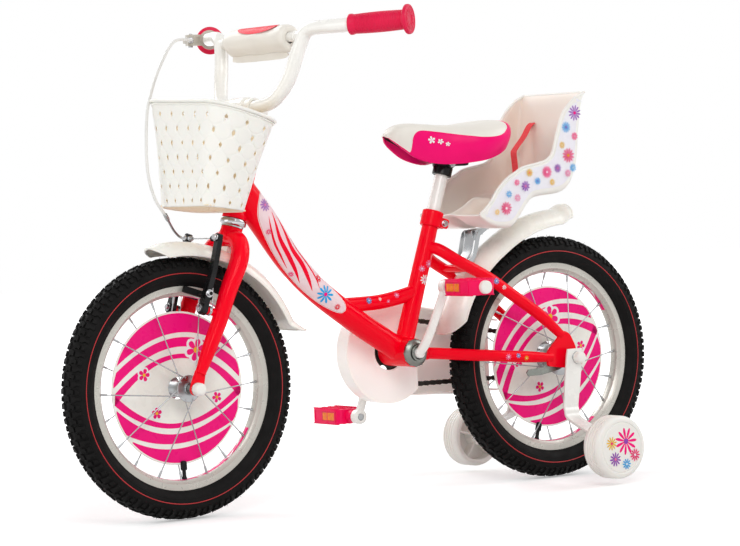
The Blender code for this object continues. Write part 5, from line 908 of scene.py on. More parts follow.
def rim_print(name, axle, body, arcs):
    """Printed bands on the rim's inner face, each an arc with short lighter waves on it."""
    flat = 0.0035
    pitch = 13
    shape = Shape()

    def on_rim(degrees, v, lift):
        a = math.radians(degrees)
        drop = 0.0 if abs(v) < flat else (abs(v) - flat) * 0.55
        r = RIM_R - 0.01535 - lift + drop
        return Vector((axle.x + r * math.cos(a), v, axle.z + r * math.sin(a)))

    for first, last in arcs:
        count = int((last - first) / 2.0)
        verts = [on_rim(first + (last - first) * k / count, -0.0062 + 0.0124 * m / 6, 0.00035)
                 for k in range(count + 1) for m in range(7)]
        shape.add(verts, [(k * 7 + m, k * 7 + m + 1, (k + 1) * 7 + m + 1, (k + 1) * 7 + m)
                          for k in range(count) for m in range(6)])
        for k in range(int((last - first) / pitch)):
            verts = []
            for n in range(9):
                t = n / 8
                degrees = first + 4 + k * pitch + 9.5 * t
                centre = 0.0030 * math.sin(t * math.pi) * (1 if k % 2 else -1)
                wide = 0.0018 * math.sin(math.pi * (0.1 + 0.8 * t))
                verts += [on_rim(degrees, centre - wide, 0.0006),
                          on_rim(degrees, centre + wide, 0.0006)]
            shape.add(verts, [(2 * n, 2 * n + 1, 2 * n + 3, 2 * n + 2) for n in range(8)], 1)
    piece(name, shape, ["d_pink", "white"], body, angle=60, outward=False)


make_tyre("front_tyre", FRONT_AXLE, "front_wheel", 3)
make_tyre("rear_tyre", REAR_AXLE, "rear_wheel", 5)
make_rim("front_rim", FRONT_AXLE, "front_wheel")
make_rim("rear_rim", REAR_AXLE, "rear_wheel")
make_disc("front_disc", FRONT_AXLE, "front_wheel", 0.0125, 0.10)
make_disc("rear_disc", REAR_AXLE, "rear_wheel", 0.021, -0.35)
make_hub("front", FRONT_AXLE, "front_wheel", 0.035, 0.021,
         [(0.0062, -0.004), (0.0088, -0.004), (0.0098, -0.0028), (0.0098, -0.0006),
          (0.0135, -0.0002), (0.0202, 0.0), (0.0210, 0.0008), (0.0210, 0.0022), (0.0202, 0.003),
          (0.0150, 0.0036), (0.0125, 0.0060), (0.0118, 0.012), 0.0115])
make_hub("rear", REAR_AXLE, "rear_wheel", 0.037, 0.031,
         [(0.0062, -0.004), (0.0160, -0.004), (0.0168, -0.003), (0.0168, -0.0005), (0.0300, 0.0),
          (0.0310, 0.0008), (0.0310, 0.0022), (0.0300, 0.003), (0.0240, 0.0035), (0.0215, 0.006),
          (0.0205, 0.013), 0.0200])
make_valve("front_valve", FRONT_AXLE, "front_wheel", (REAR_X + 0.7308, 0, 0.076))
make_valve("rear_valve", REAR_AXLE, "rear_wheel", (REAR_X + 0.0291, 0, 0.0806))
rim_print("front_rim_print", FRONT_AXLE, "front_wheel", ((-150, -42), (40, 140)))
rim_print("rear_rim_print", REAR_AXLE, "rear_wheel", ((-130, -20), (60, 150)))


# Frame
HEAD_START = 0.279
HEAD_LENGTH = 0.105
SEAT_LENGTH = 0.238
REAR_END_Y = 0.0575
STAY_SPREAD = 0.049
HEAD_BORE = 0.0142
SEAT_TUBE_R = 0.0155


def down_tube_route():
    """The bent main tube, from the bottom bracket to the head tube."""
    end = on_head(HEAD_START + HEAD_LENGTH * 0.43)
    span = end - BB
    normal = Vector((span.z, 0, -span.x)).normalized()
    shape = ((0.0, 0.0, 0.0195), (0.12, 0.29, 0.0195), (0.25, 0.60, 0.0195),
             (0.48, 0.95, 0.0203), (0.66, 0.84, 0.0215), (0.86, 0.28, 0.0235),
             (1.0, 0.0, 0.0245))
    rows = []
    for t, sag, radius in shape:
        place = BB + span * t + normal * 0.030 * sag
        rows.append((*place, radius))
    return smooth_route(rows, 8)


DOWN_ROUTE = down_tube_route()


def side_of_down_tube(u, v, lift):
    """The tube's left side: u metres from the bottom bracket, v metres round it, upwards."""
    length = 0.0
    for i in range(len(DOWN_ROUTE) - 1):
        a, b = DOWN_ROUTE[i], DOWN_ROUTE[i + 1]
        step = Vector(b[:3]) - Vector(a[:3])
        if length + step.length > u or i == len(DOWN_ROUTE) - 2:
            break
        length += step.length
    t = (u - length) / step.length
    radius = a[3] + (b[3] - a[3]) * t
    before = Vector(DOWN_ROUTE[max(i - 1, 0)][:3])
    after = Vector(DOWN_ROUTE[min(i + 2, len(DOWN_ROUTE) - 1)][:3])
    along = ((Vector(b[:3]) - before) * (1 - t) + (after - Vector(a[:3])) * t).normalized()
    top = along.cross(SIDE)
    angle = v / radius
    return (Vector(a[:3]) + step * t
            + (SIDE * math.cos(angle) + top * math.sin(angle)) * (radius + lift))


def on_down_tube(share):
    """The tube's middle and radius a share of the way up its route."""
    place = share * (len(DOWN_ROUTE) - 1)
    i = min(int(place), len(DOWN_ROUTE) - 2)
    t = place - i
    row = mix(DOWN_ROUTE[i][:3], DOWN_ROUTE[i + 1][:3], t)
    return row, DOWN_ROUTE[i][3] * (1 - t) + DOWN_ROUTE[i + 1][3] * t


def seat_stay_route(side):
    """A thin tube from high on the seat tube down to the rear end."""
    top = BB + SEAT_DIR * (SEAT_LENGTH * 0.74)
    r = 0.0098
    return [(*top, r), (top.x - 0.012, side * 0.0190, top.z - 0.003, r),
            (REAR_X + 0.212, side * (STAY_SPREAD - 0.0130), RADIUS + 0.171, r),
            (REAR_X + 0.158, side * (STAY_SPREAD - 0.0055), RADIUS + 0.1415, r),
            (REAR_X + 0.111, side * (STAY_SPREAD - 0.0010), RADIUS + 0.110, r),
            (REAR_X + 0.059, side * (STAY_SPREAD + 0.0040), RADIUS + 0.074, r),
            (REAR_X + 0.018, side * REAR_END_Y, RADIUS + 0.038, r * 0.75)]


def chain_stay_route(side):
    """A thin tube from the bottom bracket back to the rear end."""
    r = 0.0095
    return [(BB.x - 0.012, side * 0.016, BB.z - 0.002, r),
            (BB.x - 0.044, side * 0.020, BB.z - 0.004, r),
            (REAR_X + 0.194, side * (STAY_SPREAD - 0.0140), RADIUS + 0.016, r),
            (REAR_X + 0.140, side * (STAY_SPREAD - 0.0030), RADIUS + 0.011, r),
            (REAR_X + 0.085, side * (STAY_SPREAD + 0.0020), RADIUS + 0.006, r),
            (REAR_X + 0.040, side * REAR_END_Y, RADIUS + 0.002, r * 0.75)]


def brace_route():
    """The short tube between the seat tube and the main tube."""
    low = BB + SEAT_DIR * (SEAT_LENGTH * 0.43)
    meet, radius = on_down_tube(0.40)
    end = meet + UP * radius * 0.4
    middle = mix(low, end, 0.5)
    rows = [tuple(low), tuple(mix(low, middle, 0.45) - UP * 0.004),
            (middle.x, 0, middle.z - 0.006), tuple(mix(middle, end, 0.6) - UP * 0.003),
            tuple(end)]
    return smooth_route(rows, 6)


def weld(shape, centre, axis, radius, thick=0.0028, segments=40):
    """A rounded bead round a tube where it is welded."""
    loop = [(radius + thick * 0.75 * math.cos(a), thick * math.sin(a)) for a in around(10)]
    shape.ring(loop, centre, axis, segments)


STAY_BRIDGE = mix(seat_stay_route(1)[2][:3], seat_stay_route(1)[3][:3], 0.46)


def make_frame():
    """The frame's tubes with their welds and bridges, and the plates that hold the rear axle."""
    shape = Shape()
    r = 0.0175
    length = HEAD_LENGTH
    shape.ring([(HEAD_BORE, 0), (r + 0.0014, 0), (r + 0.0018, 0.0008), (r + 0.0018, 0.006),
                (r, 0.0085), (r, length - 0.0085), (r + 0.0018, length - 0.006),
                (r + 0.0018, length - 0.0008), (r + 0.0014, length), (HEAD_BORE, length)],
               on_head(HEAD_START), HEAD_DIR)
    shape.ring([(0.0196, -0.035), (0.0222, -0.035), (0.0230, -0.0342), (0.0230, 0.0342),
                (0.0222, 0.035), (0.0196, 0.035)], BB, SIDE)
    shape.sweep([(*(BB + SEAT_DIR * SEAT_LENGTH * t), SEAT_TUBE_R - 0.0026 * t)
                 for t in (0.0, 0.25, 0.5, 0.75, 0.99)], segments=48)
    shape.sweep(DOWN_ROUTE, segments=64)
    shape.sweep(brace_route(), 0.0120, segments=48)
    weld(shape, BB + SEAT_DIR * 0.0235, SEAT_DIR, 0.0153)
    for side in (1, -1):
        shape.sweep(smooth_route(seat_stay_route(side), 6), segments=40)
        shape.sweep(smooth_route(chain_stay_route(side), 6), segments=40)
        weld(shape, Vector((BB.x - 0.036, side * 0.0192, BB.z - 0.0035)), (1, 0, 0), 0.0094, 0.0018)
    for place, out, radius in ((STAY_BRIDGE, STAY_BRIDGE.y, 0.006),
                               (Vector((BB.x - 0.072, 0, BB.z - 0.005)), 0.024, 0.006)):
        shape.rod((place.x, -out, place.z), (place.x, out, place.z), radius)
    for place in (on_down_tube(0.17)[0], BB + Vector((-0.012, 0, -0.016))):
        shape.rod((place.x, 0, place.z), (place.x, -0.0342, place.z), 0.005)
    piece("frame_tubes", shape, "red", "frame_assembly", ("frame",), angle=40)
    ends = Shape()
    outline = rounded([(0.050, 0.012), (0.050, -0.012), (0.012, -0.017), (-0.008, -0.014),
                       (-0.014, 0.0), (-0.009, 0.020), (0.002, 0.040), (0.016, 0.046),
                       (0.030, 0.030)], 0.006)
    for side in (1, -1):
        ends.plate([outline, circle(0.0054, 24)], 0.005, side_matrix(REAR_AXLE, side * REAR_END_Y))
    piece("rear_ends", ends, "red", "frame_assembly", bevel=0.0008, angle=40)


def side_of_tube(a, b, radius):
    """The left side of a straight tube: u metres from a towards b, v metres round it, upwards."""
    along = (b - a).normalized()
    top = along.cross(SIDE)

    def surface(u, v, lift):
        angle = v / radius
        return a + along * u + (SIDE * math.cos(angle) + top * math.sin(angle)) * (radius + lift)
    return surface


# Each flower: place along the tube and round it, reach, turn, ink of petals and of middle, and
# the number of petals
TUBE_FLOWERS = ((0.3735, 0.0085, 0.0105, 0.3, "d_purple", "d_rose", 11),
                (0.1905, -0.0030, 0.0150, 0.1, "d_blue", "d_pink", 10),
                (0.2165, 0.0090, 0.0064, 0.5, "d_red", "white", 9),
                (0.1600, -0.0065, 0.0052, 0.2, "d_red", "white", 8),
                (0.2560, -0.0205, 0.0046, 0.2, "d_pink", "white", 8),
                (0.3360, -0.0125, 0.0046, 0.6, "d_magenta", "white", 8))
BRACE_FLOWERS = ((0.0125, 0.0050, 0.0052, 0.0, "d_rose", "white", 9),
                 (0.0310, -0.0030, 0.0036, 0.5, "d_rose", "white", 8),
                 (0.0470, 0.0030, 0.0030, 0.2, "white", "d_pink", 7),
                 (0.0690, 0.0035, 0.0054, 0.4, "d_blue", "white", 9))
SEAT_TUBE_FLOWERS = ((0.0440, -0.0015, 0.0060, 0.2, "d_pink", "white", 9),
                     (0.1230, 0.0025, 0.0085, 0.1, "white", "d_pink", 9),
                     (0.1390, -0.0065, 0.0055, 0.4, "d_rose", "white", 8),
                     (0.1500, 0.0040, 0.0070, 0.7, "d_rose", "white", 9))
CHAIN_STAY_FLOWERS = ((0.0100, 0.0010, 0.0058, 0.1, "d_rose", "white", 9),
                      (0.0290, -0.0015, 0.0045, 0.4, "d_blue", "white", 8),
                      (0.0450, 0.0020, 0.0040, 0.2, "d_yellow", "white", 8))
SEAT_STAY_FLOWERS = ((0.0120, 0.0000, 0.0058, 0.1, "d_blue", "white", 9),
                     (0.0300, 0.0010, 0.0040, 0.5, "white", "d_pink", 8))
PANEL_EDGE = [
    (0.1435, -0.0030), (0.1475, -0.0110), (0.164, -0.0175), (0.195, -0.0235), (0.231, -0.0268),
    (0.261, -0.0276), (0.290, -0.0268), (0.317, -0.0246), (0.343, -0.0208), (0.3676, -0.0136),
    (0.3854, 0.0010), (0.3915, 0.0205), (0.3780, 0.0242), (0.3560, 0.0254), (0.3300, 0.0255),
    (0.3000, 0.0243), (0.2700, 0.0230), (0.2400, 0.0222), (0.2100, 0.0208), (0.1850, 0.0180),
    (0.1620, 0.0120), (0.1480, 0.0048)]
PANEL_WAVES = (
    [(0.212, -0.013, 0.0004), (0.232, -0.004, 0.0028), (0.258, 0.004, 0.0042),
     (0.290, 0.006, 0.0038), (0.322, 0.014, 0.0026), (0.345, 0.018, 0.0004)],
    [(0.236, -0.019, 0.0004), (0.258, -0.011, 0.0026), (0.285, -0.006, 0.0036),
     (0.315, -0.003, 0.0030), (0.340, 0.005, 0.0018), (0.357, 0.012, 0.0004)],
    [(0.268, -0.020, 0.0003), (0.290, -0.0165, 0.0015), (0.315, -0.0135, 0.0018),
     (0.340, -0.006, 0.0012), (0.356, 0.001, 0.0003)],
    [(0.206, -0.002, 0.0003), (0.224, 0.007, 0.0014), (0.250, 0.014, 0.0018),
     (0.280, 0.0155, 0.0013), (0.300, 0.0185, 0.0003)])


def bunch(flowers):
    """The layers of several printed flowers."""
    return [layer for flower in flowers for layer in daisy(*flower)]


def make_frame_prints():
    """The red-edged panel with its waves on the main tube, and flowers on five tubes."""
    loop = closed_route(PANEL_EDGE, 5)
    layers = [([loop], "white"), ([inset(loop, 0.0011)], "d_red"),
              ([inset(loop, 0.0018)], "white"), ([inset(loop, 0.0030)], "d_blush"),
              ([stroke(wave) for wave in PANEL_WAVES], "d_red")]
    sticker("tube_print", layers + bunch(TUBE_FLOWERS), side_of_down_tube, "frame_assembly",
            grid=0.0036)
    brace = [Vector(row[:3]) for row in brace_route()]
    low, high = [min(brace, key=lambda p: (p - near).length)
                 for near in (Vector((-0.060, 0, 0.3200)), Vector((0.030, 0, 0.3126)))]
    chain_stay = [Vector(row[:3]) for row in chain_stay_route(1)]
    seat_stay = [Vector(row[:3]) for row in seat_stay_route(1)]
    for name, start, end, radius, flowers in (
            ("brace_print", low, high, 0.01235, BRACE_FLOWERS),
            ("seat_tube_print", BB, BB + SEAT_DIR * SEAT_LENGTH, 0.0144, SEAT_TUBE_FLOWERS),
            ("chain_stay_print", chain_stay[3], chain_stay[4], 0.0098, CHAIN_STAY_FLOWERS),
            ("seat_stay_print", seat_stay[3], seat_stay[4], 0.0101, SEAT_STAY_FLOWERS)):
        sticker(name, bunch(flowers), side_of_tube(start, end, radius), "frame_assembly",
                grid=0.0025)


def rounded(corners, radius, steps=5):
    """An outline whose corners are replaced by short arcs."""
    out = []
    n = len(corners)
    for i in range(n):
        a = Vector(corners[i - 1])
        b = Vector(corners[i])
        c = Vector(corners[(i + 1) % n])
        cut = min(radius, (a - b).length * 0.45, (c - b).length * 0.45)
        p = b + (a - b).normalized() * cut
        q = b + (c - b).normalized() * cut
        for k in range(steps + 1):
            t = k / steps
            point = p * (1 - t) ** 2 + b * (2 * t * (1 - t)) + q * t * t
            out.append((point.x, point.y))
    return out


def make_head_cups():
    """The head tube's bearing cups with their locknut."""
    cup = 0.0205
    lower = Shape()
    lower.ring([(HEAD_BORE, 0.0142), (cup - 0.002, 0.0142), (cup - 0.0004, 0.0126), (cup, 0.0100),
                (cup, 0.0052), (cup - 0.0012, 0.0036), (cup - 0.003, 0.0024),
                (cup - 0.003, 0.0004), (HEAD_BORE, 0.0004)],
               on_head(HEAD_START - 0.0145), HEAD_DIR)
    piece("lower_head_cup", lower, "chrome", "frame_assembly", ("headset_lower_cup",), angle=50)
    upper = Shape()
    base = on_head(HEAD_START + HEAD_LENGTH)
    upper.ring([(HEAD_BORE, 0.0145), (0.0188, 0.0145), (cup - 0.0004, 0.0130), (cup, 0.0115),
                (cup, 0.0060), (cup - 0.0016, 0.0012), (cup - 0.0022, 0.0004),
                (HEAD_BORE, 0.0004)], base, HEAD_DIR)
    upper.ring([(HEAD_BORE, 0.0150), (0.0176, 0.0150), (0.0182, 0.0158), (0.0182, 0.0190),
                (0.0172, 0.0198), (HEAD_BORE, 0.0198)], base, HEAD_DIR)
    upper.plate([rounded(hexagon(0.0188), 0.002, 3), circle(0.0136, 32)], 0.0056,
                aim_matrix(base + HEAD_DIR * 0.0230, HEAD_DIR))
    piece("upper_head_cup", upper, "chrome", "frame_assembly", ("headset_upper_cup",), angle=35,
          bevel=0.0004)


def make_bottom_cups():
    """The bottom bracket's cups, the left one with twelve notches and a locknut."""
    for side, name, lip in ((1, "left", 0.009), (-1, "right", 0.004)):
        shape = Shape()
        place = BB + SIDE * side * 0.035
        axis = SIDE * side
        shape.ring([(0.0108, lip - 0.0008), (0.0150, lip), (0.0170, lip - 0.0006),
                    (0.0205, lip * 0.62), (0.0220, lip * 0.45), (0.0220, 0.0004),
                    (0.0108, 0.0004)], place, axis)
        if side > 0:
            for a in around(12):
                spot = place + Vector((math.cos(a), 0, math.sin(a))) * 0.0213 + axis * 0.0022
                shape.box((0.0030, 0.0034, 0.0024),
                          Matrix.Translation(spot) @ Matrix.Rotation(-a, 4, "Y"))
            shape.ring([(0.0106, lip + 0.0004), (0.0128, lip + 0.0004), (0.0134, lip + 0.0010),
                        (0.0134, lip + 0.0030), (0.0128, lip + 0.0036), (0.0106, lip + 0.0036)],
                       place, axis, 48)
        piece("bottom_cup_" + name, shape, "dull_steel", "frame_assembly", ("bb_cup_" + name,),
              angle=40)


def make_seat_clamp():
    """The split collar at the top of the seat tube, with its bolt."""
    top = BB + SEAT_DIR * SEAT_LENGTH
    inner = 0.0141
    outer = inner + 0.0034
    high = 0.026
    shape = Shape()
    shape.ring([(inner, 0), (outer - 0.0012, 0), (outer, -0.0012), (outer, -high + 0.0012),
                (outer - 0.0012, -high), (inner, -high)], top, SEAT_DIR, 64)
    back = Vector((-SEAT_DIR.z, 0, SEAT_DIR.x))
    centre = top - SEAT_DIR * high * 0.55
    tilt = Matrix.Rotation(-(math.pi / 2 - SEAT_ANGLE), 4, "Y")
    ear = rounded([(-0.009, -0.008), (0.007, -0.008), (0.007, 0.008), (-0.009, 0.008)], 0.0045)
    for side in (1, -1):
        place = Matrix.Translation(centre + back * (outer + 0.0042) + SIDE * side * 0.0052) @ tilt
        shape.plate([ear], 0.0042, place @ FLAT_TO_SIDE)
    piece("seat_collar", shape, "red", "frame_assembly", ("seat_clamp",), bevel=0.0006, angle=40)
    bolt = Shape()
    at = centre + back * (outer + 0.0052)
    bolt.rod(at - SIDE * 0.0100, at + SIDE * 0.0100, 0.0026, 20)
    for side, size in ((1, 0.0050), (-1, 0.0052)):
        bolt.plate([hexagon(size)], 0.0042, aim_matrix(at + SIDE * side * 0.0096, SIDE * side))
        bolt.lathe([(0, -0.0008), (0.0058, -0.0008), (0.0058, 0.0), (0, 0.0)],
                   at + SIDE * side * 0.0078, SIDE * side, 32)
    piece("seat_collar_bolt", bolt, "chrome", "frame_assembly", bevel=0.0004)


make_frame()
make_frame_prints()
make_head_cups()
make_bottom_cups()
make_seat_clamp()


# Fork
def blade_route(side):
    """A fork blade from the crown down to the front axle, slimmer towards its end."""
    spread = 0.050
    top = 0.0145
    low = 0.0100
    crown = 0.2485
    table = ((crown, 0.0, 0.003, top), (crown - 0.005, 0.0, spread - 0.026, top),
             (crown - 0.020, 0.002, spread - 0.009, top),
             (crown - 0.044, 0.005, spread - 0.001, top),
             (0.161, RAKE - 0.0176, spread, top - 0.001),
             (0.110, RAKE - 0.0136, spread, top - 0.0022),
             (0.063, RAKE - 0.0066, spread, low + 0.0012),
             (0.024, RAKE - 0.0006, 0.0515, low * 0.8))
    return smooth_route([(*on_head(up, ahead, side * out), r) for up, ahead, out, r in table], 8)


def head_matrix(origin, y):
    """Places a flat outline in the side plane at y, upright along the steering axis."""
    turn = Matrix((HEAD_FORWARD, HEAD_DIR, -SIDE)).transposed().to_4x4()
    return Matrix.Translation((origin[0], y, origin[2])) @ turn


def front_matrix(origin):
    """Places a flat outline so that it faces forward, upright along the steering axis."""
    turn = Matrix((SIDE, HEAD_DIR, HEAD_FORWARD)).transposed().to_4x4()
    return Matrix.Translation(origin) @ turn


# Places of the brake arms' pivots and of their upper ends
BRAKE_UP = 0.1223
BRAKE_TOP = BRAKE_UP + 0.112
BRAKE_FORWARD = 0.0470
BRAKE_Y = 0.0460


def make_fork():
    """The crown, both blades with their ends, and the steerer."""
    shape = Shape()
    race = on_head(0.2445)
    shape.ring([(0.0115, 0.0), (0.0182, 0.0), (0.0182, 0.010), (0.0170, 0.0155),
                (0.0170, 0.0198), (0.0127, 0.0200), (0.0127, 0.1640), (0.0115, 0.1640)],
               race, HEAD_DIR, 48)
    for side in (1, -1):
        shape.sweep(blade_route(side), segments=48)
        tip = on_head(0.026, RAKE - 0.0007, side * 0.0513)
        weld(shape, tip, HEAD_DIR, 0.0080, 0.0016)
        y = side * BRAKE_Y
        shape.rod(on_head(BRAKE_UP, RAKE - 0.012, y), on_head(BRAKE_UP, 0.0424, y), 0.0062)
        shape.rod(on_head(BRAKE_UP, RAKE, y), on_head(BRAKE_UP, 0.0534, y), 0.0040)
    piece("fork_tubes", shape, "red", "fork_assembly", ("fork",), angle=40)
    ends = Shape()
    outline = rounded([(-0.008, 0.030), (-0.011, 0.006), (-0.010, -0.005), (-0.005, -0.010),
                       (0.005, -0.010), (0.010, -0.005), (0.011, 0.006), (0.008, 0.030)], 0.004)
    for side in (1, -1):
        ends.plate([outline, circle(0.0053, 24)], 0.005, head_matrix(FRONT_AXLE, side * 0.0515))
    piece("fork_ends", ends, "red", "fork_assembly", bevel=0.0008)


make_fork()


def axle_nut(name, axle, side, inner, outer, body, node):
    """A hexagon nut on its washer, and the round cap that hides it."""
    axis = SIDE * side
    nut = Shape()
    nut.ring([(0.0053, 0.0), (0.0105, 0.0), (0.0105, 0.0012), (0.0053, 0.0012)],
             axle + axis * inner, axis, 40)
    nut.plate([hexagon(0.0093)], 0.0045, aim_matrix(axle + axis * (inner + 0.0036), axis))
    piece(name + "_nut", nut, "chrome", body, (node,), bevel=0.0004)
    cap = Shape()
    length = outer - inner
    cap.lathe([(0.0088, 0.0014), (0.0100, 0.0014), (0.0100, length * 0.55),
               (0.0096, length * 0.78), (0.0080, length * 0.93), (0.0050, length * 0.99),
               (0.0, length)], axle + axis * inner, axis, 40)
    piece(name + "_cap", cap, "plastic", body, angle=50)


for side, label in ((1, "left"), (-1, "right")):
    axle_nut("front_axle_" + label, FRONT_AXLE, side, 0.0543, 0.0680, "fork_assembly",
             "front_nut_" + label)
    axle_nut("rear_axle_" + label, REAR_AXLE, side, 0.0754, 0.0885, "frame_assembly",
             "rear_nut_" + label)


def finish_nodes(names, mat):
    """Gives one look to nodes whose shapes stay as they are."""
    for name in names:
        bpy.data.objects[name].data.materials[0] = M[mat]


# Handlebar and stem
BAR_CENTRE = on_head(0.450, 0.032)
BAR_RADIUS = 0.0111


def rounded_ring(half_long, half_wide, corner, per_corner=16):
    """A closed outline with four rounded corners."""
    corner = min(corner, half_long * 0.98, half_wide * 0.98)
    out = []
    for turn in range(4):
        sx = 1 if turn in (0, 3) else -1
        sy = 1 if turn in (0, 1) else -1
        for k in range(per_corner):
            a = math.pi / 2 * (turn + k / (per_corner - 1))
            out.append((sx * (half_long - corner) + corner * math.cos(a),
                        sy * (half_wide - corner) + corner * math.sin(a)))
    return out


def along_loop(points, share):
    """The place a share of the way round a closed outline."""
    following = points[1:] + points[:1]
    spans = [math.dist(p, q) for p, q in zip(points, following)]
    want = (share % 1.0) * sum(spans)
    i = 0
    while want > spans[i] and i < len(spans) - 1:
        want -= spans[i]
        i += 1
    p, q = points[i], following[i]
    t = want / spans[i] if spans[i] > 0 else 0.0
    return p[0] + (q[0] - p[0]) * t, p[1] + (q[1] - p[1]) * t


# Basket: a wall of overlapping discs with small four-pointed gaps
BASKET_LOW = on_head(0.277, 0.060)
BASKET_TOP = on_head(0.423, 0.082)
BASKET_UP = (BASKET_TOP - BASKET_LOW).normalized()
BASKET_AHEAD = Vector((BASKET_UP.z, 0, -BASKET_UP.x))
BASKET_HIGH = (BASKET_TOP - BASKET_LOW).length
BASKET_COLUMNS = 18
BASKET_ROWS = 7
BASKET_STEP = 1.0 / (BASKET_ROWS + 0.45)
WALL_COLUMNS = 150
WALL_LINES = 26
FLOOR_LONG, FLOOR_WIDE, FLOOR_CORNER = 0.0365, 0.0835, 0.0475
SLAT = 0.0034


def basket_outline(rise):
    """The basket's outline at a share of its height."""
    share = min(max(rise, 0.0), 1.0)
    half_long = (0.076 * (1 - share) + 0.120 * share) / 2
    half_wide = (0.170 * (1 - share) + 0.245 * share) / 2
    return rounded_ring(half_long, half_wide, 0.050, 12)


BASKET_CACHE = {}


def basket_point(u, v, inset=0.0):
    """A point of the wall: u once round from the rear middle, v from floor to rim."""
    key = round(v, 4)
    if key not in BASKET_CACHE:
        BASKET_CACHE[key] = basket_outline(v)
    ring = BASKET_CACHE[key]
    a, b = along_loop(ring, u)
    c, d = along_loop(ring, u + 0.002)
    run = math.hypot(c - a, d - b)
    nx, ny = (d - b) / run, -(c - a) / run
    reach = 0.038 * (1 - v) + 0.060 * v
    share = min(1.0, max(0.0, (a + reach) / (2 * reach)))
    tilt = (0.0185 * share - 0.0015 - 0.045 * b) * max(0.0, v)
    return (BASKET_LOW + BASKET_UP * (BASKET_HIGH * v + tilt) + BASKET_AHEAD * (a - nx * inset)
            + SIDE * (b - ny * inset))


def star(centre, wide, high, pinch=0.62, points=5):
    """A small gap with four points and hollow sides."""
    out = []
    tips = [(wide, 0), (0, high), (-wide, 0), (0, -high)]
    for a, b in zip(tips, tips[1:] + tips[:1]):
        m = ((a[0] + b[0]) * 0.5 * (1 - pinch), (a[1] + b[1]) * 0.5 * (1 - pinch))
        for k in range(points):
            t = k / points
            out.append((centre[0] + a[0] * (1 - t) ** 2 + 2 * m[0] * t * (1 - t) + b[0] * t * t,
                        centre[1] + a[1] * (1 - t) ** 2 + 2 * m[1] * t * (1 - t) + b[1] * t * t))
    return out


def basket_places(odd, even):
    """Places over the wall; the rows start by turns at these shares of a column."""
    return [((i + (odd if j % 2 else even) + 0.25) / BASKET_COLUMNS, BASKET_STEP * (j + 0.42))
            for j in range(BASKET_ROWS) for i in range(BASKET_COLUMNS)]


def cut_wall():
    """Points and faces of the wall laid flat, four units round and one high, with its gaps."""
    chance = random.Random(4)
    points, edges, gaps = [], [], []
    wide, high = 0.185 / BASKET_COLUMNS, 0.245 * BASKET_STEP
    for place in basket_places(0.5, 0.0):
        grow = chance.uniform(0.86, 1.10)
        loop = star(place, wide * grow, high * grow * chance.uniform(0.9, 1.1))
        base = len(points)
        points += [Vector((4 * x, y)) for x, y in loop]
        edges += [(base + k, base + (k + 1) % len(loop)) for k in range(len(loop))]
        gaps.append(list(range(base, len(points))))
    base = len(points)
    for i in range(WALL_COLUMNS + 1):
        points += [Vector((4 * i / WALL_COLUMNS, 0)), Vector((4 * i / WALL_COLUMNS, 1))]
    rim = [*range(base, len(points), 2), *range(len(points) - 1, base, -2)]
    edges += [(rim[k], rim[(k + 1) % len(rim)]) for k in range(len(rim))]
    points += [Vector((4 * i / WALL_COLUMNS, j / WALL_LINES))
               for i in range(WALL_COLUMNS + 1) for j in range(1, WALL_LINES)]
    done = delaunay_2d_cdt(points, edges, gaps, 0, 1e-7)
    return done[0], [tuple(face) for face, gap in zip(done[2], done[5]) if not gap]


def make_basket_wall():
    """The wall, the discs that overlap on its outside, and the rings round its edges."""
    points, faces = cut_wall()
    shape = Shape()
    shape.add([basket_point(p.x / 4, p.y) for p in points], faces)
    wall = piece("basket_wall", shape, ["basket", "inside"], "bars", ("basket",), angle=50)
    skin = thicken(wall, 0.0023, -1)
    # The inner skin gets the beige glowing material: painted warm light and shade on the basket's
    # inside
    skin.material_offset = 1
    skin.material_offset_rim = 1
    discs = Shape()
    for u, v in basket_places(0.0, 0.5):
        rings = []
        for depth, size in ((-0.00002, 0.425), (-0.00020, 0.412), (-0.00020, 0.33)):
            wide, high = size / BASKET_COLUMNS, size * 1.42 * BASKET_STEP
            rings.append([basket_point(u + wide * math.cos(a),
                                       min(max(v + high * math.sin(a), 0.012), 0.985), depth)
                          for a in around(28)])
        discs.loft(rings, caps=False)
        n = len(discs.verts)
        discs.faces.append(tuple(range(n - 28, n)))
        discs.marks.append(0)
    piece("basket_discs", discs, "basket", "bars", angle=30, outward=False)
    rims = Shape()
    for v, depth, radius, segments in ((0.985, -0.0012, 0.0026, 12), (0.955, -0.0006, 0.0012, 8),
                                       (0.014, 0.0016, 0.0018, 12)):
        rims.sweep([basket_point(k / 120, v, depth) for k in range(121)], radius, segments,
                   caps=False)
    piece("basket_rims", rims, "basket", "bars", angle=60)


def make_basket_floor():
    """Slats along and across, cut to the floor's rounded outline."""
    floor = Shape()
    place = Matrix((BASKET_AHEAD, SIDE, BASKET_UP)).transposed().to_4x4()
    place = Matrix.Translation(BASKET_LOW + BASKET_UP * 0.0022) @ place
    for i in range(-24, 25):
        over = max(abs(i * SLAT) - (FLOOR_WIDE - FLOOR_CORNER), 0.0)
        reach = min(FLOOR_LONG, math.sqrt(FLOOR_CORNER ** 2 - over ** 2))
        floor.box((reach * 2, 0.0011, 0.0018), place @ Matrix.Translation((0, i * SLAT, 0)))
    for i in range(-10, 11):
        reach = FLOOR_WIDE - FLOOR_CORNER + math.sqrt(FLOOR_CORNER ** 2 - (i * SLAT) ** 2)
        floor.box((0.0011, reach * 2, 0.0016), place @ Matrix.Translation((i * SLAT, 0, 0)))
    # The slats get the same beige glowing material: painted warm light
    piece("basket_floor", floor, "inside", "bars")


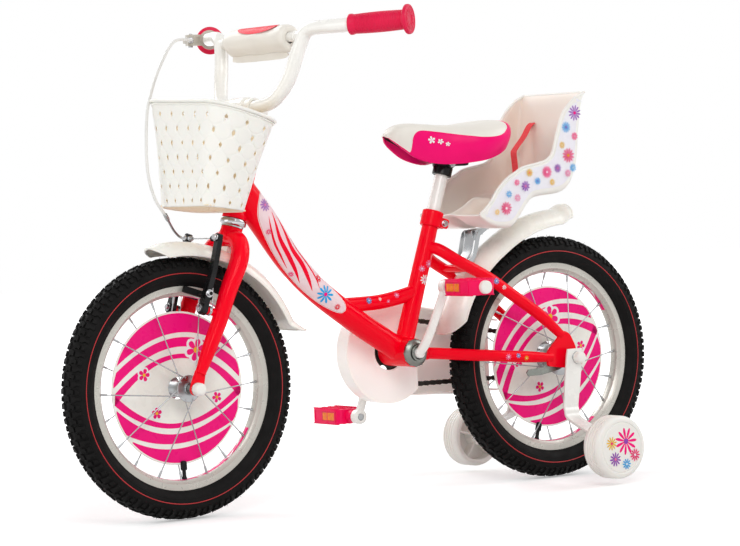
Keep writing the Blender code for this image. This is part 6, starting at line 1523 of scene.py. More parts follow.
def make_basket_hooks():
    """Two clips round the handlebar, each with its arm and foot on the basket's rear wall."""
    hooks = Shape()
    bore = BAR_RADIUS + 0.0003
    for side in (1, -1):
        y = side * 0.031
        centre = BAR_CENTRE + SIDE * y
        hooks.ring([(bore, -0.0075), (bore + 0.0027, -0.0075), (bore + 0.0034, -0.0068),
                    (bore + 0.0034, 0.0068), (bore + 0.0027, 0.0075), (bore, 0.0075)],
                   centre, SIDE, 40)
        rear = BASKET_TOP - BASKET_AHEAD * 0.0605 + SIDE * y - BASKET_UP * 0.010
        turn = (centre - rear).to_track_quat("Z", "Y").to_matrix().to_4x4()
        hooks.box((0.011, 0.003, (centre - rear).length - 0.011),
                  Matrix.Translation(mix(rear, centre, 0.32)) @ turn)
        hooks.rod(rear - BASKET_AHEAD * 0.002, rear + BASKET_AHEAD * 0.004, 0.0042, 20)
    piece("basket_hooks", hooks, "plastic", "bars", bevel=0.0005)


make_basket_wall()
make_basket_floor()
make_basket_hooks()


# Stem, handlebar, grips and pad
def bar_point(back, out, rise):
    """A place behind, to the left of and above the middle of the handlebar's clamp."""
    return BAR_CENTRE.x - back, out, BAR_CENTRE.z + rise


BAR_END = Vector((BAR_CENTRE.x - 0.125, 0.278, BAR_CENTRE.z + 0.121))
BAR_OUT = Vector((-0.547, 0.837, 0.032)).normalized()
GRIP_LENGTH = 0.098
CROSSBAR_BACK, CROSSBAR_RISE = 0.041, 0.106
PAD_CENTRE = Vector(bar_point(CROSSBAR_BACK, 0, CROSSBAR_RISE))
PAD_HALF = 0.083
PAD_R = 0.0200


def make_bars():
    """The swept handlebar with its welded crossbar."""
    wide, back, rise = 0.115, CROSSBAR_BACK, 0.110
    half = [bar_point(0, wide * 0.40, 0), bar_point(back * 0.28, wide * 0.65, rise * 0.08),
            bar_point(back * 0.64, wide * 0.84, rise * 0.37),
            bar_point(back * 0.94, wide * 0.965, rise * 0.82),
            bar_point(back * 1.10, wide * 1.104, rise * 1.036), tuple(BAR_END - BAR_OUT * 0.125)]
    right = smooth_route(half, 10) + [tuple(BAR_END)]
    left = [(x, -y, z) for x, y, z in reversed(right)]
    shape = Shape()
    shape.sweep(left + right, BAR_RADIUS, 40)
    reach = wide * 0.985
    shape.rod(bar_point(back, -reach, CROSSBAR_RISE), bar_point(back, reach, CROSSBAR_RISE),
              0.008, 32)
    for side in (1, -1):
        place = Vector(bar_point(back, side * (reach - 0.0125), CROSSBAR_RISE))
        weld(shape, place, SIDE, 0.0080, 0.0022)
    piece("bars_tube", shape, "cream", "bars", ("handlebar",), angle=50)


def make_stem():
    """The stem with its clamp, and the bolts in its top and under the clamp."""
    stem = Shape()
    stem.lathe([(0.0, -0.105), (0.0111, -0.105), (0.0111, -0.016), (0.0140, -0.012),
                (0.0150, -0.004), (0.0150, 0.0125), (0.0142, 0.0160), (0.0118, 0.0182),
                (0.0085, 0.0190), (0.0060, 0.0190), (0.0060, 0.0150), (0.0, 0.0150)],
               on_head(0.450), HEAD_DIR, 48)
    rings = []
    for t in (0.0, 0.25, 0.5, 0.75, 1.0):
        centre = mix(on_head(0.453), BAR_CENTRE, t * 0.72)
        high = 0.0128 + 0.0016 * t
        broad = 0.0135 + 0.0045 * t ** 2
        rings.append([centre + HEAD_DIR * (high * math.sin(a)) + SIDE * (broad * math.cos(a))
                      for a in around(40)])
    stem.loft(rings)
    stem.ring([(BAR_RADIUS + 0.0003, -0.020), (0.0150, -0.020), (0.0163, -0.0188),
               (0.0165, -0.0160), (0.0165, 0.0160), (0.0163, 0.0188), (0.0150, 0.020),
               (BAR_RADIUS + 0.0003, 0.020)], BAR_CENTRE, SIDE, 56)
    for side in (1, -1):
        ear = BAR_CENTRE - HEAD_FORWARD * 0.0125 - HEAD_DIR * 0.0125 + SIDE * (side * 0.011)
        stem.rod(ear + HEAD_FORWARD * 0.004, ear - HEAD_FORWARD * 0.004 - HEAD_DIR * 0.004, 0.0062)
    piece("stem_body", stem, "cream", "bars", ("stem",), angle=45)
    bolts = Shape()
    head = hexagon(0.0052)
    bolts.plate([circle(0.0058, 28), [(x * 0.55, y * 0.55) for x, y in head]], 0.0042,
                aim_matrix(on_head(0.4680), HEAD_DIR))
    for side in (1, -1):
        ear = BAR_CENTRE - HEAD_FORWARD * 0.0165 - HEAD_DIR * 0.0168 + SIDE * (side * 0.011)
        axis = -(HEAD_FORWARD + HEAD_DIR).normalized()
        bolts.plate([head], 0.0034, aim_matrix(ear + axis * 0.0022, axis))
    piece("stem_bolts", bolts, "steel", "bars", bevel=0.0003)


def make_grip(label, side):
    """A ribbed grip with a flange and blocks round its end."""
    flip = Vector((1, side, 1))
    out = BAR_OUT * flip
    foot = (BAR_END + BAR_OUT * 0.0035) * flip - out * GRIP_LENGTH
    bore = BAR_RADIUS + 0.0003
    profile = [(bore, 0.0), (0.0158, 0.0), (0.0163, 0.0006), (0.0163, 0.0042), (0.0160, 0.0050),
               (0.0156, 0.0062), (0.0152, 0.0080)]
    for k in range(27):
        y = 0.0100 + k * 0.00285
        swell = 0.0009 * math.sin(math.pi * (k + 0.5) / 27)
        profile += [(0.0147 + swell, y), (0.0152 + swell, y + 0.0005),
                    (0.0152 + swell, y + 0.0019), (0.0147 + swell, y + 0.0024)]
    profile += [(0.0150, GRIP_LENGTH - 0.0100), (0.0158, GRIP_LENGTH - 0.0082),
                (0.0195, GRIP_LENGTH - 0.0068), (0.0224, GRIP_LENGTH - 0.0061),
                (0.0230, GRIP_LENGTH - 0.0052), (0.0230, GRIP_LENGTH - 0.0022),
                (0.0222, GRIP_LENGTH - 0.0006), (0.0205, GRIP_LENGTH), (0.0195, GRIP_LENGTH),
                (0.0190, GRIP_LENGTH - 0.0007), (0.0160, GRIP_LENGTH - 0.0007),
                (0.0155, GRIP_LENGTH), (0.0085, GRIP_LENGTH), (0.0078, GRIP_LENGTH - 0.0010),
                (0.0030, GRIP_LENGTH - 0.0012), (0.0, GRIP_LENGTH - 0.0012)]
    shape = Shape()
    shape.lathe(profile, foot, out, 56)
    turn = aim_matrix(foot, out)
    for a in around(12):
        place = turn @ Matrix.Rotation(a, 4, "Z") @ Matrix.Translation((0.0120, 0, GRIP_LENGTH))
        shape.box((0.0052, 0.0012, 0.0007), place)
    piece("grip_rubber_" + label, shape, "pink", "bars", ("grip_" + label,), angle=42)


def make_pad():
    """A foam tube in a vinyl cover, its hem a double flap that hangs below the crossbar."""
    rings = []
    for y in spaced(PAD_HALF, 41):
        edge = min(1.0, (PAD_HALF - abs(y)) / 0.006)
        swell = 0.0196 - 0.0022 * (1 - edge) ** 2 + 0.0006 * math.sin(y * 95 + 1.0)
        ring = []
        for a in around(48):
            low = max(0.0, -math.sin(a)) ** 10
            r = swell * (1 + 0.018 * math.sin(3 * a + y * 60)) + low * 0.0040
            ring.append(PAD_CENTRE + Vector((math.cos(a) * r, y, math.sin(a) * r)))
        rings.append(ring)
    ends = []
    for side, source in ((-1, rings[0]), (1, rings[-1])):
        face = []
        for share, out in ((0.90, 0.0012), (0.62, 0.0008), (0.47, -0.0006)):
            centre = PAD_CENTRE + SIDE * (side * (PAD_HALF + out - 0.0004))
            face.append([centre + (p - PAD_CENTRE - SIDE * (p.y - PAD_CENTRE.y)) * share
                         for p in source])
        ends.append(face)
    body = Shape()
    body.loft(ends[0][::-1] + rings + ends[1], caps=False)
    pad = piece("pad_cover", body, ["cream_vinyl"], "bars", ("handlebar_pad",), angle=60, levels=1)
    flap = Shape()
    thick = Vector((0.0006, 0, 0))
    for shift, reach, drop in ((0.0012, 0.0760, 0.0118), (-0.0014, 0.0725, 0.0090)):
        rows = []
        for y in spaced(reach, 33):
            ripple = 0.0008 * math.sin(y * 150 + shift * 900) + 0.0005 * math.sin(y * 61)
            fall = drop - 0.0030 * (abs(y) / reach) ** 6
            top = PAD_CENTRE + Vector((shift + 0.0018, y, -0.0214))
            low = PAD_CENTRE + Vector((shift * 2.2 + ripple, y, -0.0214 - fall))
            line = [top, mix(top, low, 0.5), low]
            rows.append([p + thick for p in line] + [p - thick for p in line[::-1]])
        flap.loft(rows)
    piece("pad_flap", flap, "cream_vinyl", "bars", angle=50)
    thread = Shape()
    for y in spaced(0.070, 34):
        place = PAD_CENTRE + Vector((0.0042, y, -0.0223))
        thread.rod(place - SIDE * 0.0014, place + SIDE * 0.0014, 0.00035, 8)
    piece("pad_stitches", thread, "white", "bars")


def pad_surface(u, v, lift):
    """Lays a flat design on the pad's top, u to the left and v round it towards the rear."""
    a = math.pi / 2 + v / PAD_R
    r = PAD_R + lift
    return PAD_CENTRE + Vector((math.cos(a) * r, u, math.sin(a) * r))


make_bars()
make_stem()
make_grip("left", 1)
make_grip("right", -1)
make_pad()
oval = [(0.056 * math.cos(a) + 0.006, 0.0150 * math.sin(a) - 0.007) for a in around(56)]
sticker("pad_patch", [([oval], "d_red")], pad_surface, "bars", lift=0.0010)


# Brake lever and its mount
LEVER_OUT = BAR_OUT * Vector((1, -1, 1))
LEVER_AHEAD = Vector((-LEVER_OUT.y, LEVER_OUT.x, 0)).normalized()
LEVER_UP = LEVER_OUT.cross(LEVER_AHEAD)
LEVER_SEAT = (BAR_END + BAR_OUT * 0.0035) * Vector((1, -1, 1)) - LEVER_OUT * (GRIP_LENGTH + 0.009)
LEVER_PIVOT = LEVER_SEAT + LEVER_AHEAD * 0.031


def lever_matrix(centre):
    """Places a flat shape in the lever's plane, x along the grip and y ahead."""
    turn = Matrix((LEVER_OUT, LEVER_AHEAD, LEVER_UP)).transposed().to_4x4()
    return Matrix.Translation(centre) @ turn


def make_lever_mount():
    """The clamp and housing of the lever, its pivot, bolts and cable adjuster."""
    mount = Shape()
    mount.ring([(BAR_RADIUS + 0.0003, -0.0075), (0.0150, -0.0075), (0.0156, -0.0069),
                (0.0156, 0.0069), (0.0150, 0.0075), (BAR_RADIUS + 0.0003, 0.0075)],
               LEVER_SEAT, LEVER_OUT, 48)
    outline = rounded([(-0.0066, 0.0130), (0.0066, 0.0130), (0.0085, 0.0350), (0.0020, 0.0395),
                       (-0.0120, 0.0370), (-0.0255, 0.0350), (-0.0255, 0.0255),
                       (-0.0100, 0.0150)], 0.0022)
    for side in (1, -1):
        mount.plate([outline, circle(0.0023, 16, (0.0, 0.031))], 0.0038,
                    lever_matrix(LEVER_SEAT + LEVER_UP * (side * 0.0070)))
    root = rounded([(-0.0062, 0.0135), (0.0062, 0.0135), (0.0050, 0.0185), (-0.0095, 0.0185)],
                   0.001)
    mount.plate([root], 0.0170, lever_matrix(LEVER_SEAT))
    block = rounded([(-0.0253, 0.0257), (-0.0100, 0.0170), (-0.0100, 0.0362), (-0.0253, 0.0347)],
                    0.0015)
    mount.plate([block], 0.0160, lever_matrix(LEVER_SEAT))
    for k in range(4):
        rib = LEVER_SEAT - LEVER_OUT * (0.0220 - 0.0035 * k) + LEVER_AHEAD * 0.0302
        mount.box((0.0010, 0.0072, 0.0188), lever_matrix(rib))
    ear = LEVER_SEAT - LEVER_AHEAD * 0.0165
    mount.box((0.0120, 0.0070, 0.0110), lever_matrix(ear))
    piece("lever_mount", mount, "lever", "bars", ("brake_lever_mount",), bevel=0.0006, angle=40)
    metal = Shape()
    head = hexagon(0.0036)
    metal.rod(LEVER_PIVOT - LEVER_UP * 0.0096, LEVER_PIVOT + LEVER_UP * 0.0096, 0.0022, 16)
    metal.plate([head], 0.0024, aim_matrix(LEVER_PIVOT - LEVER_UP * 0.0104, LEVER_UP))
    metal.lathe([(0.0, 0.0022), (0.0022, 0.0020), (0.0038, 0.0008), (0.0040, 0.0)],
                LEVER_PIVOT + LEVER_UP * 0.0090, LEVER_UP, 24)
    metal.lathe([(0.0, 0.0022), (0.0020, 0.0020), (0.0032, 0.0010), (0.0034, 0.0)],
                ear + LEVER_UP * 0.0055, LEVER_UP, 20)
    metal.plate([head], 0.0022, aim_matrix(ear - LEVER_UP * 0.0066, LEVER_UP))
    exit_place = LEVER_SEAT + LEVER_AHEAD * 0.030 - LEVER_OUT * 0.0255
    barrel = [(0.0, 0.0), (0.0026, 0.0), (0.0026, 0.0012), (0.0048, 0.0014), (0.0048, 0.0034),
              (0.0042, 0.0038), (0.0026, 0.0040), (0.0026, 0.0056), (0.0040, 0.0058),
              (0.0042, 0.0066), (0.0042, 0.0106), (0.0034, 0.0120), (0.0028, 0.0122),
              (0.0026, 0.0146), (0.0, 0.0146)]
    metal.lathe(barrel, exit_place, -LEVER_OUT, 32)
    place = aim_matrix(exit_place - LEVER_OUT * 0.0086, -LEVER_OUT)
    for a in around(16):
        metal.box((0.0008, 0.0008, 0.0038), place @ Matrix.Rotation(a, 4, "Z")
                  @ Matrix.Translation((0.0043, 0, 0)))
    piece("lever_metal", metal, "chrome", "bars", bevel=0.0002)


def make_lever():
    """The lever's blade, with a raised panel on both faces."""
    lever = Shape()
    length = 0.085
    outline = [(-0.005, -0.004), (0.0, -0.006), (0.010, -0.005), (0.024, 0.002),
               (length * 0.6, 0.004), (length - 0.004, 0.0), (length, 0.004),
               (length - 0.003, 0.009), (length * 0.6, 0.013), (0.024, 0.011),
               (0.008, 0.006), (-0.003, 0.005)]
    outline = closed_route(outline, 5)
    lever.plate([outline, circle(0.0025, 16)], 0.0086, lever_matrix(LEVER_PIVOT))
    panel = rounded([(0.020, 0.0042), (0.034, 0.0058), (0.052, 0.0068), (0.074, 0.0048),
                     (0.075, 0.0066), (0.052, 0.0100), (0.034, 0.0092), (0.020, 0.0068)], 0.0008)
    for side in (1, -1):
        lever.plate([panel], 0.0010, lever_matrix(LEVER_PIVOT + LEVER_UP * (side * 0.0044)))
    piece("lever_blade", lever, "lever", "lever", ("brake_lever",), bevel=0.0012, segments=3,
          angle=45)


# Cable, noodle, wire and brake arms
PAD_UP = math.sqrt(0.148 ** 2 - (BRAKE_FORWARD - RAKE) ** 2)


def by_basket(rise, ahead, out):
    """A place of the cable, as shares of the basket's height and half width, and metres ahead."""
    share = min(rise, 1.0)
    length = 0.076 * (1 - share) + 0.120 * share
    width = 0.170 if rise < 0.5 else 0.245
    return tuple(on_head(0.277 + 0.146 * rise, 0.022 + length + ahead, -out * width / 2))


NOODLE_END = on_head(BRAKE_TOP + 0.0181, BRAKE_FORWARD + 0.0389, -0.049)


def noodle_route(per_span):
    """The bent pipe that leads the cable into the right arm."""
    face = BRAKE_Y + 0.0045
    route = [on_head(BRAKE_TOP, BRAKE_FORWARD, -face - 0.0003),
             on_head(BRAKE_TOP, BRAKE_FORWARD + 0.0006, -face - 0.004),
             on_head(BRAKE_TOP + 0.002, BRAKE_FORWARD + 0.008, -face - 0.0085),
             on_head(BRAKE_TOP + 0.008, BRAKE_FORWARD + 0.022, -0.056), NOODLE_END]
    return smooth_route([tuple(p) for p in route], per_span)


def make_cable():
    """The cable in two halves, the bent pipe that it ends in, and its ferrule."""
    noodle = noodle_route(10)
    lead = (Vector(noodle[-1]) - Vector(noodle[-2])).normalized()
    start = LEVER_SEAT + LEVER_AHEAD * 0.030 - LEVER_OUT * 0.0278
    end = NOODLE_END + lead * 0.0006
    route = [tuple(start), tuple(start - LEVER_OUT * 0.012), by_basket(1.861, -0.0505, 1.2245),
             by_basket(1.516, -0.0248, 1.0612), by_basket(1.1575, -0.0029, 0.8163),
             by_basket(0.840, 0.0112, 0.6694), by_basket(0.330, 0.0262, 0.7059),
             by_basket(0.032, 0.0210, 0.5880), tuple(end + lead * 0.0101)]
    rows = smooth_route(route, 14)
    joint = 6
    middle = joint * 14
    upper = Shape()
    upper.sweep(rows[:middle + 1], 0.0024, 28)
    piece("cable_upper", upper, "cable", ("bars", "fork_assembly", route[3], route[joint]),
          ("brake_cable",))
    lower = Shape()
    lower.sweep(rows[middle:] + [tuple(end + lead * 0.002)], 0.0024, 28)
    piece("cable_lower", lower, "cable", ("fork_assembly", "brake_right", route[joint], end))
    ends = Shape()
    ends.lathe([(0.0, 0.0), (0.0024, 0.0), (0.0028, 0.0004), (0.0028, 0.0022), (0.0034, 0.0026),
                (0.0034, 0.0138), (0.0031, 0.0144), (0.0025, 0.0146)],
               end - lead * 0.0002, lead, 36)
    for k in range(2):
        ends.lathe([(0.0034, 0.0), (0.0036, 0.0003), (0.0036, 0.0009), (0.0034, 0.0012)],
                   end + lead * (0.0045 + 0.0050 * k), lead, 36)
    piece("cable_ferrule", ends, "steel", "brake_right", bevel=0.0002)
    bend = Shape()
    bend.sweep(noodle, 0.0021, 28)
    bend.lathe([(0.0, 0.0), (0.0036, 0.0), (0.0038, 0.0004), (0.0038, 0.0052), (0.0034, 0.0058),
                (0.0022, 0.0062)], on_head(BRAKE_TOP, BRAKE_FORWARD, -BRAKE_Y - 0.0050), -SIDE, 32)
    piece("noodle_pipe", bend, "alloy", "brake_right", ("brake_noodle",), bevel=0.0002)


def make_wire():
    """The bare wire between the arms, under its rubber boot and the pipe's collar."""
    boot = Shape()
    profile = [(0.0016, 0.0), (0.0046, 0.0), (0.0050, 0.0008)]
    for k in range(4):
        y = 0.0020 + 0.0028 * k
        profile += [(0.0048, y), (0.0038, y + 0.0014)]
    profile += [(0.0034, 0.0132), (0.0016, 0.0136)]
    boot.lathe(profile, on_head(BRAKE_TOP, BRAKE_FORWARD, BRAKE_Y - 0.0082), -SIDE, 28)
    piece("wire_boot", boot, "rubber", "brake_left", angle=50)
    collar = Shape()
    collar.lathe([(0.0012, 0.0), (0.0040, 0.0), (0.0044, 0.0006), (0.0044, 0.0046),
                  (0.0038, 0.0052), (0.0026, 0.0056), (0.0026, 0.0090), (0.0012, 0.0094)],
                 on_head(BRAKE_TOP, BRAKE_FORWARD, -BRAKE_Y + 0.0066), SIDE, 32)
    piece("noodle_collar", collar, "steel", "brake_right", angle=45)
    wire_half("left", 1.0)
    wire_half("right", 0.0)


def wire_half(label, outer):
    """Half of the bare wire between the arms."""
    def spot(t):
        return on_head(BRAKE_TOP, BRAKE_FORWARD, -BRAKE_Y + 0.0085 + 0.0755 * t)

    wire = Shape()
    steps = [0.5 + (outer - 0.5) * k / 30 for k in range(31)]
    wire.sweep([(*spot(t), 0.0008) for t in steps[::3]], segments=12)
    for turn in range(6):
        strand = []
        for t in steps:
            a = 2 * math.pi * (t * 11 + turn / 6)
            strand.append((*(spot(t) + HEAD_DIR * (0.0007 * math.cos(a))
                             + HEAD_FORWARD * (0.0007 * math.sin(a))), 0.00035))
        wire.sweep(strand, segments=6)
    span = ("brake_" + label, "fork_assembly", spot(outer), spot(0.5))
    piece("brake_strands_" + label, wire, "steel", span,
          ("brake_wire",) if label == "left" else ())


def make_brake_arm(label, side):
    """A brake arm with its bolts and spring, and the pad that it carries."""
    body = "brake_" + label
    up, top, y = BRAKE_UP, BRAKE_TOP, BRAKE_Y
    outline = [(y - 0.0085, up), (y - 0.006, up - 0.007), (y, up - 0.0095), (y + 0.006, up - 0.007),
               (y + 0.0085, up), (y + 0.008, up + 0.030), (y + 0.009, up + 0.065),
               (y + 0.004, top), (y + 0.001, top + 0.007), (y - 0.005, top + 0.007),
               (y - 0.007, top), (y - 0.002, up + 0.065), (y - 0.006, up + 0.030)]
    points = [(side * a, b) for a, b in closed_route(outline, 4)]
    hole = circle(0.0043, 24, (side * y, up))
    slot = [(side * (y + a), up + b) for a, b in rounded([(-0.0022, 0.016), (0.0030, 0.016),
            (0.0036, 0.040), (0.0010, 0.040)], 0.0012)]
    arm = Shape()
    place = front_matrix(HEAD_FOOT + HEAD_FORWARD * BRAKE_FORWARD)
    arm.plate([points, hole, slot], 0.0086, place)
    arm.ring([(0.0043, -0.0052), (0.0078, -0.0052), (0.0082, -0.0046), (0.0082, 0.0060),
              (0.0076, 0.0068), (0.0043, 0.0068)], on_head(up, BRAKE_FORWARD, side * y),
             HEAD_FORWARD, 36)
    piece("arm_" + label, arm, "black_metal", body, ("brake_arm_" + label,), bevel=0.0009,
          angle=45)
    metal = Shape()
    head = hexagon(0.0046)
    metal.plate([head], 0.0034,
                aim_matrix(on_head(up, BRAKE_FORWARD + 0.0086, side * y), HEAD_FORWARD))
    metal.lathe([(0.0, 0.0010), (0.0060, 0.0010), (0.0060, 0.0)],
                on_head(up, BRAKE_FORWARD + 0.0062, side * y), HEAD_FORWARD, 28)
    pad_spot = on_head(PAD_UP, BRAKE_FORWARD, side * (y + 0.0086))
    metal.ring([(0.0031, -0.0006), (0.0062, -0.0006), (0.0062, 0.0006), (0.0031, 0.0006)],
               pad_spot, SIDE * side, 28)
    metal.plate([head], 0.0040, aim_matrix(pad_spot + SIDE * (side * 0.0028), SIDE * side))
    spring = []
    for k in range(49):
        a = 2 * math.pi * k / 16
        centre = on_head(up, BRAKE_FORWARD - 0.0088 - 0.0014 * k / 16, side * y)
        spring.append(centre + SIDE * (0.0072 * math.cos(a)) + HEAD_DIR * (0.0072 * math.sin(a)))
    tail = on_head(up + 0.050, BRAKE_FORWARD - 0.0062, side * (y - 0.0010))
    metal.sweep(spring + [mix(spring[-1], tail, 0.3), tail], 0.0007, 8)
    if label == "left":
        clamp = on_head(top, BRAKE_FORWARD + 0.0052, side * (y - 0.0015))
        metal.lathe([(0.0, 0.0016), (0.0056, 0.0016), (0.0056, 0.0)], clamp, HEAD_FORWARD, 28)
        metal.plate([head], 0.0040, aim_matrix(clamp + HEAD_FORWARD * 0.0036, HEAD_FORWARD))
    else:
        clamp = on_head(top, BRAKE_FORWARD + 0.0040, side * (y - 0.0005))
        metal.lathe([(0.0, 0.0024), (0.0030, 0.0022), (0.0042, 0.0008), (0.0042, -0.001)],
                    clamp, HEAD_FORWARD, 24)
    piece("arm_metal_" + label, metal, "chrome", body, bevel=0.0003)
    pad = Shape()
    centre = on_head(PAD_UP, BRAKE_FORWARD, side * 0.0200)
    place = head_matrix(centre, centre.y)
    block = [(-0.026, -0.0050), (0.026, -0.0050), (0.026, 0.0050), (-0.026, 0.0050)]
    pad.plate([rounded(block, 0.0022)], 0.0070, place)
    for k in range(5):
        x = -0.0195 + 0.0098 * k
        pad.box((0.0062, 0.0090, 0.0024), place @ Matrix.Translation((x, 0, side * 0.0034)))
    pad.rod(centre, on_head(PAD_UP, BRAKE_FORWARD, side * (y + 0.0138)), 0.0029, 20)
    piece("pad_" + label, pad, "rubber", body, ("brake_pad_" + label,), bevel=0.0005)


make_lever_mount()
make_lever()
make_cable()
make_wire()
make_brake_arm("left", 1)
make_brake_arm("right", -1)


# Crank, chainring, chain and sprocket
PITCH = 0.0127
LINE_Y = 0.042
RING_R = PITCH / (2 * math.sin(math.pi / 28))
COG_R = PITCH / (2 * math.sin(math.pi / 16))
CRANK_ANGLE = math.radians(109.8)
CRANK_DIR = Vector((math.cos(CRANK_ANGLE), 0, math.sin(CRANK_ANGLE)))
LEFT_PEDAL = BB + CRANK_DIR * 0.112
RIGHT_PEDAL = BB - CRANK_DIR * 0.112
RING_STEP = 2 * math.pi / 28
COG_STEP = 2 * math.pi / 16


def make_crank():
    """The one-piece crank: its axle, both arms and their ends."""
    left_end = 0.0540
    right_end = -0.0700
    shape = Shape()
    shape.lathe([(0.0, left_end), (0.0060, left_end), (0.0080, left_end - 0.0012),
                 (0.0085, left_end - 0.004), (0.0085, right_end + 0.004),
                 (0.0080, right_end + 0.0012), (0.0060, right_end), (0.0, right_end)],
                BB, SIDE, 48)
    left = [(*(BB - CRANK_DIR * 0.001 + SIDE * (left_end - 0.0065)), 0.0074),
            (*(BB + CRANK_DIR * 0.014 + SIDE * (left_end + 0.0030)), 0.0078),
            (*(BB + CRANK_DIR * 0.034 + SIDE * (left_end + 0.0090)), 0.0074),
            (*(BB + CRANK_DIR * 0.068 + SIDE * (left_end + 0.0145)), 0.0071),
            (*(LEFT_PEDAL + SIDE * 0.073), 0.0068)]
    right = [(*(BB + CRANK_DIR * 0.001 + SIDE * (right_end + 0.0050)), 0.0074),
             (*(BB - CRANK_DIR * 0.014 + SIDE * (right_end - 0.0025)), 0.0078),
             (*(BB - CRANK_DIR * 0.034 + SIDE * (right_end - 0.0046)), 0.0074),
             (*(BB - CRANK_DIR * 0.068 + SIDE * (right_end - 0.0050)), 0.0071),
             (*(RIGHT_PEDAL - SIDE * 0.075), 0.0068)]
    for route in (left, right):
        shape.sweep(smooth_route(route, 10), segments=40)
    shoulder = -LINE_Y - 0.0013 - 0.0003
    shape.lathe([(0.0083, 0.0), (0.0145, 0.0), (0.0150, 0.0006), (0.0150, 0.0056),
                 (0.0143, 0.0064), (0.0083, 0.0065)], BB + SIDE * shoulder, -SIDE, 48)
    for side, pedal in ((1, LEFT_PEDAL), (-1, RIGHT_PEDAL)):
        shape.ring([(0.0062, -0.0070), (0.0110, -0.0070), (0.0119, -0.0062), (0.0121, -0.0040),
                    (0.0121, 0.0040), (0.0119, 0.0062), (0.0110, 0.0070), (0.0062, 0.0070)],
                   pedal + SIDE * (side * 0.075), SIDE, 48)
    piece("crank_forging", shape, "cream", "crankset", ("crank",), angle=50)


def make_spindles():
    """A spindle with two spanner flats for each pedal."""
    for side, pedal, label in ((1, LEFT_PEDAL, "left"), (-1, RIGHT_PEDAL, "right")):
        spindle = Shape()
        spindle.lathe([(0.0, 0.1745), (0.0040, 0.1745), (0.0046, 0.1738), (0.0046, 0.1650),
                       (0.0058, 0.1646), (0.0058, 0.0842), (0.0078, 0.0842), (0.0085, 0.0836),
                       (0.0085, 0.0829), (0.0078, 0.0823), (0.0058, 0.0823), (0.0058, 0.0690),
                       (0.0052, 0.0680), (0.0, 0.0680)], pedal, SIDE * side, 40)
        spindle.box((0.0100, 0.0172, 0.0014),
                    aim_matrix(pedal + SIDE * (side * 0.0836), SIDE * side))
        piece("spindle_" + label, spindle, "steel", "crankset", ("pedal_spindle_" + label,),
              bevel=0.0002)


def pins_round(centre, radius, first, step, spans):
    """Chain pins on the pitch circle of a toothed wheel."""
    return [Vector((centre.x + radius * math.cos(first + step * i),
                    centre.z + radius * math.sin(first + step * i))) for i in range(spans + 1)]


def pins_between(start, end):
    """Chain pins along a straight run, its ends left out."""
    count = max(2, round((end - start).length / PITCH))
    return [start.lerp(end, i / count) for i in range(1, count)]


def toothed(teeth, radius, first):
    """The outline of a toothed wheel with a round seat for each roller."""
    out = []
    step = 2 * math.pi / teeth
    room = 0.00415
    tip = radius + 0.0024
    half = 0.0009 / radius
    for i in range(teeth):
        seat = first + i * step
        pin = Vector((math.cos(seat), math.sin(seat))) * radius
        for k in range(7):
            a = seat - math.pi / 2 - math.pi * k / 6
            out.append((pin.x + room * math.cos(a), pin.y + room * math.sin(a)))
        for share, reach in ((-1.5, tip - 0.0005), (-0.6, tip), (0.6, tip), (1.5, tip - 0.0005)):
            a = seat + step / 2 + half * share
            out.append((reach * math.cos(a), reach * math.sin(a)))
    return out


def link_plate(a, b, crest, waist):
    """A chain side plate round two pins, narrower between them."""
    run = (b - a).normalized()
    across = Vector((-run.y, run.x))
    out = []
    for end, lead in ((a, -run), (b, run)):
        turn = math.atan2(lead.y, lead.x)
        for k in range(9):
            t = turn - math.pi * 0.52 + math.pi * 1.04 * k / 8
            out.append((end.x + crest * math.cos(t), end.y + crest * math.sin(t)))
        side = -1 if end is a else 1
        middle = (a + b) / 2
        out.append(tuple(middle + across * (waist * side)))
    return out


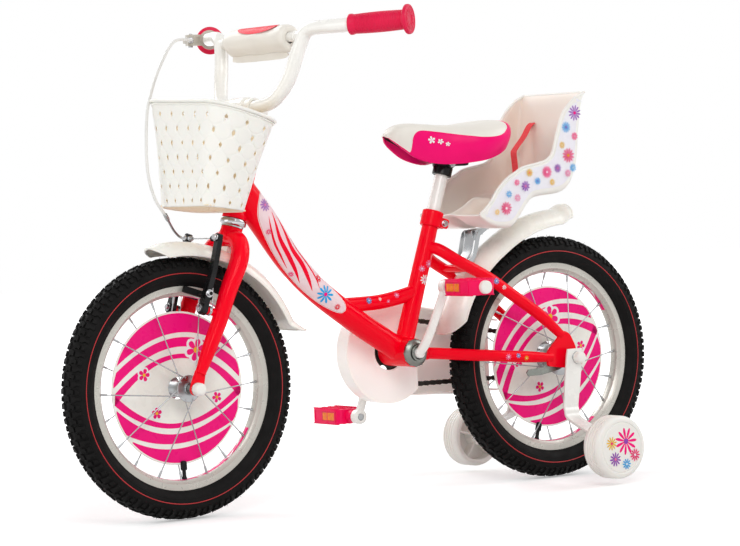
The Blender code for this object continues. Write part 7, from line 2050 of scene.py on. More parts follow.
def make_chain():
    """The chain's links round both toothed wheels, and the wheels that it fits."""
    span = BB - REAR_AXLE
    distance = math.hypot(span.x, span.z)
    line = math.atan2(span.z, span.x)
    tilt = math.asin((RING_R - COG_R) / distance)
    ring_spans = round((math.pi + 2 * tilt) / RING_STEP)
    cog_spans = int((math.pi - 2 * tilt) / COG_STEP)
    ring_first = line - RING_STEP * ring_spans / 2
    cog_first = line + math.pi - COG_STEP * cog_spans / 2
    ring = pins_round(BB, RING_R, ring_first, RING_STEP, ring_spans)
    cog = pins_round(REAR_AXLE, COG_R, cog_first, COG_STEP, cog_spans)
    pins = ring + pins_between(ring[-1], cog[0]) + cog + pins_between(cog[-1], ring[0])
    plates = Shape()
    rollers = Shape()
    upright = side_matrix((0, 0, 0), -LINE_Y)
    for i, pin in enumerate(pins):
        after = pins[(i + 1) % len(pins)]
        outer = i % 2 == 0
        out = 0.0028 if outer else 0.0020
        outline = link_plate(pin, after, 0.0042 if outer else 0.0040, 0.0027)
        for side in (1, -1):
            plates.plate([outline], 0.0008, upright @ Matrix.Translation((0, 0, side * out)))
        place = Vector((pin.x, -LINE_Y, pin.y))
        rollers.rod(place - SIDE * 0.0018, place + SIDE * 0.0018, 0.0036, 20)
        plates.rod(place - SIDE * 0.0036, place + SIDE * 0.0036, 0.0014, 12)
    piece("chain_plates", plates, "dark_steel", "frame_assembly", ("chain",), angle=40)
    piece("chain_rollers", rollers, "steel", "frame_assembly")
    chainring = Shape()
    holes = [circle(0.0088, 32)]
    holes += [circle(RING_R * 0.185, 28, (RING_R * 0.6 * math.cos(a), RING_R * 0.6 * math.sin(a)))
              for a in around(5)]
    chainring.plate([toothed(28, RING_R, ring_first)] + holes, 0.0026, side_matrix(BB, -LINE_Y))
    piece("chainring_plate", chainring, "dark_steel", "crankset", ("chainring",), bevel=0.0003,
          angle=40)
    sprocket = Shape()
    sprocket.plate([toothed(16, COG_R, cog_first), circle(0.0100, 36)], 0.0026,
                   side_matrix(REAR_AXLE, -LINE_Y))
    piece("sprocket_plate", sprocket, "dark_steel", "sprocket", ("rear_sprocket",),
          bevel=0.0003, angle=40)


# Chain guard: one outer skin, one inner skin and a wall between them, open to the rear wheel
GUARD_OUT = -0.0645
GUARD_IN = -0.0345
GUARD_R = 0.085
GUARD_WALL = 0.0022
GUARD_REAR = REAR_X + 0.080


def guard_line(depth):
    """The guard's outline at a depth inside its edge: round the crank, then back and forward."""
    r = GUARD_R - depth
    angles = [math.radians(-118 + 238 * k / 64) for k in range(65)]
    top, low = RADIUS + 0.066 - depth, RADIUS - 0.052 + depth
    return ([(BB.x + r * math.cos(a), BB.z + r * math.sin(a)) for a in angles]
            + [(BB.x - GUARD_R * 1.27, BB.z + GUARD_R * 0.741 - depth), (GUARD_REAR, top),
               (GUARD_REAR, low), (BB.x - GUARD_R * 1.612, low)])


def make_guard():
    """Both skins with the wall between them, the rings round the crank, and two bolts."""
    shell = Shape()
    whole, inner = guard_line(0.0), guard_line(GUARD_WALL)
    hole = circle(0.034, 64, (BB.x, BB.z))
    shell.plate([rounded(whole, 0.006), hole], GUARD_WALL,
                side_matrix((0, 0, 0), GUARD_OUT + GUARD_WALL / 2))
    for k in range(len(whole)):
        n = (k + 1) % len(whole)
        a, b = whole[k], whole[n]
        if a[0] == b[0] == GUARD_REAR:
            continue
        c, d = inner[k], inner[n]
        shell.add([(a[0], GUARD_OUT + 0.001, a[1]), (b[0], GUARD_OUT + 0.001, b[1]),
                   (b[0], GUARD_IN, b[1]), (a[0], GUARD_IN, a[1]),
                   (c[0], GUARD_OUT + 0.001, c[1]), (d[0], GUARD_OUT + 0.001, d[1]),
                   (d[0], GUARD_IN, d[1]), (c[0], GUARD_IN, c[1])],
                  [(0, 1, 2, 3), (5, 4, 7, 6), (3, 2, 6, 7)])
    half = [(BB.x + GUARD_R * math.cos(a), BB.z + GUARD_R * math.sin(a))
            for a in [math.radians(-135 + 270 * k / 64) for k in range(65)]
            if GUARD_R * math.cos(a) > -0.060]
    shell.plate([half, circle(0.030, 64, (BB.x, BB.z))], GUARD_WALL,
                side_matrix((0, 0, 0), GUARD_IN - GUARD_WALL / 2))
    # The guard's material carries a faint glow: painted fill light
    piece("guard_shell", shell, "guard", "frame_assembly", ("chain_guard",), bevel=0.0007,
          angle=42)
    ring = Shape()
    ring.ring([(0.0300, -0.0016), (0.0318, -0.0016), (0.0330, -0.0006), (0.0330, 0.0012),
               (0.0300, 0.0012)], BB + SIDE * (GUARD_IN - 0.0004), SIDE, 64)
    ring.ring([(0.0340, -0.0014), (0.0356, -0.0014), (0.0362, -0.0008), (0.0362, 0.0003),
               (0.0340, 0.0003)], BB + SIDE * GUARD_OUT, SIDE, 64)
    # The rings share the guard's glowing material: painted fill light
    piece("guard_rings", ring, "guard", "frame_assembly", bevel=0.0003)
    bolts = Shape()
    for x, z in ((REAR_X + 0.208, 0.276), (REAR_X + 0.178, 0.272)):
        place = Vector((x, GUARD_OUT, z))
        axis = -SIDE
        bolts.lathe([(0.0, 0.0026), (0.0022, 0.0025), (0.0042, 0.0014), (0.0047, 0.0)],
                    place, axis, 28)
        for turn in range(2):
            bolts.box((0.0050, 0.0009, 0.0012), aim_matrix(place + axis * 0.0024, axis)
                      @ Matrix.Rotation(math.pi / 2 * turn, 4, "Z"))
    piece("guard_bolts", bolts, "black_metal", "frame_assembly", bevel=0.0002)


make_crank()
make_spindles()
make_chain()
make_guard()


# Seat post, clamp and saddle
POST_TOP = BB + SEAT_DIR * 0.314
SADDLE_Z = (BB + SEAT_DIR * 0.3143).z + 0.0111 * math.cos(SEAT_ANGLE)
SADDLE_X = POST_TOP.x - 0.1193
SADDLE_LONG, SADDLE_HALF, SADDLE_HIGH = 0.234, 0.075, 0.071
# Along the length: half width, underside and top, as shares of the three sizes above
SADDLE_TABLE = (
    (0.000, 0.300, 0.704, 0.873), (0.051, 0.620, 0.507, 0.972), (0.150, 0.900, 0.282, 1.000),
    (0.299, 1.000, 0.099, 0.958), (0.427, 0.900, 0.028, 0.915), (0.556, 0.620, 0.000, 0.915),
    (0.684, 0.420, 0.042, 0.944), (0.812, 0.340, 0.169, 0.972), (0.906, 0.310, 0.366, 0.944),
    (0.966, 0.250, 0.521, 0.845), (1.000, 0.120, 0.648, 0.732))
# Along the length: height of the seam between the two colours
SADDLE_SEAM = (
    (0.100, 0.0760), (0.112, 0.0695), (0.117, 0.0633), (0.130, 0.0585), (0.153, 0.0540),
    (0.204, 0.0467), (0.266, 0.0430), (0.370, 0.0421), (0.470, 0.0452), (0.574, 0.0498),
    (0.650, 0.0530), (0.730, 0.0556), (0.775, 0.0558), (0.805, 0.0535), (0.828, 0.0490),
    (0.844, 0.0410), (0.852, 0.0300), (0.858, 0.0150), (0.862, 0.0))


def along_table(rows, x):
    """A smooth value of every column of a table at x."""
    for i in range(len(rows) - 1):
        if x <= rows[i + 1][0] or i == len(rows) - 2:
            a, b, c, d = (rows[max(i - 1, 0)], rows[i], rows[i + 1],
                          rows[min(i + 2, len(rows) - 1)])
            t = min(1.0, max(0.0, (x - b[0]) / (c[0] - b[0])))
            out = []
            for n in range(1, len(b)):
                m0 = (c[n] - a[n]) / max(1e-9, c[0] - a[0]) * (c[0] - b[0])
                m1 = (d[n] - b[n]) / max(1e-9, d[0] - b[0]) * (c[0] - b[0])
                out.append(b[n] * (2 * t ** 3 - 3 * t ** 2 + 1) + m0 * (t ** 3 - 2 * t ** 2 + t)
                           + c[n] * (3 * t ** 2 - 2 * t ** 3) + m1 * (t ** 3 - t ** 2))
            return out
    return rows[-1][1:]


def split_profile(points, height, above, below):
    """Resamples an outer half section so that one point lies at the seam's height."""
    cut = len(points) - 1.0
    for i in range(len(points) - 1):
        if points[i][1] >= height > points[i + 1][1]:
            drop = points[i][1] - points[i + 1][1]
            cut = i + (points[i][1] - height) / drop
            break
    if height >= points[0][1]:
        cut = 0.0
    cut = min(max(cut, 0.02), len(points) - 1.02)

    def at(place):
        i = min(int(place), len(points) - 2)
        t = place - i
        return tuple(points[i][n] + (points[i + 1][n] - points[i][n]) * t for n in range(2))
    out = [at(cut * k / above) for k in range(above)]
    out += [at(cut + (len(points) - 1 - cut) * k / below) for k in range(below + 1)]
    return out


def saddle_section(along, shrink=1.0, shift=0.0):
    """The saddle's outline across, and how many of its points lie on the right half."""
    share, bottom, top = along_table(SADDLE_TABLE, along)
    half = SADDLE_HALF * share * shrink
    low, high = SADDLE_HIGH * bottom, SADDLE_HIGH * top
    middle = low + (high - low) * 0.55
    low = middle + (low - middle) * shrink
    high = middle + (high - middle) * shrink
    span = high - low
    shape = ((0.0, 1.0), (0.22, 0.995), (0.45, 0.972), (0.64, 0.935), (0.80, 0.865),
             (0.905, 0.775), (0.97, 0.66), (1.0, 0.53), (1.0, 0.42), (0.975, 0.28),
             (0.93, 0.16), (0.875, 0.05))
    curve = [(half * p[0], low + span * p[1]) for p in smooth_route(shape, 3)]
    seam = along_table(SADDLE_SEAM, min(max(along, 0.100), 0.862))[0]
    if along < 0.100:
        seam = 0.08
    outer = split_profile(curve, seam, 14, 12)
    edge = outer[-1][0]
    wall = min(0.0045, half * 0.3)
    inner = [(edge - wall * 0.35, low), (edge - wall * 0.8, low + span * 0.01),
             (edge - wall, low + span * 0.06), (edge - wall, low + span * 0.30),
             (edge - wall * 1.6, low + span * 0.37), (edge * 0.5, low + span * 0.39),
             (0.0, low + span * 0.39)]
    rows = outer + inner
    x = SADDLE_X + SADDLE_LONG * along + shift
    ring = [Vector((x, y, SADDLE_Z + z)) for y, z in rows]
    ring += [Vector((x, -y, SADDLE_Z + z)) for y, z in reversed(rows[1:-1])]
    return ring, len(rows)


def make_saddle():
    """The padded cover in three colours, and the piping along its seam."""
    rings = []
    for k in range(6, 0, -1):
        a = math.radians(15 * k)
        rings.append(saddle_section(0.0, max(0.05, math.cos(a)), -0.0060 * math.sin(a)))
    steps = 110
    for k in range(steps + 1):
        rings.append(saddle_section(k / steps))
    for k in range(1, 7):
        a = math.radians(15 * k)
        rings.append(saddle_section(1.0, max(0.05, math.cos(a)), 0.0040 * math.sin(a)))
    shape = Shape()
    shape.loft([r[0] for r in rings])
    half = rings[0][1]
    total = len(rings[0][0])
    for i in range(len(rings) - 1):
        along = (i - 5.5) / steps
        for k in range(total):
            place = k if k < half - 1 else total - 1 - k
            if place < 14:
                mark = 1 if along < 0.105 else 0
            elif place < 26:
                mark = 0 if along > 0.860 else 1
            elif place < 30:
                mark = 1
            else:
                mark = 2
            shape.marks[i * total + k] = mark
    shape.marks[-2] = 1
    saddle = piece("saddle_cover", shape, ["cream_vinyl", "magenta", "black"], "seat", ("saddle",),
                   angle=58)
    seam = Shape()
    for side in (1, -1):
        rows = []
        for k in range(int(steps * 0.110) + 7, int(steps * 0.862) + 6):
            point = rings[k][0][14] if side > 0 else rings[k][0][total - 14]
            centre = mix(point, Vector((point.x, 0, point.z - 0.02)), 0.004)
            rows.append((*centre, 0.00055))
        seam.sweep(smooth_route(rows, 2), segments=8)
    piece("saddle_seam", seam, "magenta", "seat")


def make_saddle_base():
    """The moulded base with its rails and ribs below the cover."""
    base = Shape()
    centre = POST_TOP + Vector((-0.004, 0, 0.010))
    rings = []
    for rise, long, wide in ((-0.0095, 0.024, 0.012), (-0.0085, 0.029, 0.015),
                             (0.004, 0.034, 0.018), (0.016, 0.046, 0.026), (0.024, 0.056, 0.032)):
        middle = centre + Vector((-0.0105 * (1 - rise * 20), 0, rise))
        rings.append([middle + Vector((a, b, 0)) for a, b in rounded_ring(long, wide, 0.010, 8)])
    base.loft(rings)
    for side in (1, -1):
        rail = [(SADDLE_X + SADDLE_LONG * t, side * w, SADDLE_Z + h, 0.0032)
                for t, w, h in ((0.20, 0.021, 0.036), (0.30, 0.021, 0.026), (0.40, 0.021, 0.0145),
                                (0.55, 0.020, 0.012), (0.68, 0.017, 0.018), (0.80, 0.011, 0.032))]
        base.sweep(smooth_route(rail, 6), segments=16)
    for k in range(7):
        rib = centre + Vector((-0.040 + 0.013 * k, 0, 0.019))
        base.box((0.0020, 0.050, 0.010), Matrix.Translation(rib))
    piece("saddle_base", base, "black", "seat", bevel=0.0008)


def make_seat_post():
    """The clamp under the saddle with its nuts, and the post in the frame."""
    clamp = Shape()
    foot = POST_TOP - SEAT_DIR * 0.0150
    clamp.ring([(0.0114, 0.0), (0.0150, 0.0), (0.0160, 0.0010), (0.0160, 0.0150),
                (0.0150, 0.0162), (0.0114, 0.0162)], foot, SEAT_DIR, 48)
    middle = POST_TOP + SEAT_DIR * 0.004
    for axis in (SIDE, -SIDE):
        clamp.rod(middle + axis * 0.0125, middle + axis * 0.0210, 0.0070, 28)
    piece("saddle_clamp_ring", clamp, "black_metal", "seat", ("saddle_clamp",), bevel=0.0005)
    nuts = Shape()
    head = hexagon(0.0058)
    for side in (1, -1):
        nuts.plate([head], 0.0040, aim_matrix(middle + SIDE * (side * 0.0228), SIDE * side))
        nuts.rod(middle + SIDE * (side * 0.0248), middle + SIDE * (side * 0.0268), 0.0028, 16)
    piece("saddle_nuts", nuts, "steel", "seat", bevel=0.0003)
    post = Shape()
    low = BB + SEAT_DIR * 0.130
    post.lathe([(0.0, 0.0), (0.0105, 0.0), (0.0111, 0.0006), (0.0111, 0.164), (0.0106, 0.1665),
                (0.0106, 0.1835), (0.0100, 0.184), (0.0, 0.184)], low, SEAT_DIR, 56)
    piece("seat_post_tube", post, "cream", "seat", ("seat_post",))


# Up the flank: half width as a share of the widest
SADDLE_FLANK = ((0.05, 0.875), (0.16, 0.93), (0.28, 0.975), (0.42, 1.0), (0.53, 1.0),
                (0.66, 0.97), (0.775, 0.905), (0.865, 0.80), (0.935, 0.64), (1.0, 0.0))


def on_saddle(side):
    """Lays a flat design on the saddle's flank, from the side, u forward and v up."""
    def surface(u, v, lift):
        share, bottom, top = along_table(SADDLE_TABLE, (u - SADDLE_X) / SADDLE_LONG)
        low, high = SADDLE_HIGH * bottom, SADDLE_HIGH * top
        out = along_table(SADDLE_FLANK, (v - SADDLE_Z - low) / (high - low))[0]
        return Vector((u, side * (SADDLE_HALF * share * out + lift), v))
    return surface


make_saddle()
make_saddle_base()
make_seat_post()
x, z = SADDLE_X + SADDLE_LONG * 0.70, SADDLE_Z + 0.0405
flowers = (petals(5, 0.0062, 0.0022, (x, z), 0.2)
           + petals(5, 0.0046, 0.0017, (x - 0.014, z - 0.0030), 0.9)
           + petals(5, 0.0036, 0.0014, (x - 0.0245, z - 0.0075), 0.5))
for side, label in ((1, "left"), (-1, "right")):
    sticker("saddle_flowers_" + label, [(flowers, "white")], on_saddle(side), "seat",
            grid=0.0030, lift=0.0004)


# Doll seat: a moulded shell with leg wells, a rolled rim, a strap and its bracket
DOLL_LONG, DOLL_HALF, DOLL_HIGH = 0.228, 0.080, 0.2173
DOLL_X = (BB + SEAT_DIR * SEAT_LENGTH).x - 0.0343 - DOLL_LONG
DOLL_Z = 0.4262
# From the back's top edge down, forward and up the front: x and z of the shell's middle, x and
# z of its rim, and the height of the divider between the legs
DOLL_TABLE = (
    (0.000, 0.998, 0.002, 1.000, 0.000), (0.020, 0.955, 0.055, 0.974, 0.000),
    (0.036, 0.883, 0.118, 0.934, 0.000), (0.058, 0.708, 0.213, 0.834, 0.000),
    (0.080, 0.491, 0.276, 0.671, 0.000),
    (0.127, 0.353, 0.320, 0.542, 0.000), (0.180, 0.280, 0.373, 0.491, 0.000),
    (0.268, 0.243, 0.434, 0.471, 0.000), (0.478, 0.220, 0.592, 0.441, 0.000),
    (0.557, 0.165, 0.667, 0.404, 0.037), (0.627, 0.077, 0.750, 0.358, 0.138),
    (0.693, 0.006, 0.838, 0.275, 0.212), (0.794, 0.000, 0.899, 0.192, 0.166),
    (0.908, 0.031, 0.961, 0.133, 0.092), (0.996, 0.093, 1.000, 0.105, 0.009))
DOLL_ROWS = smooth_route(DOLL_TABLE, 6)
# Half way across: share of the half width, and of the way from the shell's middle to its rim
DOLL_SIDES = ((1.0, 1.0), (1.0, 0.80), (1.0, 0.60), (1.0, 0.40), (1.0, 0.24), (0.995, 0.14),
              (0.978, 0.075), (0.945, 0.030), (0.900, 0.006), (0.84, 0.0), (0.72, 0.0),
              (0.58, 0.0), (0.45, 0.0))


def doll_point(row, out, rise):
    """A point of one row, a share of the half width out and of the way up to the rim."""
    bx, rx = DOLL_LONG * row[0], DOLL_LONG * row[2]
    bz, rz = DOLL_HIGH * row[1], DOLL_HIGH * row[3]
    return Vector((DOLL_X + bx + (rx - bx) * rise, DOLL_HALF * out,
                   DOLL_Z + bz + (rz - bz) * rise))


def doll_row(row):
    """One cross line of the shell, from the left rim to the right rim."""
    half = [doll_point(row, out, max(0.0, rise)) for out, rise in DOLL_SIDES]
    lift = DOLL_HIGH * row[4]
    base = doll_point(row, 0.0, 0.0)
    for out, share in ((0.36, 0.0), (0.25, 0.03), (0.18, 0.30), (0.13, 0.72), (0.08, 0.95),
                       (0.0, 1.0)):
        half.append(base + Vector((lift * share * 0.45, DOLL_HALF * out, lift * share)))
    return half + [Vector((p.x, -p.y, p.z)) for p in reversed(half[:-1])]


def make_doll_seat():
    """The moulded shell, the bead round its edge and the ribs on its inside."""
    rows = [doll_row(row) for row in DOLL_ROWS]
    shell = Shape()
    shell.loft(rows, caps=False, loop=False)
    seat = piece("doll_shell", shell, ["plastic", "shell"], "frame_assembly", ("doll_seat",),
                 angle=60)
    # The second skin gets the blush material: painted warm shade for the shell's inside
    thicken(seat, 0.0030, 0).material_offset = 1
    bead = Shape()
    for side in (1, -1):
        bead.sweep([doll_point(row, side, 1.0) for row in DOLL_ROWS], 0.0024, 16)
    for row in (rows[0], rows[-1]):
        bead.sweep(row, 0.0022, 14)
    piece("doll_rim", bead, "plastic", "frame_assembly", angle=50)
    ribs = Shape()
    for t in (0.30, 0.56, 0.80):
        i = int(t * (len(DOLL_ROWS) - 1))
        ribs.sweep([p + Vector((-0.0014, 0, -0.0014)) for p in rows[i][12:-12]], 0.0011, 10)
    # The ribs share the blush material: painted warm shade
    piece("doll_ribs", ribs, "shell", "frame_assembly", angle=50)


def on_doll_side(side):
    """u runs forward from the seat's back edge and v up from its foot, both in metres."""
    def surface(u, v, lift):
        return Vector((DOLL_X + u, side * (0.0816 + lift), DOLL_Z + v))
    return surface


def doll_panel():
    """The pale printed panel of the side, a little inside the rim and the back edge."""
    top, low = [], []
    rows = DOLL_ROWS[9:-5]
    for k, row in enumerate(rows):
        foot, rim = doll_point(row, 1, 0.0), doll_point(row, 1, 1.0)
        wide = (rim - foot).length
        ease = 1 - min(1.0, k / 4, (len(rows) - 1 - k) / 4) ** 0.5
        for line, rise in ((top, 1 - (0.0052 + ease * 0.010) / wide),
                           (low, (0.0070 + ease * 0.010) / wide + 0.07)):
            p = mix(foot, rim, rise)
            line.append((p.x - DOLL_X, p.z - DOLL_Z))
    return low + top[::-1]


make_doll_seat()
# Each flower: place as shares of length and height, reach, turn, petals' and middle's ink
DOLL_FLOWERS = (
    (0.102, 0.842, 0.0132, 0.2, "d_purple", "d_pink"),
    (0.188, 0.735, 0.0096, 0.5, "d_blue", "d_purple"),
    (0.112, 0.665, 0.0070, 0.1, "d_pink", "white"),
    (0.232, 0.600, 0.0062, 0.7, "d_yellow", "white"),
    (0.178, 0.520, 0.0125, 0.3, "d_magenta", "d_yellow"),
    (0.138, 0.425, 0.0072, 0.9, "d_blue", "white"),
    (0.283, 0.425, 0.0078, 0.2, "d_purple", "d_rose"),
    (0.190, 0.385, 0.0066, 0.6, "d_rose", "white"),
    (0.385, 0.400, 0.0104, 0.0, "d_pink", "white"),
    (0.340, 0.322, 0.0058, 0.4, "d_yellow", "white"),
    (0.475, 0.335, 0.0064, 0.5, "d_blue", "d_purple"),
    (0.548, 0.400, 0.0070, 0.3, "d_yellow", "d_pink"),
    (0.590, 0.300, 0.0090, 0.7, "d_purple", "d_rose"),
    (0.668, 0.330, 0.0056, 0.1, "d_pink", "white"),
    (0.668, 0.215, 0.0066, 0.5, "d_rose", "white"),
    (0.745, 0.245, 0.0062, 0.2, "d_blue", "white"),
    (0.775, 0.140, 0.0112, 0.4, "d_magenta", "white"),
    (0.860, 0.115, 0.0052, 0.8, "d_yellow", "white"))
for side, label in ((1, "left"), (-1, "right")):
    layers = [([doll_panel()], "d_lilac")]
    for along, up, reach, turn, colour, middle in DOLL_FLOWERS:
        layers += daisy(DOLL_LONG * along, DOLL_HIGH * up, reach, turn, colour, middle,
                        12 if reach > 0.009 else 9)
    sticker("doll_print_" + label, layers, on_doll_side(side), "frame_assembly", grid=0.006,
            lift=0.0001, step=0.00010)


def ribbon_strip(shape, points, thickness, width, y):
    """A bent flat strip along a route in the side plane."""
    rows = smooth_route([(x, y, z) for x, z in points], 8)
    rings = []
    for i, p in enumerate(rows):
        normal = heading(rows, i).cross(SIDE).normalized()
        centre = Vector(p)
        rings.append([centre + normal * a + SIDE * (b + y)
                      for a, b in ((thickness / 2, width / 2), (-thickness / 2, width / 2),
                                   (-thickness / 2, -width / 2), (thickness / 2, -width / 2))])
    shape.loft(rings)


BRIDGE_MIDDLE = Vector((STAY_BRIDGE.x, 0, STAY_BRIDGE.z))
BRIDGE_R = 0.006
GAP = 0.0003


def on_doll(along, up):
    """A place in the side plane, as shares of the seat's length and height."""
    return DOLL_X + DOLL_LONG * along, DOLL_Z + DOLL_HIGH * up


def make_doll_bracket():
    """The bent bracket between the stay bridge and the shell, with its gussets."""
    low = BRIDGE_MIDDLE
    under = DOLL_Z - 0.0026
    route = [(low.x + 0.004, low.z + BRIDGE_R + GAP + 0.0017),
             (low.x - 0.008, low.z + BRIDGE_R + GAP + 0.0029),
             (low.x - 0.022, low.z + 0.026), (DOLL_X + DOLL_LONG * 0.820, under - 0.006),
             (DOLL_X + DOLL_LONG * 0.785, under - 0.0016), (DOLL_X + DOLL_LONG * 0.689, under)]
    shape = Shape()
    ribbon_strip(shape, route, 0.0026, 0.022, 0.0)
    for side in (1, -1):
        edge = [(x, z - 0.0036) for x, z in route[1:5]]
        ribbon_strip(shape, edge, 0.0075, 0.0016, side * 0.0102)
    for x, z in (route[0], route[-1]):
        shape.lathe([(0.0, 0.0030), (0.0030, 0.0028), (0.0046, 0.0016), (0.0050, 0.0)],
                    Vector((x - 0.002, 0, z + 0.0012)), UP, 24)
    piece("doll_bracket", shape, "steel", "frame_assembly", ("doll_seat_bracket",), bevel=0.0003)
    gusset = Shape()
    for side in (1, -1):
        tri = [(DOLL_X + DOLL_LONG * along, under - drop)
               for along, drop in ((0.700, 0.0015), (0.845, 0.0015), (0.835, 0.0200))]
        gusset.plate([rounded(tri, 0.002)], 0.0014, side_matrix((0, 0, 0), side * 0.0098))
    piece("doll_gussets", gusset, "steel", "frame_assembly", bevel=0.0003)


def make_straps():
    """The strap on the seat's floor and the belt down its back."""
    strap = Shape()
    path = [on_doll(*place) for place in (
        (0.2675, 0.2683), (0.31, 0.3050), (0.3553, 0.3166), (0.42, 0.3100), (0.4781, 0.2936),
        (0.5307, 0.2545))]
    ribbon_strip(strap, path, 0.0020, 0.016, 0.022)
    piece("doll_strap", strap, "strap", "frame_assembly", ("doll_seat_strap",), bevel=0.0004)
    belt = Shape()
    path = [on_doll(*place) for place in (
        (0.062, 0.785), (0.095, 0.760), (0.150, 0.680), (0.232, 0.590), (0.250, 0.560),
        (0.246, 0.500), (0.240, 0.420), (0.236, 0.300))]
    ribbon_strip(belt, path, 0.0016, 0.0150, -0.021)
    piece("doll_belt", belt, "strap", "frame_assembly", bevel=0.0004)


make_doll_bracket()
make_straps()


# Fenders
def front_crest(degrees):
    """The front fender at an angle: radius of its crest, spread of its sides and their drop."""
    rise = min(1.0, max(0.0, (degrees - 100) / 40))
    flare = max(0.0, (degrees - 155.5) / 6)
    nose = max(0.0, (84 - degrees) / 5)
    crest = 0.2240 + 0.0055 * rise * rise * (3 - 2 * rise) + 0.0125 * flare ** 1.4
    return crest - 0.0030 * nose, 1 + 0.05 * flare, 0.0200 - 0.0110 * min(1.0, flare)


def rear_crest(degrees):
    """The same three values of the rear fender."""
    growth = max(0.0, (degrees - 58) / 40)
    flare = max(0.0, (degrees - 94.2) / 5)
    lip = 0.0075 * min(1.0, flare * 1.6) ** 1.5
    return 0.2310 + 0.017 * growth ** 1.3 + lip, 1 + 0.05 * flare, 0.0235 - 0.0015 * flare


def make_fender(name, axle, start, end, width, crest_at, tongue, body, node):
    """An arched strip; tongue is how many degrees its ends' sides stop short of the middle."""
    steps = 110
    columns = 28
    rings = []
    for i in range(steps + 1):
        ring = []
        for k in range(columns + 1):
            t = math.radians(-86 + 172 * k / columns)
            short = (1 - math.cos(t)) ** 1.3
            low, high = start + tongue[0] * short, end - tongue[1] * short
            degrees = low + (high - low) * i / steps
            a = math.radians(degrees)
            crest, spread, drop = crest_at(degrees)
            y = math.sin(t) * width / 2 * spread
            r = crest - drop * (1 - math.cos(t))
            ridge = max(0.0, 1 - (abs(y) / (width * 0.20)) ** 4) * 0.0009
            ring.append(Vector((axle.x + (r + ridge) * math.cos(a), y,
                                axle.z + (r + ridge) * math.sin(a))))
        rings.append(ring)
    shell = Shape()
    shell.loft(rings, caps=False, loop=False)
    fender = piece(name + "_shell", shell, "fender", body, (node,), angle=60)
    thicken(fender, 0.0022, 0)
    rim = Shape()
    loop = [ring[0] for ring in rings] + rings[-1][1:]
    loop += [ring[-1] for ring in reversed(rings[:-1])] + rings[0][-2:0:-1]
    rim.sweep(loop + loop[:2], 0.0021, 12)
    piece(name + "_edge", rim, "fender", body, angle=60)


make_fender("front_fender", FRONT_AXLE, 79.0, 161.8, 0.058, front_crest, (5.0, 2.0),
            "fork_assembly", "front_fender")
make_fender("rear_fender", REAR_AXLE, 13, 99.3, 0.062, rear_crest, (8.0, 0.8),
            "frame_assembly", "rear_fender")


def make_fender_mounts():
    """The tab above the front fender, the tab behind the seat tube, and their bolts."""
    front = Shape()
    low = math.sqrt(0.2235 ** 2 - RAKE ** 2)
    top = 0.2340 - GAP
    front.box((0.012, top - low, 0.018), head_matrix(on_head((low + top) / 2), 0))
    piece("front_fender_tab", front, "fender", "fork_assembly", bevel=0.0010)
    reach = REAR_AXLE - BRIDGE_MIDDLE
    toward, distance = reach.normalized(), reach.length
    crest = rear_crest(math.degrees(math.atan2(-reach.z, -reach.x)))[0]
    length = distance - BRIDGE_R - GAP - crest + 0.0006
    centre = BRIDGE_MIDDLE + toward * (BRIDGE_R + GAP + length / 2)
    turn = toward.to_track_quat("Z", "Y").to_matrix().to_4x4()
    rear = Shape()
    rear.box((0.018, 0.012, length), Matrix.Translation(centre) @ turn)
    piece("rear_fender_tab", rear, "fender", "frame_assembly", bevel=0.0010)
    bolt = Shape()
    place = BRIDGE_MIDDLE + toward * (distance - crest + 0.0016)
    bolt.lathe([(0.0, 0.0030), (0.0030, 0.0028), (0.0048, 0.0014), (0.0052, 0.0)],
               place, toward, 28)
    place = on_head(low - 0.0016)
    bolt.lathe([(0.0, 0.0026), (0.0030, 0.0024), (0.0046, 0.0012), (0.0050, 0.0)],
               place, -HEAD_DIR, 28)
    piece("rear_fender_bolt", bolt, "steel", "frame_assembly")


make_fender_mounts()


# Pedals
PEDAL_START = 0.085 + 0.013


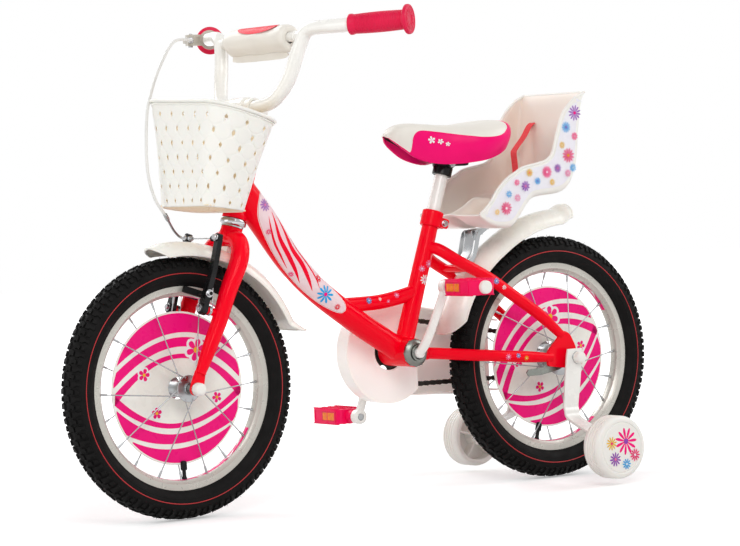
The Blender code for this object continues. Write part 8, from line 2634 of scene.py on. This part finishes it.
def make_pedal(label, side, pedal):
    """A ribbed block on its sleeve, with a row of bumps, lenses at both ends and a cap."""
    body = label + "_pedal"
    centre = pedal + SIDE * (side * (PEDAL_START + 0.039))
    deep, long, high = 0.0245, 0.039, 0.027
    shape = Shape()

    def rib(size, ahead, along, up):
        shape.box(size, Matrix.Translation(centre + Vector((ahead, along, up))))

    outline = rounded([(-deep + 0.006, -long), (deep - 0.006, -long), (deep, -long + 0.008),
                       (deep, long - 0.008), (deep - 0.006, long), (-deep + 0.006, long),
                       (-deep, long - 0.008), (-deep, -long + 0.008)], 0.003)
    windows = []
    for ahead in (1, -1):
        near, far = ahead * 0.0105, ahead * (deep - 0.0055)
        window = [(near, -long + 0.007), (far, -long + 0.007), (far, long - 0.007),
                  (near, long - 0.007)]
        windows.append(rounded(window, 0.002))
    shape.plate([outline] + windows, high - 0.0032, Matrix.Translation(centre))
    for up in (1, -1):
        for ahead in (1, -1):
            for y in spaced(long - 0.0065, 13):
                rib((0.0046, 0.0032, 0.0016), ahead * (deep - 0.0032), y, up * (high / 2 - 0.0008))
            for y in spaced(long - 0.010, 9):
                rib((0.0060, 0.0022, 0.0014), ahead * 0.0060, y, up * (high / 2 - 0.0009))
        for y in spaced(long - 0.014, 5):
            rib((0.0400, 0.0022, 0.0030), 0, y, up * (high / 2 - 0.0036))
    for ahead in (1, -1):
        for up in (1, -1):
            rib((0.0024, 2 * long - 0.0180, 0.0016), ahead * (deep - 0.0006), 0, up * 0.0092)
        for out in (-0.0285, -0.0075, 0.0285):
            rib((0.0026, 0.0020, 0.0180), ahead * (deep - 0.0004), side * out, 0)
    shape.ring([(0.0066, 0.0), (0.0098, 0.0), (0.0105, 0.0008), (0.0105, 0.0150),
                (0.0066, 0.0150)], pedal + SIDE * (side * 0.085), SIDE * side, 40)
    for k in range(3):
        shape.lathe([(0.0105, 0.0), (0.0110, 0.0003), (0.0110, 0.0013), (0.0105, 0.0016)],
                    pedal + SIDE * (side * (0.0865 + 0.0036 * k)), SIDE * side, 40)
    piece("pedal_body_" + label, shape, "tread", body, ("pedal_" + label,), bevel=0.0006, angle=45)
    lens = Shape()
    for ahead in (1, -1):
        spot = centre + Vector((ahead * (deep - 0.0004), side * -0.0115, 0))
        lens.box((0.0022, 0.0330, 0.0122), Matrix.Translation(spot))
        lens.box((0.0016, 0.0400, 0.0180), Matrix.Translation(spot), 1)
        for i in range(10):
            for j in range(4):
                place = spot + Vector((ahead * 0.0011, (i - 4.5) * 0.0032, (j - 1.5) * 0.0029))
                lens.lathe([(0.0, 0.0008), (0.0014, 0.0)], place, Vector((ahead, 0, 0)), 6)
    # The amber lenses glow faintly: painted reflected light
    piece("pedal_lens_" + label, lens, ["amber", "pink"], body, bevel=0.0003)
    caps = Shape()
    caps.lathe([(0.0106, 0.0), (0.0106, 0.0070), (0.0102, 0.0095), (0.0090, 0.0108),
                (0.0060, 0.0113), (0.0, 0.0114)],
               pedal + SIDE * (side * (PEDAL_START + 0.0755)), SIDE * side, 48)
    piece("pedal_cap_" + label, caps, "plastic", body, angle=50)


make_pedal("left", 1, LEFT_PEDAL)
make_pedal("right", -1, RIGHT_PEDAL)


# Trainer wheels, their brackets, spacers and axles
TRAINER_X = REAR_X + 0.024
TRAINER_Z = 0.0615
TRAINER_IN = 0.170
BRACKET_Y = 0.0700
TRAINER_FLOWERS = ((-0.0090, 0.0095, 0.0225, 0.25, "d_pink", "d_purple", 11),
                   (0.0215, 0.0080, 0.0112, 0.1, "d_yellow", "d_pink", 11),
                   (0.0150, -0.0180, 0.0118, 0.5, "d_purple", "d_rose", 11),
                   (-0.0085, -0.0275, 0.0090, 0.0, "d_blue", "white", 10),
                   (-0.0265, -0.0140, 0.0104, 0.3, "d_magenta", "white", 11))


# Across half of the bracket's strip and back, as shares of its half width and of its thickness
STRIP_EDGE = ((-1.0, 0.15), (-0.93, 0.5), (-0.80, 0.5), (-0.62, 0.28), (0.62, 0.28), (0.80, 0.5),
              (0.93, 0.5), (1.0, 0.15), (1.0, -0.35), (0.95, -0.5), (-0.95, -0.5), (-1.0, -0.35))


def make_bracket(label, side):
    """The pressed bracket that carries a trainer wheel, and the wheel's bolt."""
    y0, t, top = BRACKET_Y, 0.005, 0.218
    foot = TRAINER_IN - 0.004
    middle = [(y0 + t / 2, top), (y0 + t / 2, top * 0.70), (y0 + t / 2, top * 0.575),
              (y0 + t * 1.1, top * 0.535), (y0 + t * 3.4, top * 0.468),
              (foot - t * 1.9, top * 0.352), (foot - t * 0.9, top * 0.335),
              (foot - t / 2, top * 0.305), (foot - t / 2, top * 0.220)]
    rows = smooth_route([(0, side * a, b) for a, b in middle], 6)
    rings = []
    for i, p in enumerate(rows):
        run = heading(rows, i)
        normal = Vector((0, run.z, -run.y))
        lean = min(1.0, max(0.0, top - p[2]) / (top - TRAINER_Z))
        half = 0.018 * (1.0 - 0.25 * lean)
        if i < 5:
            half *= 0.86 + 0.14 * (i / 5) ** 0.5
        if i > len(rows) - 6:
            half *= 0.80 + 0.20 * ((len(rows) - 1 - i) / 5) ** 0.5
        centre = Vector((REAR_X + (TRAINER_X - REAR_X) * (0.15 + 0.85 * lean), p[1], p[2]))
        rings.append([centre + Vector((a * half, 0, 0)) + normal * (b * t * side)
                      for a, b in STRIP_EDGE])
    bar = Shape()
    bar.loft(rings)
    piece("trainer_bar_" + label, bar, "cream", "frame_assembly",
          ("trainer_bracket_" + label,), bevel=0.0004, angle=40)
    bolt = Shape()
    head = hexagon(0.0075)
    hub = Vector((TRAINER_X, side * (foot - t), TRAINER_Z))
    bolt.rod(hub, Vector((TRAINER_X, side * 0.2005, TRAINER_Z)), 0.0046, 24)
    bolt.plate([head], 0.0050, aim_matrix(hub - SIDE * (side * 0.0026), SIDE * side))
    bolt.lathe([(0.0, 0.0034), (0.0046, 0.0032), (0.0068, 0.0016), (0.0072, 0.0)],
               Vector((REAR_X + 0.004, side * (y0 + t), top - 0.014)), SIDE * side, 28)
    piece("trainer_bolt_" + label, bolt, "steel", "frame_assembly", bevel=0.0004)


def make_trainer(label, side):
    """A trainer wheel: its profile turned round the axle, five ribs and a printed face."""
    wheel = Shape()
    r, w = 0.0515, 0.040
    profile = [(0.0, w - 0.0004), (0.0395, w - 0.0004), (0.0402, w - 0.0012),
               (0.0412, w - 0.0012), (0.0420, w - 0.0002), (0.0430, w), (r - 0.0060, w - 0.0004),
               (r - 0.0034, w - 0.0014), (r - 0.0014, w - 0.0034), (r - 0.0002, w - 0.0065)]
    for k in range(4):
        y = w * (0.76 - 0.155 * k)
        profile += [(r, y + 0.0024), (r, y + 0.0013), (r - 0.0014, y + 0.0006),
                    (r - 0.0014, y - 0.0006), (r, y - 0.0013)]
    profile += [(r, w * 0.20), (r - 0.0008, 0.0050), (r - 0.0030, 0.0010), (r - 0.0045, 0.0),
                (r - 0.0090, 0.0), (r - 0.0105, 0.0010), (r - 0.0120, w * 0.45),
                (0.0165, w * 0.45), (0.0150, 0.006), (0.0120, -0.0014), (0.0110, -0.0020),
                (0.0056, -0.0020), (0.0056, w - 0.0072), (0.0, w - 0.0072)]
    centre = Vector((TRAINER_X, side * TRAINER_IN, TRAINER_Z))
    wheel.lathe(profile, centre, SIDE * side, 96)
    hub = aim_matrix(centre + SIDE * (side * 0.0095), SIDE * side)
    for a in around(5):
        turn = Matrix.Rotation(a + 0.3, 4, "Z") @ Matrix.Translation((0.0275, 0, 0))
        wheel.box((0.0260, 0.0032, 0.0170), hub @ turn)
    body = label + "_trainer"
    piece("trainer_body_" + label, wheel, "plastic", body, ("trainer_wheel_" + label,), angle=38)

    def face(u, v, lift):
        return centre + Vector((u, side * (w - 0.0004 + lift), v))

    sticker("trainer_print_" + label, bunch(TRAINER_FLOWERS), face, body, grid=0.005)


for side, label in ((1, "left"), (-1, "right")):
    make_bracket(label, side)
    make_trainer(label, side)
finish_nodes(["coaster_arm", "front_axle", "rear_axle", "rear_spacer_left", "rear_spacer_right"],
             "dull_steel")
